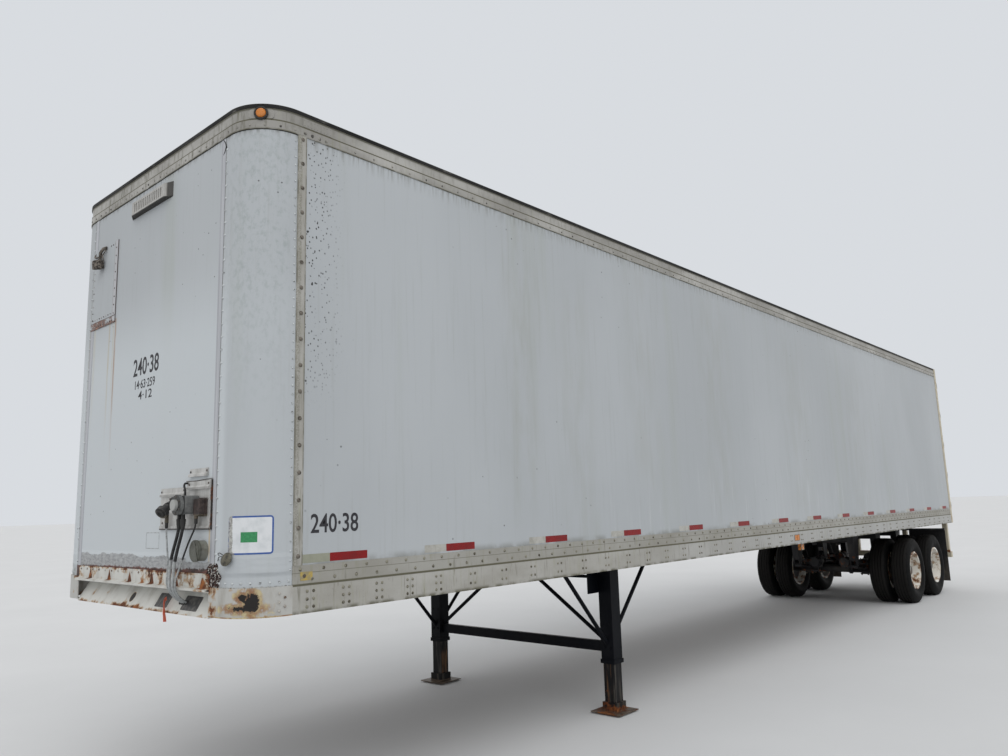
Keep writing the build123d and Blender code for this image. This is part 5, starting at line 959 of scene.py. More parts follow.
# Blank plates screwed to the skirt: y of their middle, width; all one height up the slope.
SKIRT_PLATES = ((0.315, 0.155), (0.660, 0.190))
SLOPE_RUN, SLOPE_DROP = 0.075, 0.120
SLOPE_UP = unit(np.array([-SLOPE_RUN, 0, SLOPE_DROP]))
SLOPE_OUT = unit(np.array([SLOPE_DROP, 0, SLOPE_RUN]))
SKIRT_FOOT = np.array([7.315, 0, apron_low.z])
SKIRT_PLATE_RISE = 0.072
SKIRT_PLATE_HEIGHT = 0.088
SKIRT_PLATE_THICK = 0.0015
SCREW_EDGE = 0.008
DARK_TONES = ((0.030, 0.030, 0.032), (0.11, 0.105, 0.095))
dark_plates = mottled("blank_plates", (40, 5), (0.4, 0.7), DARK_TONES, 0.4, Metallic=0.3)
skirt_parts = []
for y, width in SKIRT_PLATES:
    middle = SKIRT_FOOT + SLOPE_UP * SKIRT_PLATE_RISE + (0, y, 0) + SLOPE_OUT * 0.0002
    outline = rectangle(width, SKIRT_PLATE_HEIGHT)
    skirt_parts.append(plates(outline, middle, (0, 1, 0), SLOPE_UP, SKIRT_PLATE_THICK))
    corners = four_corners(width / 2 - SCREW_EDGE, SKIRT_PLATE_HEIGHT / 2 - SCREW_EDGE)
    face = middle + SLOPE_OUT * SKIRT_PLATE_THICK
    screws = [face + (0, a, 0) + SLOPE_UP * b for a, b in corners]
    skirt_parts.append(rivets(screws, SLOPE_OUT, 0.0035, 0.002))
make("skirt_plates", *joined(*skirt_parts), dark_plates, slot="painted", smooth=False)


def smooth_route(route, points=22):
    """Points at even steps along a route of corners."""
    steps = np.linspace(0, len(route) - 1, points)
    columns = np.array(route).T
    return np.stack([np.interp(steps, np.arange(len(route)), column) for column in columns], -1)


# A faded seal tag of red tape, caught under the skirt and hanging from it.
TAG_PATH = (
    *((7.296, 0.388, 1.262), (7.310, 0.394, 1.254), (7.318, 0.402, 1.232), (7.322, 0.416, 1.205)),
    *((7.324, 0.420, 1.182), (7.322, 0.424, 1.160), (7.322, 0.430, 1.134)),
)
TAG_WIDTH = 0.026
TAG_THICKNESS = 0.0012
TAG_TONES = ((0.62, 0.085, 0.045), (0.80, 0.235, 0.150))
tag_line = smooth_route(TAG_PATH, 31)
twist = np.linspace(0.2, 1.5, len(tag_line))[:, None]
tag_wide = np.cos(twist) * np.array([0, 0.35, 0.94]) + np.sin(twist) * np.array([0.9, 0.3, 0.2])
tag_run = unit(np.gradient(tag_line, axis=0))
tag_thin = unit(np.cross(tag_run, tag_wide))
tag_wide = np.cross(tag_thin, tag_run)
tag_turns = ((-1, -1), (1, -1), (1, 1), (-1, 1))
tag_ring = [(a * TAG_WIDTH / 2, b * TAG_THICKNESS / 2) for a, b in tag_turns]
tag_points = np.stack([tag_line + a * tag_wide + b * tag_thin for a, b in tag_ring], 1)
red_tag = mottled("faded_red_tag", (40, 3), None, TAG_TONES, 0.55)
make("seal_tag", tag_points, capped(1, len(tag_line), 4), red_tag, slot="lens")


# Vent high on the nose: a pressed steel hood over a slotted sheet, painted beige-grey. Its slots
# and open lower edge are darkened by painted shade, its folded ends by painted shade and dirt.
vent_low, vent_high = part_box("nose_vent")
VENT_BEIGE = (0.430, 0.425, 0.410)
vent = Finish("vent_paint", Specular_IOR_Level=0.4)
sunk = vent.x.rise(vent_high.x - 0.0008, vent_high.x - 0.0028)
ends = abs(vent.y - (vent_low.y + vent_high.y) / 2).rise(0.252, 0.268)
open_foot_shade = vent.z.rise(vent_low.z + 0.010, vent_low.z + 0.005)
streaks = vent.clouds(14, 6, 0.6, (1, 6, 1)).rise(0.35, 0.68)
vent_tone = streaks.blend(VENT_BEIGE, (0.330, 0.322, 0.305))
# Painted shade: a little in the sunk slots, full along the open lower edge; on the folded ends
# painted shade and dirt together.
vent_shade_and_dirt = (sunk * 0.08).either(ends * 0.9).either(open_foot_shade)
vent_colour = vent_shade_and_dirt.blend(vent_tone, (0.022, 0.020, 0.018))
clothe(vent.paint(vent_colour, 0.55, None, streaks, 0.0005), "nose_vent")


# Patch panel: a sheet of the same skin riveted over an old opening, with a doubled border along its
# foot and inner edge. The foot is rusted; a broken lamp still hangs from its upper edge.
patch_low, patch_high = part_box("patch_panel")
PATCH_BORDER = 0.052
strip_edge = patch_high.y - PATCH_BORDER
foot_edge = patch_low.z + PATCH_BORDER
patch = Finish("patch_sheet", Specular_IOR_Level=0.35)
colour, clouds = chalked_skin(patch)
on_strip = patch.y.rise(strip_edge, strip_edge + 0.002)
colour = (on_strip * 0.45).blend(colour, (0.47, 0.455, 0.475))
ragged = patch.clouds(16, 6, 0.65)
lines = abs(patch.y - strip_edge).rise(0.004, 0.0015) * ragged.rise(0.3, 0.5)
lines = lines.either(abs(patch.z - foot_edge).rise(0.006, 0.002))
lines = lines.either(patch.y.rise(patch_high.y - 0.004, patch_high.y))
colour = (lines * 0.85).blend(colour, (0.055, 0.035, 0.028))
foot_rust = patch.z.rise(foot_edge + 0.03, foot_edge - 0.01) * 0.26
foot_rust = foot_rust.either(patch.z.rise(patch_low.z + 0.018, patch_low.z + 0.004) * 0.42)
rusted = rust_cover(patch, foot_rust - 0.06)
colour = (rusted * 0.85).blend(colour, rust_colour(patch, 2.0))
patch.paint(colour, clouds * 0.15 + 0.48, None, clouds + rusted * 0.4, 0.0015)
clothe(patch.material, "patch_panel")

PATCH_FACE = patch_high.x
SHEET_FACE = PATCH_FACE - 0.003
strip_z = np.arange(patch_low.z + 0.07, patch_high.z, 0.0605)
foot_y = np.arange(patch_low.y + 0.03, patch_high.y - 0.01, 0.0385)
edge_z = np.arange(patch_low.z + 0.03, patch_high.z - 0.02, 0.0508)
head_y = np.array([-0.075, -0.04, -0.005]) + strip_edge
patch_rows = [
    on_row(PATCH_FACE, patch_high.y - 0.026, strip_z),
    on_row(PATCH_FACE, foot_y, patch_low.z + 0.020),
    on_row(SHEET_FACE, foot_y, foot_edge + 0.022),
    on_row(SHEET_FACE, patch_low.y + 0.02, edge_z),
    on_row(SHEET_FACE, head_y, patch_high.z - 0.02),
]
patch_heads = worn_and_painted_light_heads("patch_rivet_heads", (0.045, 0.030, 0.024), (0.34, 0.33, 0.33), 0.75)
patch_rivets = rivets(np.concatenate(patch_rows), (1, 0, 0), 0.0062, 0.0035)
make("patch_rivets", *patch_rivets, patch_heads, slot="panel")

# What is left of a lamp: a bent strap, a broken cup and two wires. Points on the wall in metres.
LAMP_STRAP = (
    *((7.312, -0.735, 3.700), (7.330, -0.760, 3.690), (7.336, -0.790, 3.668)),
    *((7.326, -0.812, 3.640), (7.330, -0.822, 3.612)),
)
LAMP_ARM = (
    *((7.326, -0.812, 3.645), (7.332, -0.850, 3.648), (7.322, -0.900, 3.655)),
    *((7.318, -0.935, 3.668), (7.311, -0.950, 3.690)),
)
LAMP_WIRE = (
    *((7.312, -0.748, 3.712), (7.322, -0.735, 3.675), (7.335, -0.755, 3.640)),
    *((7.330, -0.745, 3.600), (7.322, -0.762, 3.572)),
)
LAMP_CUP = (
    *((0.020, 0.0), (0.034, 0.004), (0.040, 0.030), (0.043, 0.066)),
    *((0.039, 0.067), (0.035, 0.030), (0.016, 0.008)),
)
LAMP_TONES = ((0.022, 0.018, 0.015), (0.24, 0.21, 0.18))
lamp_iron = mottled("burnt_lamp_iron", (60, 6, 0.7), (0.4, 0.62), LAMP_TONES, 0.7, Metallic=0.3)
broken_lamp = joined(
    tube(smooth_route(LAMP_STRAP), 0.012, 6),
    tube(smooth_route(LAMP_ARM), 0.006, 6),
    tube(smooth_route(LAMP_WIRE), 0.004, 6),
    turned(LAMP_CUP, 14, [(7.352, -0.800, 3.612)], (-0.25, -0.12, -0.95)),
)
make("broken_lamp", *broken_lamp, lamp_iron, slot="iron")


# Connector plate: folded aluminium sheet on the nose with turned edges, rust creeping along the one
# beside the seam, dark screws, folded strips that once held straps, and a thin dark tube of painted
# shade along the top edge of its step.
plate_low, plate_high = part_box("connector_plate")
PLATE_FACE = skin_x + 0.006
STRIP_FACE = PLATE_FACE + 0.006
plate = Finish("connector_plate_sheet", Metallic=0.35, Specular_IOR_Level=0.5)
smears = plate.clouds(6, 6, 0.6, (1, 3, 0.7)).rise(0.35, 0.7)
colour = smears.blend((0.53, 0.53, 0.52), (0.37, 0.368, 0.352))
foot_line = plate.z.rise(plate_low.z + 0.011, plate_low.z + 0.004)
side_line = plate.y.rise(plate_high.y - 0.009, plate_high.y - 0.003) * plate.z.rise(1.945, 1.935)
fold_line = plate.x.rise(PLATE_FACE + 0.0145, PLATE_FACE + 0.0155)
under_dirt = plate.z.within(plate_low.z, plate_low.z + 0.09, 0.02)
under_dirt = under_dirt * plate.clouds(11, 6).rise(0.42, 0.62)
colour = (under_dirt * 0.5).blend(colour, (0.12, 0.11, 0.095))
colour = foot_line.either(side_line).either(fold_line * 0.3).blend(colour, (0.035, 0.030, 0.027))
edge_rust = plate.y.rise(plate_high.y - 0.05, plate_high.y - 0.012) * 0.22
rusted = rust_cover(plate, edge_rust - 0.03)
colour = (rusted * 0.8).blend(colour, rust_colour(plate, 2.0))
plate.paint(colour, rusted * 0.3 + 0.45, None, smears * 0.3 + rusted, 0.001)
clothe(plate.material, "connector_plate")

# Screws: x of the face, then y and z in metres.
PLATE_SCREWS = (
    *((PLATE_FACE, 0.668, 1.988), (PLATE_FACE, 0.858, 1.990), (STRIP_FACE, 0.667, 1.916)),
    *((STRIP_FACE, 0.893, 1.918), (STRIP_FACE, 0.893, 1.895), (STRIP_FACE, 0.322, 1.884)),
    *((STRIP_FACE, 0.604, 1.888), (PLATE_FACE, 0.912, 1.850), (PLATE_FACE, 0.912, 1.780)),
    *((PLATE_FACE, 0.330, 1.700), (PLATE_FACE, 0.912, 1.700)),
)
dark_screws_and_edge_shade = worn_and_painted_light_heads("dark_screw_heads_and_edge_shade", (0.018, 0.014, 0.012), (0.09, 0.075, 0.065), 0.5)
make("plate_screws", *rivets(PLATE_SCREWS, (1, 0, 0), 0.0075, 0.0045), dark_screws_and_edge_shade, slot="iron")
# A thin wavering dark tube along the step's top edge: painted shade for the shadow line there.
EDGE_SHADE_START, EDGE_SHADE_LENGTH, EDGE_SHADE_Z = 0.622, 0.303, 1.938
t = np.linspace(0, 1, 22)
edge_shade_x = PLATE_FACE + 0.0012 + 0.003 * np.sin(7 * t) ** 2
plate_edge_shade = on_row(edge_shade_x, EDGE_SHADE_START + EDGE_SHADE_LENGTH * t, EDGE_SHADE_Z - 0.003 * np.sin(5 * t))
make("plate_edge_shade", *tube(plate_edge_shade, 0.0024, 6), dark_screws_and_edge_shade, slot="iron")


# Glad hands: cast iron air couplings. The left one is black with worn edges, the right block has
# rusted to a dark red-brown. A rubber seal sits in the open coupling head, and bolts hold the flange.
hands = Finish("cast_glad_hands", Specular_IOR_Level=0.5)
gritty = hands.clouds(46, 6, 0.65)
block_side = hands.y.rise(0.72, 0.76)
iron_tone = gritty.rise(0.45, 0.72).blend((0.016, 0.016, 0.017), (0.085, 0.080, 0.074))
brown_tone = gritty.rise(0.38, 0.62).blend((0.022, 0.015, 0.014), (0.060, 0.042, 0.037))
colour = block_side.blend(iron_tone, brown_tone)
brass = hands.z.rise(1.748, 1.742) * hands.z.rise(1.70, 1.705)
colour = (brass * 0.5).blend(colour, (0.14, 0.115, 0.07))
clothe(hands.paint(colour, gritty * 0.2 + 0.45, None, gritty, 0.0008), "glad_hands")
HEAD_AXIS = unit(np.array([0.72, 0.3, -0.62]))
HEAD_START = np.array([7.373, 0.514, 1.795])
HEAD_LENGTH = 0.062
SEAL_RING = (
    *((0.026, 0.0), (0.026, 0.003), (0.021, 0.007)),
    *((0.013, 0.007), (0.011, 0.002), (0.004, 0.002)),
)
RUBBER_TONES = ((0.012, 0.012, 0.012), (0.040, 0.039, 0.037))
black_rubber = mottled("black_rubber", (70, 4), None, RUBBER_TONES, 0.65, Specular_IOR_Level=0.4)
head_face = HEAD_START + HEAD_AXIS * (HEAD_LENGTH + 0.0002)
seal = turned(SEAL_RING, 24, [head_face], HEAD_AXIS)
make("glad_hand_seal", *seal, black_rubber, slot="rubber")
FLANGE_FACE = 7.3252
flange_places = [(FLANGE_FACE, 0.471 + a, 1.815 + b) for a, b in four_corners(0.026, 0.026)]
block_places = [(FLANGE_FACE, 0.835 + a, 1.785 + b) for a, b in four_corners(0.036, 0.045)]
hand_bolts = rivets(flange_places + block_places, (1, 0, 0), 0.006, 0.004)
make("glad_hand_bolts", *hand_bolts, dark_screws_and_edge_shade, slot="iron")


# Seven-pin socket: a grey cast box with a flanged ring, a sprung round cap, screws round the ring,
# and the black lead that loops from its top back through the plate.
socket = Finish("socket_casting", Metallic=0.2, Specular_IOR_Level=0.5)
grain = socket.clouds(40, 5, 0.6)
cap = socket.x.rise(7.4215, 7.4225)
colour = grain.rise(0.35, 0.7).blend((0.125, 0.130, 0.130), (0.200, 0.205, 0.200))
colour = cap.blend(colour, (0.36, 0.365, 0.355))
ring_gap = socket.x.within(7.3985, 7.4005, 0.0012).either(socket.x.within(7.4205, 7.4222, 0.0008))
colour = (ring_gap * 0.8).blend(colour, (0.02, 0.02, 0.02))
lead = socket.z.rise(1.8525, 1.8535)
glands = socket.z.rise(1.748, 1.746)
colour = lead.either(glands).blend(colour, (0.016, 0.016, 0.016))
clothe(socket.paint(colour, 0.5, None, grain, 0.0005), "cable_socket")
RING_SCREWS = 6
RING_RADIUS = 0.045
RING_MIDDLE = (7.4212, 0.721, 1.800)
ring_y, ring_z = on_circle(RING_SCREWS, RING_RADIUS)
ring_places = np.array(RING_MIDDLE) + on_row(0, ring_y, ring_z)
make("socket_screws", *rivets(ring_places, (1, 0, 0), 0.006, 0.004), dark_screws_and_edge_shade, slot="iron")


# Document holder: a round can of grey-green painted steel with a darker pressed lid, a sprung strap
# across the lid and a hinge knuckle on its rim.
holder_low, holder_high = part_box("document_holder")
holder_y, holder_z = (holder_low.y + holder_high.y) / 2, (holder_low.z + holder_high.z) / 2
can = Finish("holder_paint", Specular_IOR_Level=0.4)
on_lid = can.x.rise(holder_high.x - 0.0135, holder_high.x - 0.0125)
worn = can.clouds(24, 6, 0.62).rise(0.42, 0.68)
body_tone = worn.blend((0.190, 0.194, 0.170), (0.118, 0.115, 0.096))
lid_tone = worn.blend((0.105, 0.109, 0.092), (0.060, 0.060, 0.048))
clothe(can.paint(on_lid.blend(body_tone, lid_tone), 0.5, None, worn, 0.0006), "document_holder")
LID_RIBS = (
    *((0.052, 0.0), (0.052, 0.0025), (0.048, 0.0035), (0.044, 0.0012)),
    *((0.034, 0.0012), (0.031, 0.003), (0.010, 0.0035)),
)
lid_places = [(holder_high.x, holder_y, holder_z)]
STRAP_WIDTH = 0.012
STRAP_LENGTH = 0.116
KNUCKLE_X = 7.350
knuckle_y = holder_y + 0.058
strap_outline = rectangle(STRAP_WIDTH, STRAP_LENGTH)
strap_line = (holder_high.x + 0.0036, holder_y + 0.02, holder_z)
holder_trim = joined(
    turned(LID_RIBS, 28, lid_places, (1, 0, 0)),
    plates(strap_outline, strap_line, (0, 0.94, 0.34), (0, -0.34, 0.94), 0.0015),
    tube([(KNUCKLE_X, knuckle_y, z) for z in (1.535, 1.558)], 0.0045),
)
make("holder_lid", *holder_trim, can.material, slot="holder")


# Air hoses and cables: four lengths of rubber hose and jacketed cable from the couplings and the
# socket down past the apron's lip and in at the skirt, black above and sun-bleached grey below.
ENTRY_X, ENTRY_Z = 7.2766, 1.24544
STRAIGHT_IN = 0.040
before_x, before_z = ENTRY_X + STRAIGHT_IN * SLOPE_OUT[0], ENTRY_Z + STRAIGHT_IN * SLOPE_OUT[2]
# Routes from the fittings as x, y and z of their points; the two cables fall side by side
CABLE_X = (7.377, 7.377, 7.376, 7.375, 7.373, 7.371, 7.369, 7.368, 7.369, 7.351)
CABLE_Z = (1.722, 1.672, 1.624, 1.577, 1.531, 1.484, 1.437, 1.394, 1.353, 1.313)
AIR_LEFT = (
    (7.373, 7.373, 7.369, 7.363, 7.361, 7.367, 7.350),
    (0.514, 0.514, 0.522, 0.527, 0.524, 0.526, 0.528),
    (1.700, 1.648, 1.570, 1.490, 1.420, 1.362, 1.310),
)
LEFT_Y = (0.677, 0.677, 0.657, 0.630, 0.602, 0.579, 0.565, 0.562, 0.564, 0.559)
RIGHT_Y = (0.724, 0.724, 0.703, 0.677, 0.652, 0.630, 0.615, 0.608, 0.603, 0.590)
AIR_RIGHT = (
    (7.347, 7.347, 7.348, 7.351, 7.354, 7.357, 7.360, 7.364, 7.368, 7.350),
    (0.815, 0.815, 0.793, 0.759, 0.730, 0.703, 0.677, 0.650, 0.629, 0.613),
    (1.722, 1.690, 1.651, 1.608, 1.562, 1.514, 1.464, 1.413, 1.361, 1.310),
)
# name, diameter, stiffness, length, where it turns grey, y at the skirt, route
HOSES = (
    ("air_hose_left", 0.010, "medium", 0.491, 1.72, 0.530, list(zip(*AIR_LEFT))),
    ("cable_left", 0.018, "stiff", 0.539, 1.49, 0.553, list(zip(CABLE_X, LEFT_Y, CABLE_Z))),
    ("cable_right", 0.018, "stiff", 0.541, 1.49, 0.577, list(zip(CABLE_X, RIGHT_Y, CABLE_Z))),
    ("air_hose_right", 0.010, "medium", 0.565, 1.49, 0.602, list(zip(*AIR_RIGHT))),
)
BEVEL_STEPS = 5
for name, diameter, stiffness, length, grey_below, entry_y, route in HOSES:
    points = [*route, (before_x, entry_y, before_z), (ENTRY_X, entry_y, ENTRY_Z)]
    line = bpy.data.curves.new(name + "_line", "CURVE")
    line.dimensions = "3D"
    line.bevel_depth = diameter / 2
    line.bevel_resolution = BEVEL_STEPS
    line.resolution_u = 8
    line.use_fill_caps = True
    spline = line.splines.new("NURBS")
    spline.points.add(len(points) - 1)
    for point, place in zip(spline.points, points):
        point.co = (*place, 1.0)
    spline.order_u = 3
    spline.use_endpoint_u = True
    jacket = Finish(name + "_jacket", Specular_IOR_Level=0.45)
    ragged_z = jacket.z + jacket.clouds(18, 4) * 0.05 - 0.025
    bleached = ragged_z.rise(grey_below + 0.006, grey_below - 0.006)
    scuffs = jacket.clouds(60, 5, 0.65)
    grey = scuffs.rise(0.35, 0.7).blend((0.400, 0.420, 0.425), (0.235, 0.245, 0.245))
    black = scuffs.rise(0.45, 0.75).blend((0.010, 0.010, 0.011), (0.048, 0.046, 0.045))
    line.materials.append(jacket.paint(bleached.blend(black, grey), 0.5, None, scuffs, 0.0004))
    hose = added(name + "_jacketed", line)
    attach(hose, "chassis")
    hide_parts(name)

# Rubber grommets where the hoses pass in through the skirt, swaged ends under the couplings and
# sleeves under the socket.
grommet_centres = [(ENTRY_X + 0.0005, y, ENTRY_Z) for *_, y, _ in HOSES]
SWAGE = ((0.0085, 0.0), (0.0095, 0.004), (0.0095, 0.022), (0.0075, 0.030))
swage_places = [HOSES[0][6][0], HOSES[3][6][0]]
GLAND_SLEEVE = ((0.0150, 0.0), (0.0160, 0.003), (0.0140, 0.030), (0.0105, 0.055))
sleeve_places = [HOSES[1][6][0], HOSES[2][6][0]]
GROMMET = ((0.0150, 0.0), (0.0150, 0.003), (0.0125, 0.006), (0.0108, 0.006))
hose_ends = joined(
    turned(GROMMET, 16, grommet_centres, SLOPE_OUT),
    turned(SWAGE, 12, swage_places, (0, 0, -1)),
    turned(GLAND_SLEEVE, 14, sleeve_places, (0, 0, -1)),
)
make("hose_ends", *hose_ends, black_rubber, slot="rubber")


# A clearance lamp that has dropped out of the corner panel and hangs on its wires, and the torn,
# rusted sheet at the foot of the left seam.
def on_corner(angle, z, reach=0.0):
    """Place on the left corner panel: degrees from the nose, height and distance off the skin."""
    turn = math.radians(angle)
    out = CORNER_RADIUS + reach
    return (corner_x + out * math.cos(turn), corner_y + out * math.sin(turn), z)


HANGING_LENS = (
    *((0.002, 0.0), (0.030, 0.004), (0.037, 0.012)),
    *((0.037, 0.016), (0.028, 0.022), (0.002, 0.026)),
)
LENS_TONES = ((0.030, 0.027, 0.020), (0.110, 0.102, 0.070))
dirty_lens = mottled(
    "dirty_amber_lens", (45, 6, 0.7), (0.38, 0.6), LENS_TONES, 0.45, Specular_IOR_Level=0.5
)
hanging_lens = turned(HANGING_LENS, 18, [on_corner(16.5, 1.497, 0.004)], (0.90, 0.25, 0.34))
make("hanging_lens", *hanging_lens, dirty_lens, slot="lens")
# Its two wires, as angle from the nose, height and distance off the skin
HANGING_WIRES = (
    ((-1, 1.521, 0.0), (2, 1.531, 0.014), (6, 1.537, 0.018), (11, 1.524, 0.014), (15, 1.508, 0.010)),
    ((-2, 1.500, 0.0), (1, 1.492, 0.010), (4, 1.512, 0.016), (9, 1.518, 0.018), (14, 1.502, 0.012)),
)
wire_routes = [smooth_route([on_corner(*stop) for stop in stops]) for stops in HANGING_WIRES]
wires = joined(*[tube(route, 0.0022, 6) for route in wire_routes])
make("hanging_wires", *wires, black_rubber, slot="rubber")


def closed_sheet(front, back):
    """A thin closed sheet from two grids of points, its front and its back: quads over both and
    one wall of quads all round the rim, which is the grid's border taken once round."""
    rows, columns = front.shape[:2]
    count = rows * columns
    face = grid(rows, columns)
    rim = np.concatenate([
        np.arange(columns),
        np.arange(1, rows) * columns + columns - 1,
        count - 2 - np.arange(columns - 1),
        np.arange(rows - 2, 0, -1) * columns,
    ])
    after = np.roll(rim, -1)
    walls = np.stack([rim, rim + count, after + count, after], -1)
    faces = face.tolist() + (face[:, ::-1] + count).tolist() + walls.tolist()
    return np.stack([front, back]), faces


# The torn foot is a grid of 26 by 15 points that tapers upwards: waves of sines bend its edges and
# crumple it off the skin.
TORN_ROWS = 26
TORN_COLUMNS = 15
TORN_LEVELS = (1.352, 1.472)
TORN_ACROSS = (0.868, 1.030)
torn_v = np.linspace(0, 1, TORN_ROWS)[:, None]
torn_u = np.linspace(0, 1, TORN_COLUMNS)[None, :]
taper = 1 - 0.42 * np.abs(2 * torn_v - 0.75) ** 1.5
torn_wide = torn_u * taper + 0.5 * (1 - taper) + 0.06 * np.sin(13 * torn_v + 2 * torn_u)
torn_y = TORN_ACROSS[0] + (TORN_ACROSS[1] - TORN_ACROSS[0]) * torn_wide
torn_high = torn_v + 0.09 * np.sin(15 * torn_u) * (torn_v - 0.4)
torn_z = TORN_LEVELS[0] + (TORN_LEVELS[1] - TORN_LEVELS[0]) * torn_high
crumple = np.sin(31 * torn_u + 11 * torn_v) * np.sin(23 * torn_v + 5 * torn_u)
crumple = crumple + 0.5 * np.sin(57 * torn_u - 19 * torn_v)
beyond = np.maximum(torn_y - corner_y, 0)
skin_there = corner_x + np.sqrt(np.maximum(CORNER_RADIUS**2 - beyond**2, 0))
torn_front = on_row(skin_there + 0.0045 + 0.0035 * crumple, torn_y, torn_z)
torn_back = on_row(skin_there - 0.0015, torn_y, torn_z)
torn = Finish("torn_rusty_sheet", Specular_IOR_Level=0.3)
bits = torn.clouds(55, 7, 0.72)
bare = torn.clouds(70, 6, 0.7).rise(0.54, 0.58)
burnt = torn.clouds(45, 5, 0.65).rise(0.40, 0.70)
burnt = burnt.blend((0.010, 0.007, 0.006), (0.075, 0.030, 0.021))
colour = bare.blend(burnt, (0.50, 0.49, 0.46))
torn.paint(colour, 0.8, None, bits, 0.004)
torn_sheet = closed_sheet(torn_front, torn_back)
make("torn_seam_foot", *torn_sheet, torn.material, slot="rust", smooth=False)


# Decal on the corner: a blank white sticker with a blue border and one green block, gone grey and
# torn down its inner edge.
DECAL_ANGLES = (15.5, 68.0)
DECAL_LEVELS = (1.524, 1.729)
DECAL_LIFT = 0.0009
DECAL_CORNER = 0.018
DECAL_BORDER = 0.0085
decal_half = CORNER_RADIUS * math.radians(DECAL_ANGLES[1] - DECAL_ANGLES[0]) / 2
decal_tall = (DECAL_LEVELS[1] - DECAL_LEVELS[0]) / 2
decal_turn = math.radians(sum(DECAL_ANGLES) / 2)
decal_z = sum(DECAL_LEVELS) / 2
level = np.concatenate([
    -decal_tall + DECAL_CORNER * (1 - np.cos(np.linspace(0, np.pi / 2, 6))),
    decal_tall - DECAL_CORNER * (1 - np.cos(np.linspace(np.pi / 2, 0, 6))),
])[:, None]
inside = np.maximum(np.abs(level) - (decal_tall - DECAL_CORNER), 0)
width_there = decal_half - DECAL_CORNER + np.sqrt(np.maximum(DECAL_CORNER**2 - inside**2, 0))
across = np.linspace(-1, 1, 25)[None, :] * width_there
turn = decal_turn + across / CORNER_RADIUS
shell = []
for reach in (DECAL_LIFT, 0.0001):
    out = CORNER_RADIUS + reach
    x, y = corner_x + out * np.cos(turn), corner_y + out * np.sin(turn)
    shell.append(on_row(x, y, decal_z + level))
decal = Finish("sticker", Specular_IOR_Level=0.5)
turned_to = decal.at.math("ARCTAN2", decal.y - corner_y, decal.x - corner_x)
along = (turned_to - decal_turn) * CORNER_RADIUS
high = decal.z - decal_z
past_x = (abs(along) - (decal_half - DECAL_CORNER)).either(0.0)
past_z = (abs(high) - (decal_tall - DECAL_CORNER)).either(0.0)
border = past_x.hypot(past_z).rise(DECAL_CORNER - DECAL_BORDER - 0.001, DECAL_CORNER - DECAL_BORDER)
white = decal.clouds(14, 5).rise(0.4, 0.7).blend((0.66, 0.68, 0.70), (0.55, 0.58, 0.60))
green = along.within(-0.048, 0.042, 0.0008) * high.within(-0.038, 0.016, 0.0008)
blotches = decal.clouds(110, 5, 0.7).rise(0.40, 0.62)
colour = green.blend(white, blotches.blend((0.035, 0.260, 0.095), (0.022, 0.195, 0.070)))
blue = decal.clouds(30, 5).rise(0.4, 0.7).blend((0.020, 0.075, 0.300), (0.060, 0.120, 0.300))
colour = border.blend(colour, blue)
ragged = along + decal.clouds(22, 6, 0.68) * 0.035
torn_strip = ragged.within(-decal_half + 0.018, -decal_half + 0.044, 0.001)
torn_foot = (ragged + high * 1.2).rise(-decal_half - 0.055, -decal_half - 0.062)
peeled = torn_strip.either(torn_foot)
grime = decal.clouds(60, 6, 0.7).rise(0.4, 0.62).blend((0.40, 0.40, 0.37), (0.13, 0.12, 0.105))
colour = (peeled * 0.85).blend(colour, grime)
decal.paint(colour, 0.45, None, peeled, 0.0003)
make("corner_sticker", *closed_sheet(*shell), decal.material, slot="panel", smooth=False)


# Painted figures: a yard number by stencil brush on both sides and the nose, and two lines of
# plain small figures under the nose's. Plain numbers of no firm.
FIGURE_PAINT = (0.014, 0.014, 0.018)
figure_paint = Finish("stencil_black", Specular_IOR_Level=0.35)
chipped = figure_paint.clouds(70, 6, 0.7).rise(0.66, 0.74)
figure_tone = figure_paint.clouds(20, 4).blend(FIGURE_PAINT, (0.040, 0.040, 0.046))
figure_paint.paint((chipped * 0.5).blend(figure_tone, SKIN), 0.6)
FIGURE_LIFT = 0.0007
LAID_ON = 0.0001


def figures(words, middle, size, across, bold=0.012):
    """Mesh of upright figures: each corner is middle + its place across + its height up, fitted to
    size (width, height), with a little thickness towards across x up."""
    letters = bpy.data.curves.new("figures", "FONT")
    letters.body = words
    letters.extrude = 0.5
    letters.offset = bold
    letters.resolution_u = 4
    holder = bpy.data.objects.new("figures", letters)
    mesh = bpy.data.meshes.new_from_object(holder)
    corners = np.empty(3 * len(mesh.vertices))
    mesh.vertices.foreach_get("co", corners)
    corners = corners.reshape(-1, 3)
    faces = [list(polygon.vertices) for polygon in mesh.polygons]
    bpy.data.objects.remove(holder)
    bpy.data.curves.remove(letters)
    bpy.data.meshes.remove(mesh)
    low, high = corners[:, :2].min(0), corners[:, :2].max(0)
    flat = (corners[:, :2] - (low + high) / 2) * np.array(size) / (high - low)
    up = np.array([0, 0, 1.0])
    across = np.array(across, float)
    normal = np.cross(across, up)
    lift = (corners[:, 2:] + 0.5) * FIGURE_LIFT
    welded = np.unique(np.round(corners, 6), axis=0, return_index=True, return_inverse=True)
    first, back = welded[1:]
    points = np.array(middle) + flat[:, :1] * across + flat[:, 1:] * up + lift * normal
    merged = [[int(i) for i in dict.fromkeys(back.ravel()[face])] for face in faces]
    return points[first], [face for face in merged if len(face) > 2]


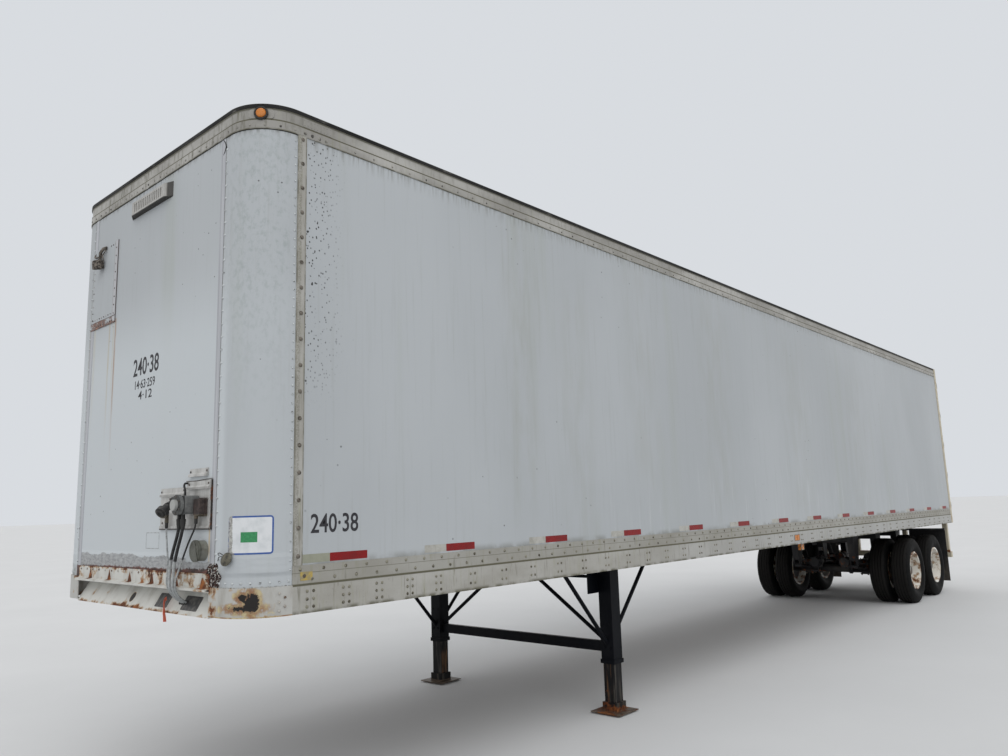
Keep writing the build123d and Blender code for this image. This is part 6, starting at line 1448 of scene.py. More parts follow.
WALL_INSET = 0.008
wall_face = side_y - WALL_INSET + LAID_ON
nose_face = skin_x + LAID_ON
NUMBER = "240·38"
SIDE_FIGURES = (0.330, 0.108)
NOSE_FIGURES = (0.372, 0.118)
painted = joined(
    figures(NUMBER, (6.748, wall_face, 1.675), SIDE_FIGURES, (-1, 0, 0)),
    figures(NUMBER, (6.748, -wall_face, 1.675), SIDE_FIGURES, (1, 0, 0)),
    figures(NUMBER, (nose_face, -0.008, 2.720), NOSE_FIGURES, (0, 1, 0)),
    figures("14·63·259", (nose_face, -0.0125, 2.6015), (0.292, 0.058), (0, 1, 0), 0.006),
    figures("4·12", (nose_face, -0.0035, 2.5280), (0.200, 0.056), (0, 1, 0), 0.006),
)
make("painted_figures", *painted, figure_paint.material, slot="panel", smooth=False)

# What a lost placard has left on the nose: four thin worn lines of old glue.
SQUARE_MIDDLE = (nose_face, 0.1945, 1.596)
SQUARE_WIDE = 0.173
SQUARE_HIGH = 0.094
GLUE_LINE = 0.0038
square_spread = (SQUARE_WIDE / 2, SQUARE_HIGH / 2)
level_line, upright_line = (SQUARE_WIDE, GLUE_LINE), (GLUE_LINE, SQUARE_HIGH)
glue = joined(*four_bars(SQUARE_MIDDLE, (0, 1, 0), square_spread, level_line, upright_line, 0.0004))
GLUE_TONES = ((0.225, 0.235, 0.240), (0.41, 0.43, 0.44))
old_glue = mottled("old_glue", (50, 5, 0.7), (0.4, 0.6), GLUE_TONES, 0.7, Specular_IOR_Level=0.3)
make("placard_outline", *glue, old_glue, slot="panel", smooth=False)


# Landing gear: square outer legs on bolted plates, with bracing of round bar, a crossbar and a
# gearbox with its shaft and crank, all brushed a blue-black that still holds.
LEG_BLACK = (0.0026, 0.0034, 0.0056)
LEG_DUST = (0.0085, 0.0092, 0.0115)
leg_low, leg_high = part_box("landing_legs")
LEG_Y = 1.063
LEG_X = (leg_low.x + leg_high.x) / 2
LEG_HALF = 0.0635


def leg_paint(name, rust):
    """Blue-black paint with a film of dust, chipped to rust along the runs of water."""
    finish = Finish(name, Specular_IOR_Level=0.08)
    rusted = rust_cover(finish, rust)
    dusty = finish.clouds(5, 6, 0.6, (1, 1, 0.5)).rise(0.44, 0.72)
    colour = dusty.blend(LEG_BLACK, LEG_DUST)
    colour = rusted.blend(colour, (0.6 * rusted).blend(RUST_DARK, (0.10, 0.05, 0.03)))
    lumps = rusted * 0.5 + finish.clouds(80, 4) * 0.4
    return finish.paint(colour, dusty * 0.15 + 0.42, None, lumps)


leg_finish = leg_paint("leg_blue_black", -0.01)
clothe(leg_finish, "landing_legs", "landing_braces", "landing_gearbox")

# Inner tubes and feet: the tubes are scraped bare in long runs where they slide, grease has run
# down them, and the dished pads are brown, the left one fresh red at its neck.
feet = Finish("sliding_tubes", Specular_IOR_Level=0.12)
runs = feet.clouds(9, 6, 0.65, (3.2, 3.2, 0.28))
scraped = runs.rise(0.50, 0.66)
colour = scraped.blend((0.008, 0.008, 0.009), (0.070, 0.064, 0.056))
orange_runs = feet.clouds(7, 5, 0.6, (4, 4, 0.3)).rise(0.56, 0.68)
colour = (orange_runs * 0.7).blend(colour, (0.150, 0.080, 0.040))
red_side = feet.y.rise(0, 0.5) * feet.z.rise(0.30, 0.03)
rusted = rust_cover(feet, red_side * 0.16 + feet.z.rise(0.16, 0.02) * 0.10 - 0.04)
colour = rusted.blend(colour, rust_colour(feet, 1.6))
pad = feet.z.rise(0.034, 0.026)
pad_dirt = feet.clouds(17, 6, 0.62).rise(0.35, 0.65)
pad_dirt = pad_dirt.blend((0.060, 0.046, 0.036), (0.135, 0.105, 0.080))
colour = (pad * (1 - rusted * 0.75)).blend(colour, pad_dirt)
bare_steel = scraped * 0.3 * (1 - rusted)
feet.paint(colour, rusted * 0.3 + 0.45, bare_steel, runs * 0.3 + rusted, 0.0012)
clothe(feet.material, "landing_feet")

HEX = [(1.0, 0.0), (1.0, 0.82), (0.86, 1.0)]


def nuts(places, axes, across=0.012, height=0.009):
    """Hexagon heads: a six-sided profile with its top edge taken off."""
    return turned([(r * across, h * height) for r, h in HEX], 6, places, axes)


# Bolts of the mounting plates, of the legs' caps and of the crossbar's ends
PLATE_INNER_Y = 0.9895
CROSSBAR_Z = 0.530
leg_front = LEG_X + LEG_HALF
plate_bolts = [(LEG_X + x, z) for x in (-0.17, -0.115, 0.115, 0.17) for z in (1.180, 1.120, 1.050)]
leg_bolts = []
for s in (1, -1):
    plate_places = [(x, s * PLATE_INNER_Y, z) for x, z in plate_bolts]
    leg_bolts.append(nuts(plate_places, (0, -s, 0), 0.0125, 0.010))
    cap_places = [(leg_front, s * LEG_Y + y, z) for y in (-0.035, 0.035) for z in (1.165, 0.720)]
    leg_bolts.append(nuts(cap_places, (1, 0, 0), 0.009, 0.007))
    crossbar_places = [(leg_front, s * LEG_Y + y, CROSSBAR_Z) for y in (-0.03, 0.03)]
    leg_bolts.append(nuts(crossbar_places, (1, 0, 0), 0.011, 0.009))
make("leg_bolts", *joined(*leg_bolts), leg_finish, slot="leg_paint")

# Round lid of the right leg's gearbox on its inner face, with a bolt in each corner beside it.
GEAR_SIDE_Y = 0.8995
GEAR_Z = 1.100
SHAFT_X = LEG_X - 0.060
GEAR_LID = ((0.044, 0.0), (0.044, 0.004), (0.038, 0.007), (0.016, 0.007))
lid_bolts = [(SHAFT_X + a, -GEAR_SIDE_Y, GEAR_Z + b) for a, b in four_corners(0.040, 0.040)]
gear_trim = joined(
    turned(GEAR_LID, 20, [(SHAFT_X, -GEAR_SIDE_Y, GEAR_Z)], (0, 1, 0)),
    nuts(lid_bolts, (0, 1, 0), 0.007, 0.005),
)
make("gearbox_lid", *gear_trim, leg_finish, slot="leg_paint")


# Rear frame: posts, header and sill welded of pressed steel into one portal round the doorway,
# painted cream, with rust at the sill, in the welds and in tears down from each hinge lug.
CREAM = (0.50, 0.455, 0.345)
frame_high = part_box("rear_frame")[1]
guard_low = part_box("underride_guard")[0]
door_low, door_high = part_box("door_left")
DOOR_FACE = door_low.x


def frame_rust(finish):
    """Heavy at the sill and on the side faces, in runs below the hinges and light elsewhere."""
    sill = finish.z.rise(door_low.z + 0.12, door_low.z - 0.06)
    runs = finish.clouds(5, 5, 0.6, (4, 4, 0.35)).rise(0.5, 0.75)
    flank = abs(finish.y).rise(side_y - 0.006, side_y - 0.001) * 0.45
    return sill.either(runs * 0.5).either(flank) * 0.15 - 0.025


clothe(rusty_paint("cream_frame", CREAM, frame_rust, (0.26, 0.215, 0.15)), "rear_frame")
frame_heads = worn_and_painted_light_heads("frame_rivet_heads", (0.11, 0.070, 0.040), (0.42, 0.38, 0.30), 0.5)
POST_ROW_X = -7.245
SILL_ROW_X = DOOR_FACE + 0.008
SILL_ROW_Z = 1.225
SILL_BOLT_Y = (-1.20, -0.72, -0.60, -0.30, -0.15, 0.15, 0.30, 0.60, 0.72, 1.20)
post_z = np.arange(door_low.z + 0.05, door_high.z, RIVET_PITCH)
frame_bolts = [rivets(on_row(POST_ROW_X, s * side_y, post_z), (0, s, 0)) for s in (1, -1)]
sill_row = on_row(SILL_ROW_X, SILL_BOLT_Y, SILL_ROW_Z)
frame_bolts.append(rivets(sill_row, (-1, 0, 0), 0.010, 0.006))
make("frame_rivets", *joined(*frame_bolts), frame_heads, slot="painted")


# Swing doors: plywood cores faced with painted aluminium on both sides, in a folded edge channel
# with rivets round it, and a black rubber seal lapping the frame.
SEAL_WIDTH = 0.026
SEAL_PROUD = 0.0035
CHANNEL = 0.045
door_skin = Finish("door_skin", Specular_IOR_Level=0.4)
colour, clouds = chalked_skin(door_skin)
from_edge = abs(abs(door_skin.y) - (door_low.y + door_high.y) / 2)
door_half = (door_high.y - door_low.y) / 2
channel_edge = from_edge.rise(door_half - CHANNEL - 0.003, door_half - CHANNEL)
channel_line = from_edge.within(door_half - CHANNEL - 0.002, door_half - CHANNEL, 0.0015)
door_runs = door_skin.clouds(6, 6, 0.6, (6, 6, 0.3)).rise(0.48, 0.72)
foot_dirt = door_skin.clouds(7, 6, 0.6, (2, 2, 0.6)).rise(0.36, 0.62)
foot_dirt = foot_dirt * door_skin.z.rise(door_low.z + 0.55, door_low.z)
colour = (door_runs * 0.35).blend(colour, (0.24, 0.22, 0.17))
colour = (channel_edge * 0.4).blend(colour, (0.33, 0.32, 0.29))
colour = (foot_dirt * 0.7).either(channel_line * 0.8).blend(colour, (0.10, 0.085, 0.065))
inner_face = door_skin.x.rise(DOOR_FACE + 0.028, DOOR_FACE + 0.031)
scuffed = door_skin.clouds(2.5, 6, 0.62, (1, 1, 1.6)).rise(0.42, 0.66)
colour = inner_face.blend(colour, scuffed.blend((0.42, 0.42, 0.40), (0.335, 0.325, 0.300)))
door_skin.paint(colour, clouds * 0.15 + 0.45, None, clouds * 2 + door_runs * 0.2, 0.0012)
clothe(door_skin.material, "door_left", "door_right")

door_heads = worn_and_painted_light_heads("door_rivet_heads", (0.10, 0.085, 0.065), (0.46, 0.45, 0.42), 0.4)
door_z = (door_low.z + door_high.z) / 2
door_tall = door_high.z - door_low.z
seal_spread = (door_half - SEAL_WIDTH / 2, (door_tall - SEAL_WIDTH) / 2)
level_seal = (2 * door_half, SEAL_WIDTH)
upright_seal = (SEAL_WIDTH, door_tall - 2 * SEAL_WIDTH - 0.002)
RIVET_INSET = 0.036
inset_y = door_half - RIVET_INSET
row_levels = (door_low.z + RIVET_INSET, door_high.z - RIVET_INSET)
edge_z = np.arange(door_low.z + 0.06, door_high.z - 0.03, RIVET_PITCH)
edge_y = np.arange(-door_half + 0.08, door_half - 0.05, RIVET_PITCH)
for side, sign in (("left", 1), ("right", -1)):
    middle = sign * (door_low.y + door_high.y) / 2
    place = (DOOR_FACE, middle, door_z)
    bands = four_bars(place, (0, -1, 0), seal_spread, level_seal, upright_seal, SEAL_PROUD)
    make(f"door_seal_{side}", *joined(*bands), black_rubber, f"door_{side}", "rubber", False)
    columns = [on_row(DOOR_FACE, middle + y, edge_z) for y in (inset_y, -inset_y)]
    rows = [on_row(DOOR_FACE, middle + edge_y, z) for z in row_levels]
    heads = rivets(np.concatenate(columns + rows), (-1, 0, 0), 0.006, 0.003)
    make(f"door_rivets_{side}", *heads, door_heads, f"door_{side}", "panel")


# Door hardware: pressed hinge straps, lock rods in their guides with cams at both ends, and the
# handle, all zinc plated once and now dull with rust in every corner.
zinc = Finish("dull_zinc", Metallic=0.55, Specular_IOR_Level=0.5)
clouded = zinc.clouds(9, 6, 0.6)
colour = clouded.rise(0.35, 0.7).blend((0.34, 0.335, 0.315), (0.215, 0.205, 0.185))
rusted = rust_cover(zinc, zinc.clouds(2.2, 4) * 0.18 - 0.075)
colour = rusted.blend(colour, rust_colour(zinc, 1.8))
lumps = rusted * 0.6 + zinc.clouds(90, 4) * 0.2
zinc.paint(colour, rusted * 0.4 + 0.38, (1 - rusted) * 0.55, lumps)
clothe(zinc.material, "door_hardware_left", "door_hardware_right")
STRAP_FACE = DOOR_FACE - 0.008
HINGE_Y = 1.2815
HINGE_END = 0.160
HINGE_Z = np.linspace(door_low.z + HINGE_END, door_high.z - HINGE_END, 5)
STRAP_BOLTS = (0.130, 0.215, 0.305)
ROD_Y = 0.182
GUIDE_Z = (door_low.z + HINGE_END, 2.280, door_high.z - HINGE_END)
for side, sign in (("left", 1), ("right", -1)):
    places = [(STRAP_FACE, sign * (HINGE_Y - reach), z) for z in HINGE_Z for reach in STRAP_BOLTS]
    guide_places = [(DOOR_FACE, sign * (ROD_Y + y), z) for z in GUIDE_Z for y in (-0.052, 0.052)]
    heads = joined(
        nuts(places, (-1, 0, 0), 0.0115, 0.0065),
        nuts(guide_places, (-1, 0, 0), 0.010, 0.007),
    )
    make(f"door_bolts_{side}", *heads, zinc.material, f"door_{side}", "steel")


# Drop guard: square bar on four posts, welded and painted cream. It is still straight but rusts
# along the welds.
def guard_rust(finish):
    """At the welds of the posts on the bar, and in patches elsewhere."""
    weld = finish.z.within(guard_low.z + 0.095, guard_low.z + 0.13, 0.02)
    return weld.either(finish.clouds(4, 5).rise(0.5, 0.7) * 0.7) * 0.16 - 0.035


clothe(rusty_paint("cream_guard", CREAM, guard_rust, (0.23, 0.19, 0.135)), "underride_guard")


# Dual wheels: pressed steel discs back to back, once painted white, rusting round the lips, the
# nuts and the hand holes, on a black hub with an oily cap.
AXLE_X = (-4.750, -5.995)
AXLE_Z = 0.513
AXLE_MIDDLE = sum(AXLE_X) / 2
AXLE_HALF = (AXLE_X[0] - AXLE_X[1]) / 2
WHEEL_WHITE = (0.82, 0.80, 0.745)


def from_axle(finish):
    """Distance from the nearer of the two axles."""
    return (abs(finish.x - AXLE_MIDDLE) - AXLE_HALF).hypot(finish.z - AXLE_Z)


wheel = Finish("white_wheel_paint", Specular_IOR_Level=0.45)
radius = from_axle(wheel)
near_lip = radius.rise(0.255, 0.285) * 0.21
near_nuts = radius.within(0.112, 0.165, 0.012) * 0.12
# Brown over the upper part of each disc: partly rust, partly painted shade of the deep dish under its
# rim.
upper_rust_and_shade = (wheel.z + wheel.clouds(2.4, 3) * 0.3).rise(0.60, 0.74) * 0.20
amount = near_lip.either(near_nuts).either(upper_rust_and_shade) - 0.060
rusted = rust_cover(wheel, amount)
halo = rust_cover(wheel, amount + 0.07)
stained = wheel.clouds(7, 6, 0.62).rise(0.40, 0.70)
colour = (stained * 0.4).blend(WHEEL_WHITE, (0.34, 0.29, 0.22))
colour = (halo * 0.75).blend(colour, (0.34, 0.195, 0.085))
colour = rusted.blend(colour, rust_colour(wheel, 1.4))
inner_disc = abs(wheel.y).rise(0.957, 0.947) * radius.rise(0.260, 0.250)
hub_black = radius.rise(0.118, 0.112).either(inner_disc)
hub_tone = wheel.clouds(18, 6, 0.65).rise(0.45, 0.68)
hub_tone = hub_tone.blend((0.020, 0.018, 0.017), (0.105, 0.070, 0.048))
colour = hub_black.blend(colour, hub_tone)
wheel.paint(colour, rusted * 0.35 + 0.45, None, rusted * 0.6 + wheel.clouds(60, 4) * 0.2, 0.0015)

WHEEL_NUTS = 10
NUT_CIRCLE = 0.1429
DISC_FACE = 0.9715
CAP_BOLTS = 6
CAP_CIRCLE = 0.087
HUB_FACE = 1.1295
STUD = ((0.0105, 0.026), (0.0105, 0.040), (0.007, 0.043))
wheel_nut_finish = worn_and_painted_light_heads("rusty_wheel_nuts", (0.075, 0.035, 0.018), (0.30, 0.25, 0.19), 0.6)

# Tyres: ribbed highway tread on worn radial casings. Across the half profile, offset from the
# middle plane and radius, in metres: ribs, grooves and shoulder, then the bead.
TREAD = (
    *((0.0, 0.5130), (0.0175, 0.5130), (0.0190, 0.5000), (0.0270, 0.5000), (0.0285, 0.5130)),
    *((0.0600, 0.5125), (0.0615, 0.4995), (0.0695, 0.4995), (0.0710, 0.5120), (0.0940, 0.5105)),
    *((0.1040, 0.5050), (0.1105, 0.4965)),
)
SIDEWALL_POINTS = 12
SIDEWALL_BULGE = 0.0345
BEAD = (0.1007, 0.2983)
BEAD_FOOT = (0.1000, 0.2870)
SEGMENTS = 96
SIPE_DEPTH = 0.007
SIPE_EVERY = 3
TYRE_CENTRES = (1.1295, 0.7935)


def tyre(axle_x, centre, sign):
    """One tyre: point (i, j) is profile point j turned by i / SEGMENTS of a circle about the axle.
    The sidewall bulges by a sine from shoulder to bead, and each third row of the shoulder, whose
    points are 9 and 10 of the tread, is cut in."""
    t = np.linspace(0, 1, SIDEWALL_POINTS + 2)[1:-1]
    wall_r = TREAD[-1][1] + t * (BEAD[1] - TREAD[-1][1])
    wall_y = TREAD[-1][0] + t * (BEAD[0] - TREAD[-1][0]) + SIDEWALL_BULGE * np.sin(np.pi * t)
    half = np.array([*TREAD, *zip(wall_y, wall_r), BEAD, BEAD_FOOT])
    shoulder = np.isin(np.arange(len(half)), (9, 10))
    outline = np.concatenate([half[::-1] * (-1, 1), half[1:]])
    cut = np.concatenate([shoulder[::-1], shoulder[1:]])
    angle = 2 * np.pi * np.arange(SEGMENTS) / SEGMENTS
    sunk = (np.arange(SEGMENTS) % SIPE_EVERY == 0)[:, None] * cut[None] * SIPE_DEPTH
    reach = outline[None, :, 1] - sunk
    x = axle_x + reach * np.cos(angle)[:, None]
    z = AXLE_Z + reach * np.sin(angle)[:, None]
    y = sign * centre + outline[None, :, 0] + 0 * x
    faces = grid(SEGMENTS, len(outline), wrap_rows=True, wrap_columns=True)
    return np.stack([x, y, z], -1), faces.tolist()


rubber = Finish("tyre_rubber", Specular_IOR_Level=0.08)
radius = from_axle(rubber)
tread_dust = radius.rise(0.494, 0.507)
bead_line = radius.within(0.318, 0.324, 0.003).either(radius.within(0.470, 0.473, 0.002))
cracks = rubber.clouds(38, 7, 0.7).rise(0.55, 0.66)
dusty = rubber.clouds(6, 6, 0.6).rise(0.40, 0.70)
colour = dusty.blend((0.0040, 0.0043, 0.0046), (0.0110, 0.0106, 0.0102))
colour = (tread_dust * 0.6).blend(colour, (0.018, 0.017, 0.016))
colour = (cracks * 0.35).blend(colour, (0.006, 0.006, 0.006))
rubber.paint(colour, dusty * 0.15 + 0.6, None, bead_line * 0.8 + cracks * 0.3, 0.0022)

for end, axle_x in zip(("front", "rear"), AXLE_X):
    for side, sign in (("left", 1), ("right", -1)):
        body = f"wheel_{end}_{side}"
        pair = joined(*[tyre(axle_x, centre, sign) for centre in TYRE_CENTRES])
        treaded = make(f"treaded_tyres_{end}_{side}", *pair, rubber.material, body, "tyre")
        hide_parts(f"tyres_{end}_{side}")
        clothe(wheel.material, f"wheels_{end}_{side}")
        x, z = on_circle(WHEEL_NUTS, NUT_CIRCLE)
        nut_places = on_row(axle_x + x, sign * DISC_FACE, AXLE_Z + z)
        x, z = on_circle(CAP_BOLTS, CAP_CIRCLE, 0)
        cap_places = on_row(axle_x + x, sign * HUB_FACE, AXLE_Z + z)
        heads = joined(
            nuts(nut_places, (0, sign, 0), 0.021, 0.026),
            turned(STUD, 8, nut_places, (0, sign, 0)),
            nuts(cap_places, (0, sign, 0), 0.009, 0.008),
        )
        make(f"wheel_nuts_{end}_{side}", *heads, wheel_nut_finish, body, "wheel_paint")


# Mud flaps: ribbed black rubber sheets that hang from a steel bar bolted under the bogie's tail,
# splashed with dust towards the foot.
flap_low, flap_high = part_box("mud_flaps")
flap = Finish("flap_rubber", Specular_IOR_Level=0.3)
splashed = flap.clouds(6, 6, 0.6, (1, 1, 0.7)).rise(0.38, 0.66) * flap.z.rise(0.95, 0.25)
colour = splashed.blend((0.012, 0.012, 0.013), (0.070, 0.060, 0.048))
ridge = abs((abs(flap.y) % 0.05) - 0.025).rise(0.004, 0.001)
clothe(flap.paint(colour, splashed * 0.2 + 0.6, None, ridge + splashed * 0.2, 0.0015), "mud_flaps")
FLAP_Y = 0.965
FLAP_BOLTS_Y = (0.72, 0.86, FLAP_Y, 1.07, 1.21)
FLAP_BAR = (0.58, 0.045)
FLAP_BAR_THICK = 0.004
flap_row_z = flap_high.z - 0.035
flap_bars = [(flap_low.x, s * FLAP_Y, flap_row_z) for s in (1, -1)]
bar_face = flap_low.x - FLAP_BAR_THICK
flap_bolts = [(bar_face, s * y, flap_row_z) for s in (1, -1) for y in FLAP_BOLTS_Y]
flap_fixings = joined(
    plates(rectangle(*FLAP_BAR), flap_bars, (0, -1, 0), (0, 0, 1), FLAP_BAR_THICK),
    nuts(flap_bolts, (-1, 0, 0), 0.010, 0.008),
)
make("flap_fixings", *flap_fixings, zinc.material, slot="steel")


# Spring clamps: the nuts below each axle's clamp plate, two to a U-bolt, rusty steel like the
# wheel nuts.
CLAMP_FOOT = 0.4335
SPRING_Y = 0.470
clamp_places = [
    (x + dx, s * SPRING_Y + dy, CLAMP_FOOT)
    for x in AXLE_X for s in (1, -1) for dx, dy in four_corners(0.0765, 0.051)
]
clamp_nuts = nuts(clamp_places, (0, 0, -1), 0.015, 0.0155)
make("clamp_nuts", *clamp_nuts, wheel_nut_finish, slot="underbody")


# Lamps and reflectors: amber along the sides and at the nose, red behind, moulded lenses with
# domes and ribs over them, faded by the sun and dusty.
lenses = Finish("lens_plastic", Specular_IOR_Level=0.5, Roughness=0.3)
dulled = lenses.clouds(40, 5, 0.65).rise(0.35, 0.7)
amber = dulled.blend((0.62, 0.200, 0.018), (0.36, 0.125, 0.022))
red = dulled.blend((0.36, 0.016, 0.012), (0.20, 0.014, 0.011))
at_rear = lenses.x.rise(-7.0, -7.1)
hung = lenses.z.rise(1.196, 1.190) * lenses.x.within(-0.2, 0.2, 0.01)
crust = lenses.clouds(30, 7, 0.7).rise(0.50, 0.60) * hung
colour = crust.blend(at_rear.blend(amber, red), (0.030, 0.022, 0.016))
clothe(lenses.paint(colour, dulled * 0.2 + 0.22), "marker_lamps")

LENS_DOME = ((0.0275, 0.0), (0.0275, 0.003), (0.0235, 0.007), (0.016, 0.0095), (0.006, 0.0105))
RUBBER_RING = (
    *((0.0420, 0.0), (0.0420, 0.006), (0.0390, 0.011)),
    *((0.0330, 0.012), (0.0300, 0.009), (0.0300, 0.002)),
)
CORNER_LAMP_Z = 4.055
LAMP_PLATE = (0.150, 0.077)
LAMP_PLATE_POINTS = 28
lamp_arm = CORNER_RADIUS + 0.014


def squared(wave):
    """A sine or cosine to the power 0.7 with its sign kept, which squares a circle's shoulders."""
    return np.sign(wave) * np.abs(wave) ** 0.7


# The back plate's outline: half its width and height times squared cosine and sine
plate_cosine, plate_sine = on_circle(LAMP_PLATE_POINTS, 1.0, 0)
wide = squared(plate_cosine) * LAMP_PLATE[0] / 2
tall = squared(plate_sine) * LAMP_PLATE[1] / 2
domes, rings, backs = [], [], []
for s in (1, -1):
    out = np.array([math.sqrt(0.5), s * math.sqrt(0.5), 0])
    face = np.array([corner_x, s * corner_y, CORNER_LAMP_Z]) + out * lamp_arm
    domes.append(turned(LENS_DOME, 24, [face], out))
    rings.append(turned(RUBBER_RING, 24, [face - out * 0.009], out))
    bend = s * (math.pi / 4) + wide / CORNER_RADIUS
    hoop = []
    for reach in (0.0005, 0.0045):
        arm = CORNER_RADIUS + reach
        x, y = corner_x + arm * np.cos(bend), s * corner_y + arm * np.sin(bend)
        hoop.append(on_row(x, y, CORNER_LAMP_Z + tall))
    backs.append((np.concatenate(hoop), capped(1, 2, LAMP_PLATE_POINTS)))
amber_lens = Finish("amber_lens", Specular_IOR_Level=0.6, Roughness=0.25)
ribbed = amber_lens.z.math("SINE", amber_lens.z * 1400)
colour = amber_lens.clouds(50, 4).blend((0.70, 0.225, 0.016), (0.46, 0.150, 0.020))
amber_lens.paint(colour, 0.28, None, ribbed, 0.0004)
make("corner_lamp_domes", *joined(*domes), amber_lens.material, slot="lens")
make("corner_lamp_rings", *joined(*rings), black_rubber, slot="rubber")
make("corner_lamp_plates", *joined(*backs), band_material, slot="rail")

# Wide reflectors of the sills and the lamps hung below them, each in a frame of four bars.
REFLECTOR = (0.140, 0.060)
REFLECTOR_X, REFLECTOR_Z = 0.118, 1.271
FRAME_BAR = 0.006
reflector_spread = [(size + FRAME_BAR) / 2 for size in REFLECTOR]
level_bar, upright_bar = (REFLECTOR[0], FRAME_BAR), (FRAME_BAR, REFLECTOR[1] + 2 * FRAME_BAR)
HUNG_LAMP = (-0.037, 1.2905, 1.156)
HUNG_SPREAD = (0.041, 0.033)
HUNG_LEVEL, HUNG_UPRIGHT = (0.090, 0.008), (0.008, 0.066)
reflector_frames, reflectors = [], []
for s in (1, -1):
    face, across = (REFLECTOR_X, s * (side_y + 0.0002), REFLECTOR_Z), (-s, 0, 0)
    reflectors.append(plates(rectangle(*REFLECTOR), face, across, (0, 0, 1), 0.0034))
    reflector_frames += four_bars(face, across, reflector_spread, level_bar, upright_bar, 0.0042)
    lamp_face = np.array(HUNG_LAMP) * (1, s, 1)
    reflector_frames += four_bars(lamp_face, across, HUNG_SPREAD, HUNG_LEVEL, HUNG_UPRIGHT, 0.003)
make("reflector_frames", *joined(*reflector_frames), sill_heads, slot="lens", smooth=False)
make("wide_reflectors", *joined(*reflectors), lenses.material, slot="lens", smooth=False)

TAIL_Z = 1.271
TAIL_Y = (0.880, 1.030)
TAIL_RING = ((0.0600, 0.0), (0.0600, 0.010), (0.0560, 0.015), (0.0500, 0.015), (0.0490, 0.009))
TAIL_DOME = ((0.0480, 0.0), (0.0480, 0.003), (0.0400, 0.007), (0.0220, 0.010), (0.0060, 0.0105))
TAIL_X = -7.307
TAIL_SUNK = 0.014
tail_places = [(TAIL_X, s * y, TAIL_Z) for s in (1, -1) for y in TAIL_Y]
tail_faces = np.array(tail_places) - (TAIL_SUNK, 0, 0)
red_lens = Finish("red_lens", Specular_IOR_Level=0.6, Roughness=0.25)
dots = red_lens.spots(260).rise(0.3, 0.6)
colour = red_lens.clouds(40, 4).blend((0.42, 0.014, 0.010), (0.25, 0.012, 0.010))
red_lens.paint(colour, 0.28, None, dots, 0.0006)
tail_domes = turned(TAIL_DOME, 24, tail_faces, (-1, 0, 0))
make("tail_lamp_domes", *tail_domes, red_lens.material, slot="lens")
tail_rings = turned(TAIL_RING, 24, tail_places, (-1, 0, 0))
make("tail_lamp_rings", *tail_rings, black_rubber, slot="rubber")


# Reflective tape: 18 inch strips of white and red along both walls above the sill, and across the
# guard bar. The foremost white one has gone sage grey, and all have lost their shine.
TAPE_WHITE, TAPE_RED, TAPE_HIGH = 0.190, 0.267, 0.047
TAPE_Z = 1.4845
TAPE_FRONTS = [6.973, 6.058, 5.027, 3.969, 2.847] + list(np.arange(1.807, -7.0, -1.04))
TAPE_THICK = 0.0005


def strips(places, length, height, across):
    """Upright pieces of tape of one size, their faces towards across x up."""
    return plates(rectangle(length, height), places, across, (0, 0, 1), TAPE_THICK)


white_strips, red_strips = [], []
for s in (1, -1):
    whites = [(front - TAPE_WHITE / 2, s * wall_face, TAPE_Z) for front in TAPE_FRONTS]
    reds = [(front - TAPE_WHITE - TAPE_RED / 2, s * wall_face, TAPE_Z) for front in TAPE_FRONTS]
    reds = [place for place in reds if place[0] - TAPE_RED / 2 > frame_high.x]
    white_strips.append(strips(whites, TAPE_WHITE, TAPE_HIGH, (-s, 0, 0)))
    red_strips.append(strips(reds, TAPE_RED, TAPE_HIGH, (-s, 0, 0)))
GUARD_TAPE = (0.246, 0.048)
GUARD_PITCH = 0.5
guard_face, guard_tape_z = guard_low.x - LAID_ON, guard_low.z + 0.05
guard_y = np.arange(-1.0, 1.01, GUARD_PITCH)
guard_whites = on_row(guard_face, guard_y[1:] - GUARD_PITCH / 4, guard_tape_z)
guard_reds = on_row(guard_face, guard_y[:-1] + GUARD_PITCH / 4, guard_tape_z)
white_strips.append(strips(guard_whites, *GUARD_TAPE, (0, -1, 0)))
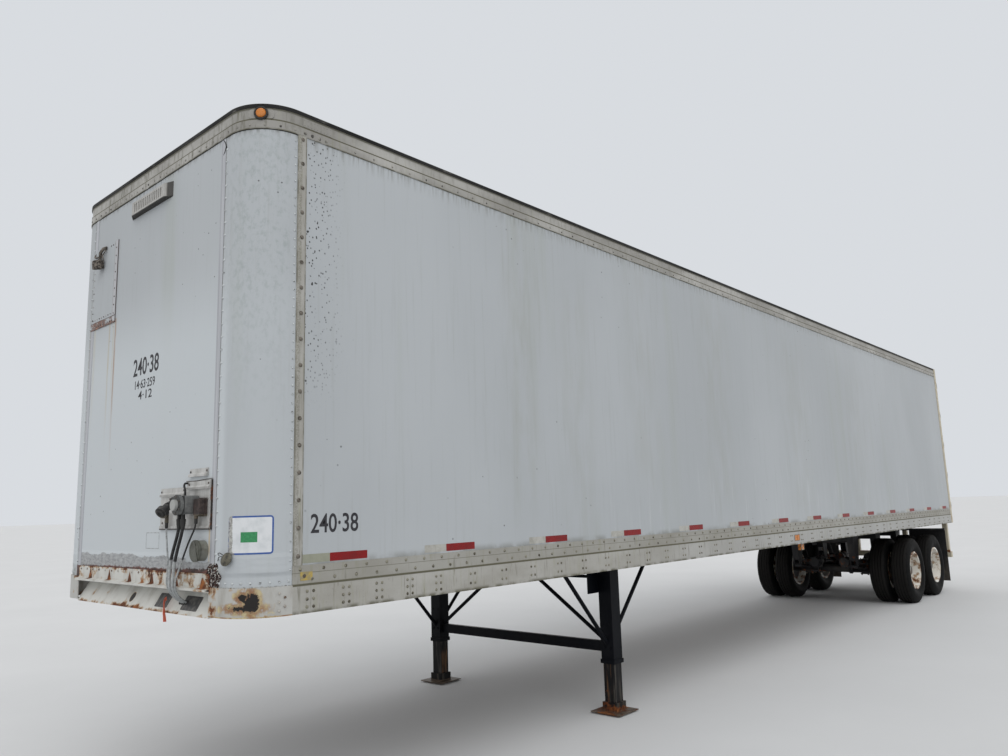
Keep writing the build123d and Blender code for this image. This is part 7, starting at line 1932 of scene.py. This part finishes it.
red_strips.append(strips(guard_reds, *GUARD_TAPE, (0, -1, 0)))


def tape_finish(name, bright, faded, sheen=0.15):
    """Tape with a fine diamond grid pressed in, faded in patches and scratched."""
    finish = Finish(name, Specular_IOR_Level=0.25)
    diamond_a = abs(((finish.x + finish.y + finish.z) * 160) % 1.0 - 0.5)
    diamond_b = abs(((finish.x + finish.y - finish.z) * 160) % 1.0 - 0.5)
    net = diamond_a.rise(0.40, 0.48).either(diamond_b.rise(0.40, 0.48))
    patchy = finish.clouds(12, 6, 0.65).rise(0.38, 0.68)
    colour = (net * sheen).blend(patchy.blend(bright, faded), (0.62, 0.60, 0.58))
    return finish, colour, net


tape, colour, net = tape_finish("white_tape", (0.44, 0.435, 0.405), (0.31, 0.305, 0.270))
sage = tape.x.rise(6.70, 6.72) * tape.y.rise(0, 0.5)
colour = sage.blend(colour, tape.clouds(25, 5).blend((0.245, 0.255, 0.195), (0.33, 0.335, 0.27)))
white_tape = tape.paint(colour, 0.4, None, net, 0.0002)
make("tape_white", *joined(*white_strips), white_tape, slot="lens", smooth=False)
tape, colour, net = tape_finish("red_tape", (0.225, 0.0040, 0.0060), (0.175, 0.0060, 0.0080), 0.01)
red_tape = tape.paint(colour, 0.4, None, net, 0.0002)
make("tape_red", *joined(*red_strips), red_tape, slot="lens", smooth=False)

# Faded yellow reflector on the left sill's front end, with a dark rivet through it.
AMBER_PLATE = (0.078, 0.046)
YELLOW_TONES = ((0.46, 0.33, 0.065), (0.28, 0.235, 0.130))
yellow_place = (6.941, flange_y + LAID_ON, 1.392)
yellow = mottled(
    "faded_yellow", (30, 6, 0.65), (0.35, 0.65), YELLOW_TONES, 0.4, Specular_IOR_Level=0.45
)
reflector = plates(rectangle(*AMBER_PLATE), yellow_place, (-1, 0, 0), (0, 0, 1), 0.002)
make("sill_reflector", *reflector, yellow, slot="lens", smooth=False)
stud = rivets([(6.955, flange_y + 0.002, 1.393)], (0, 1, 0), 0.011, 0.005)
make("sill_reflector_stud", *stud, dark_screws_and_edge_shade, slot="rail")
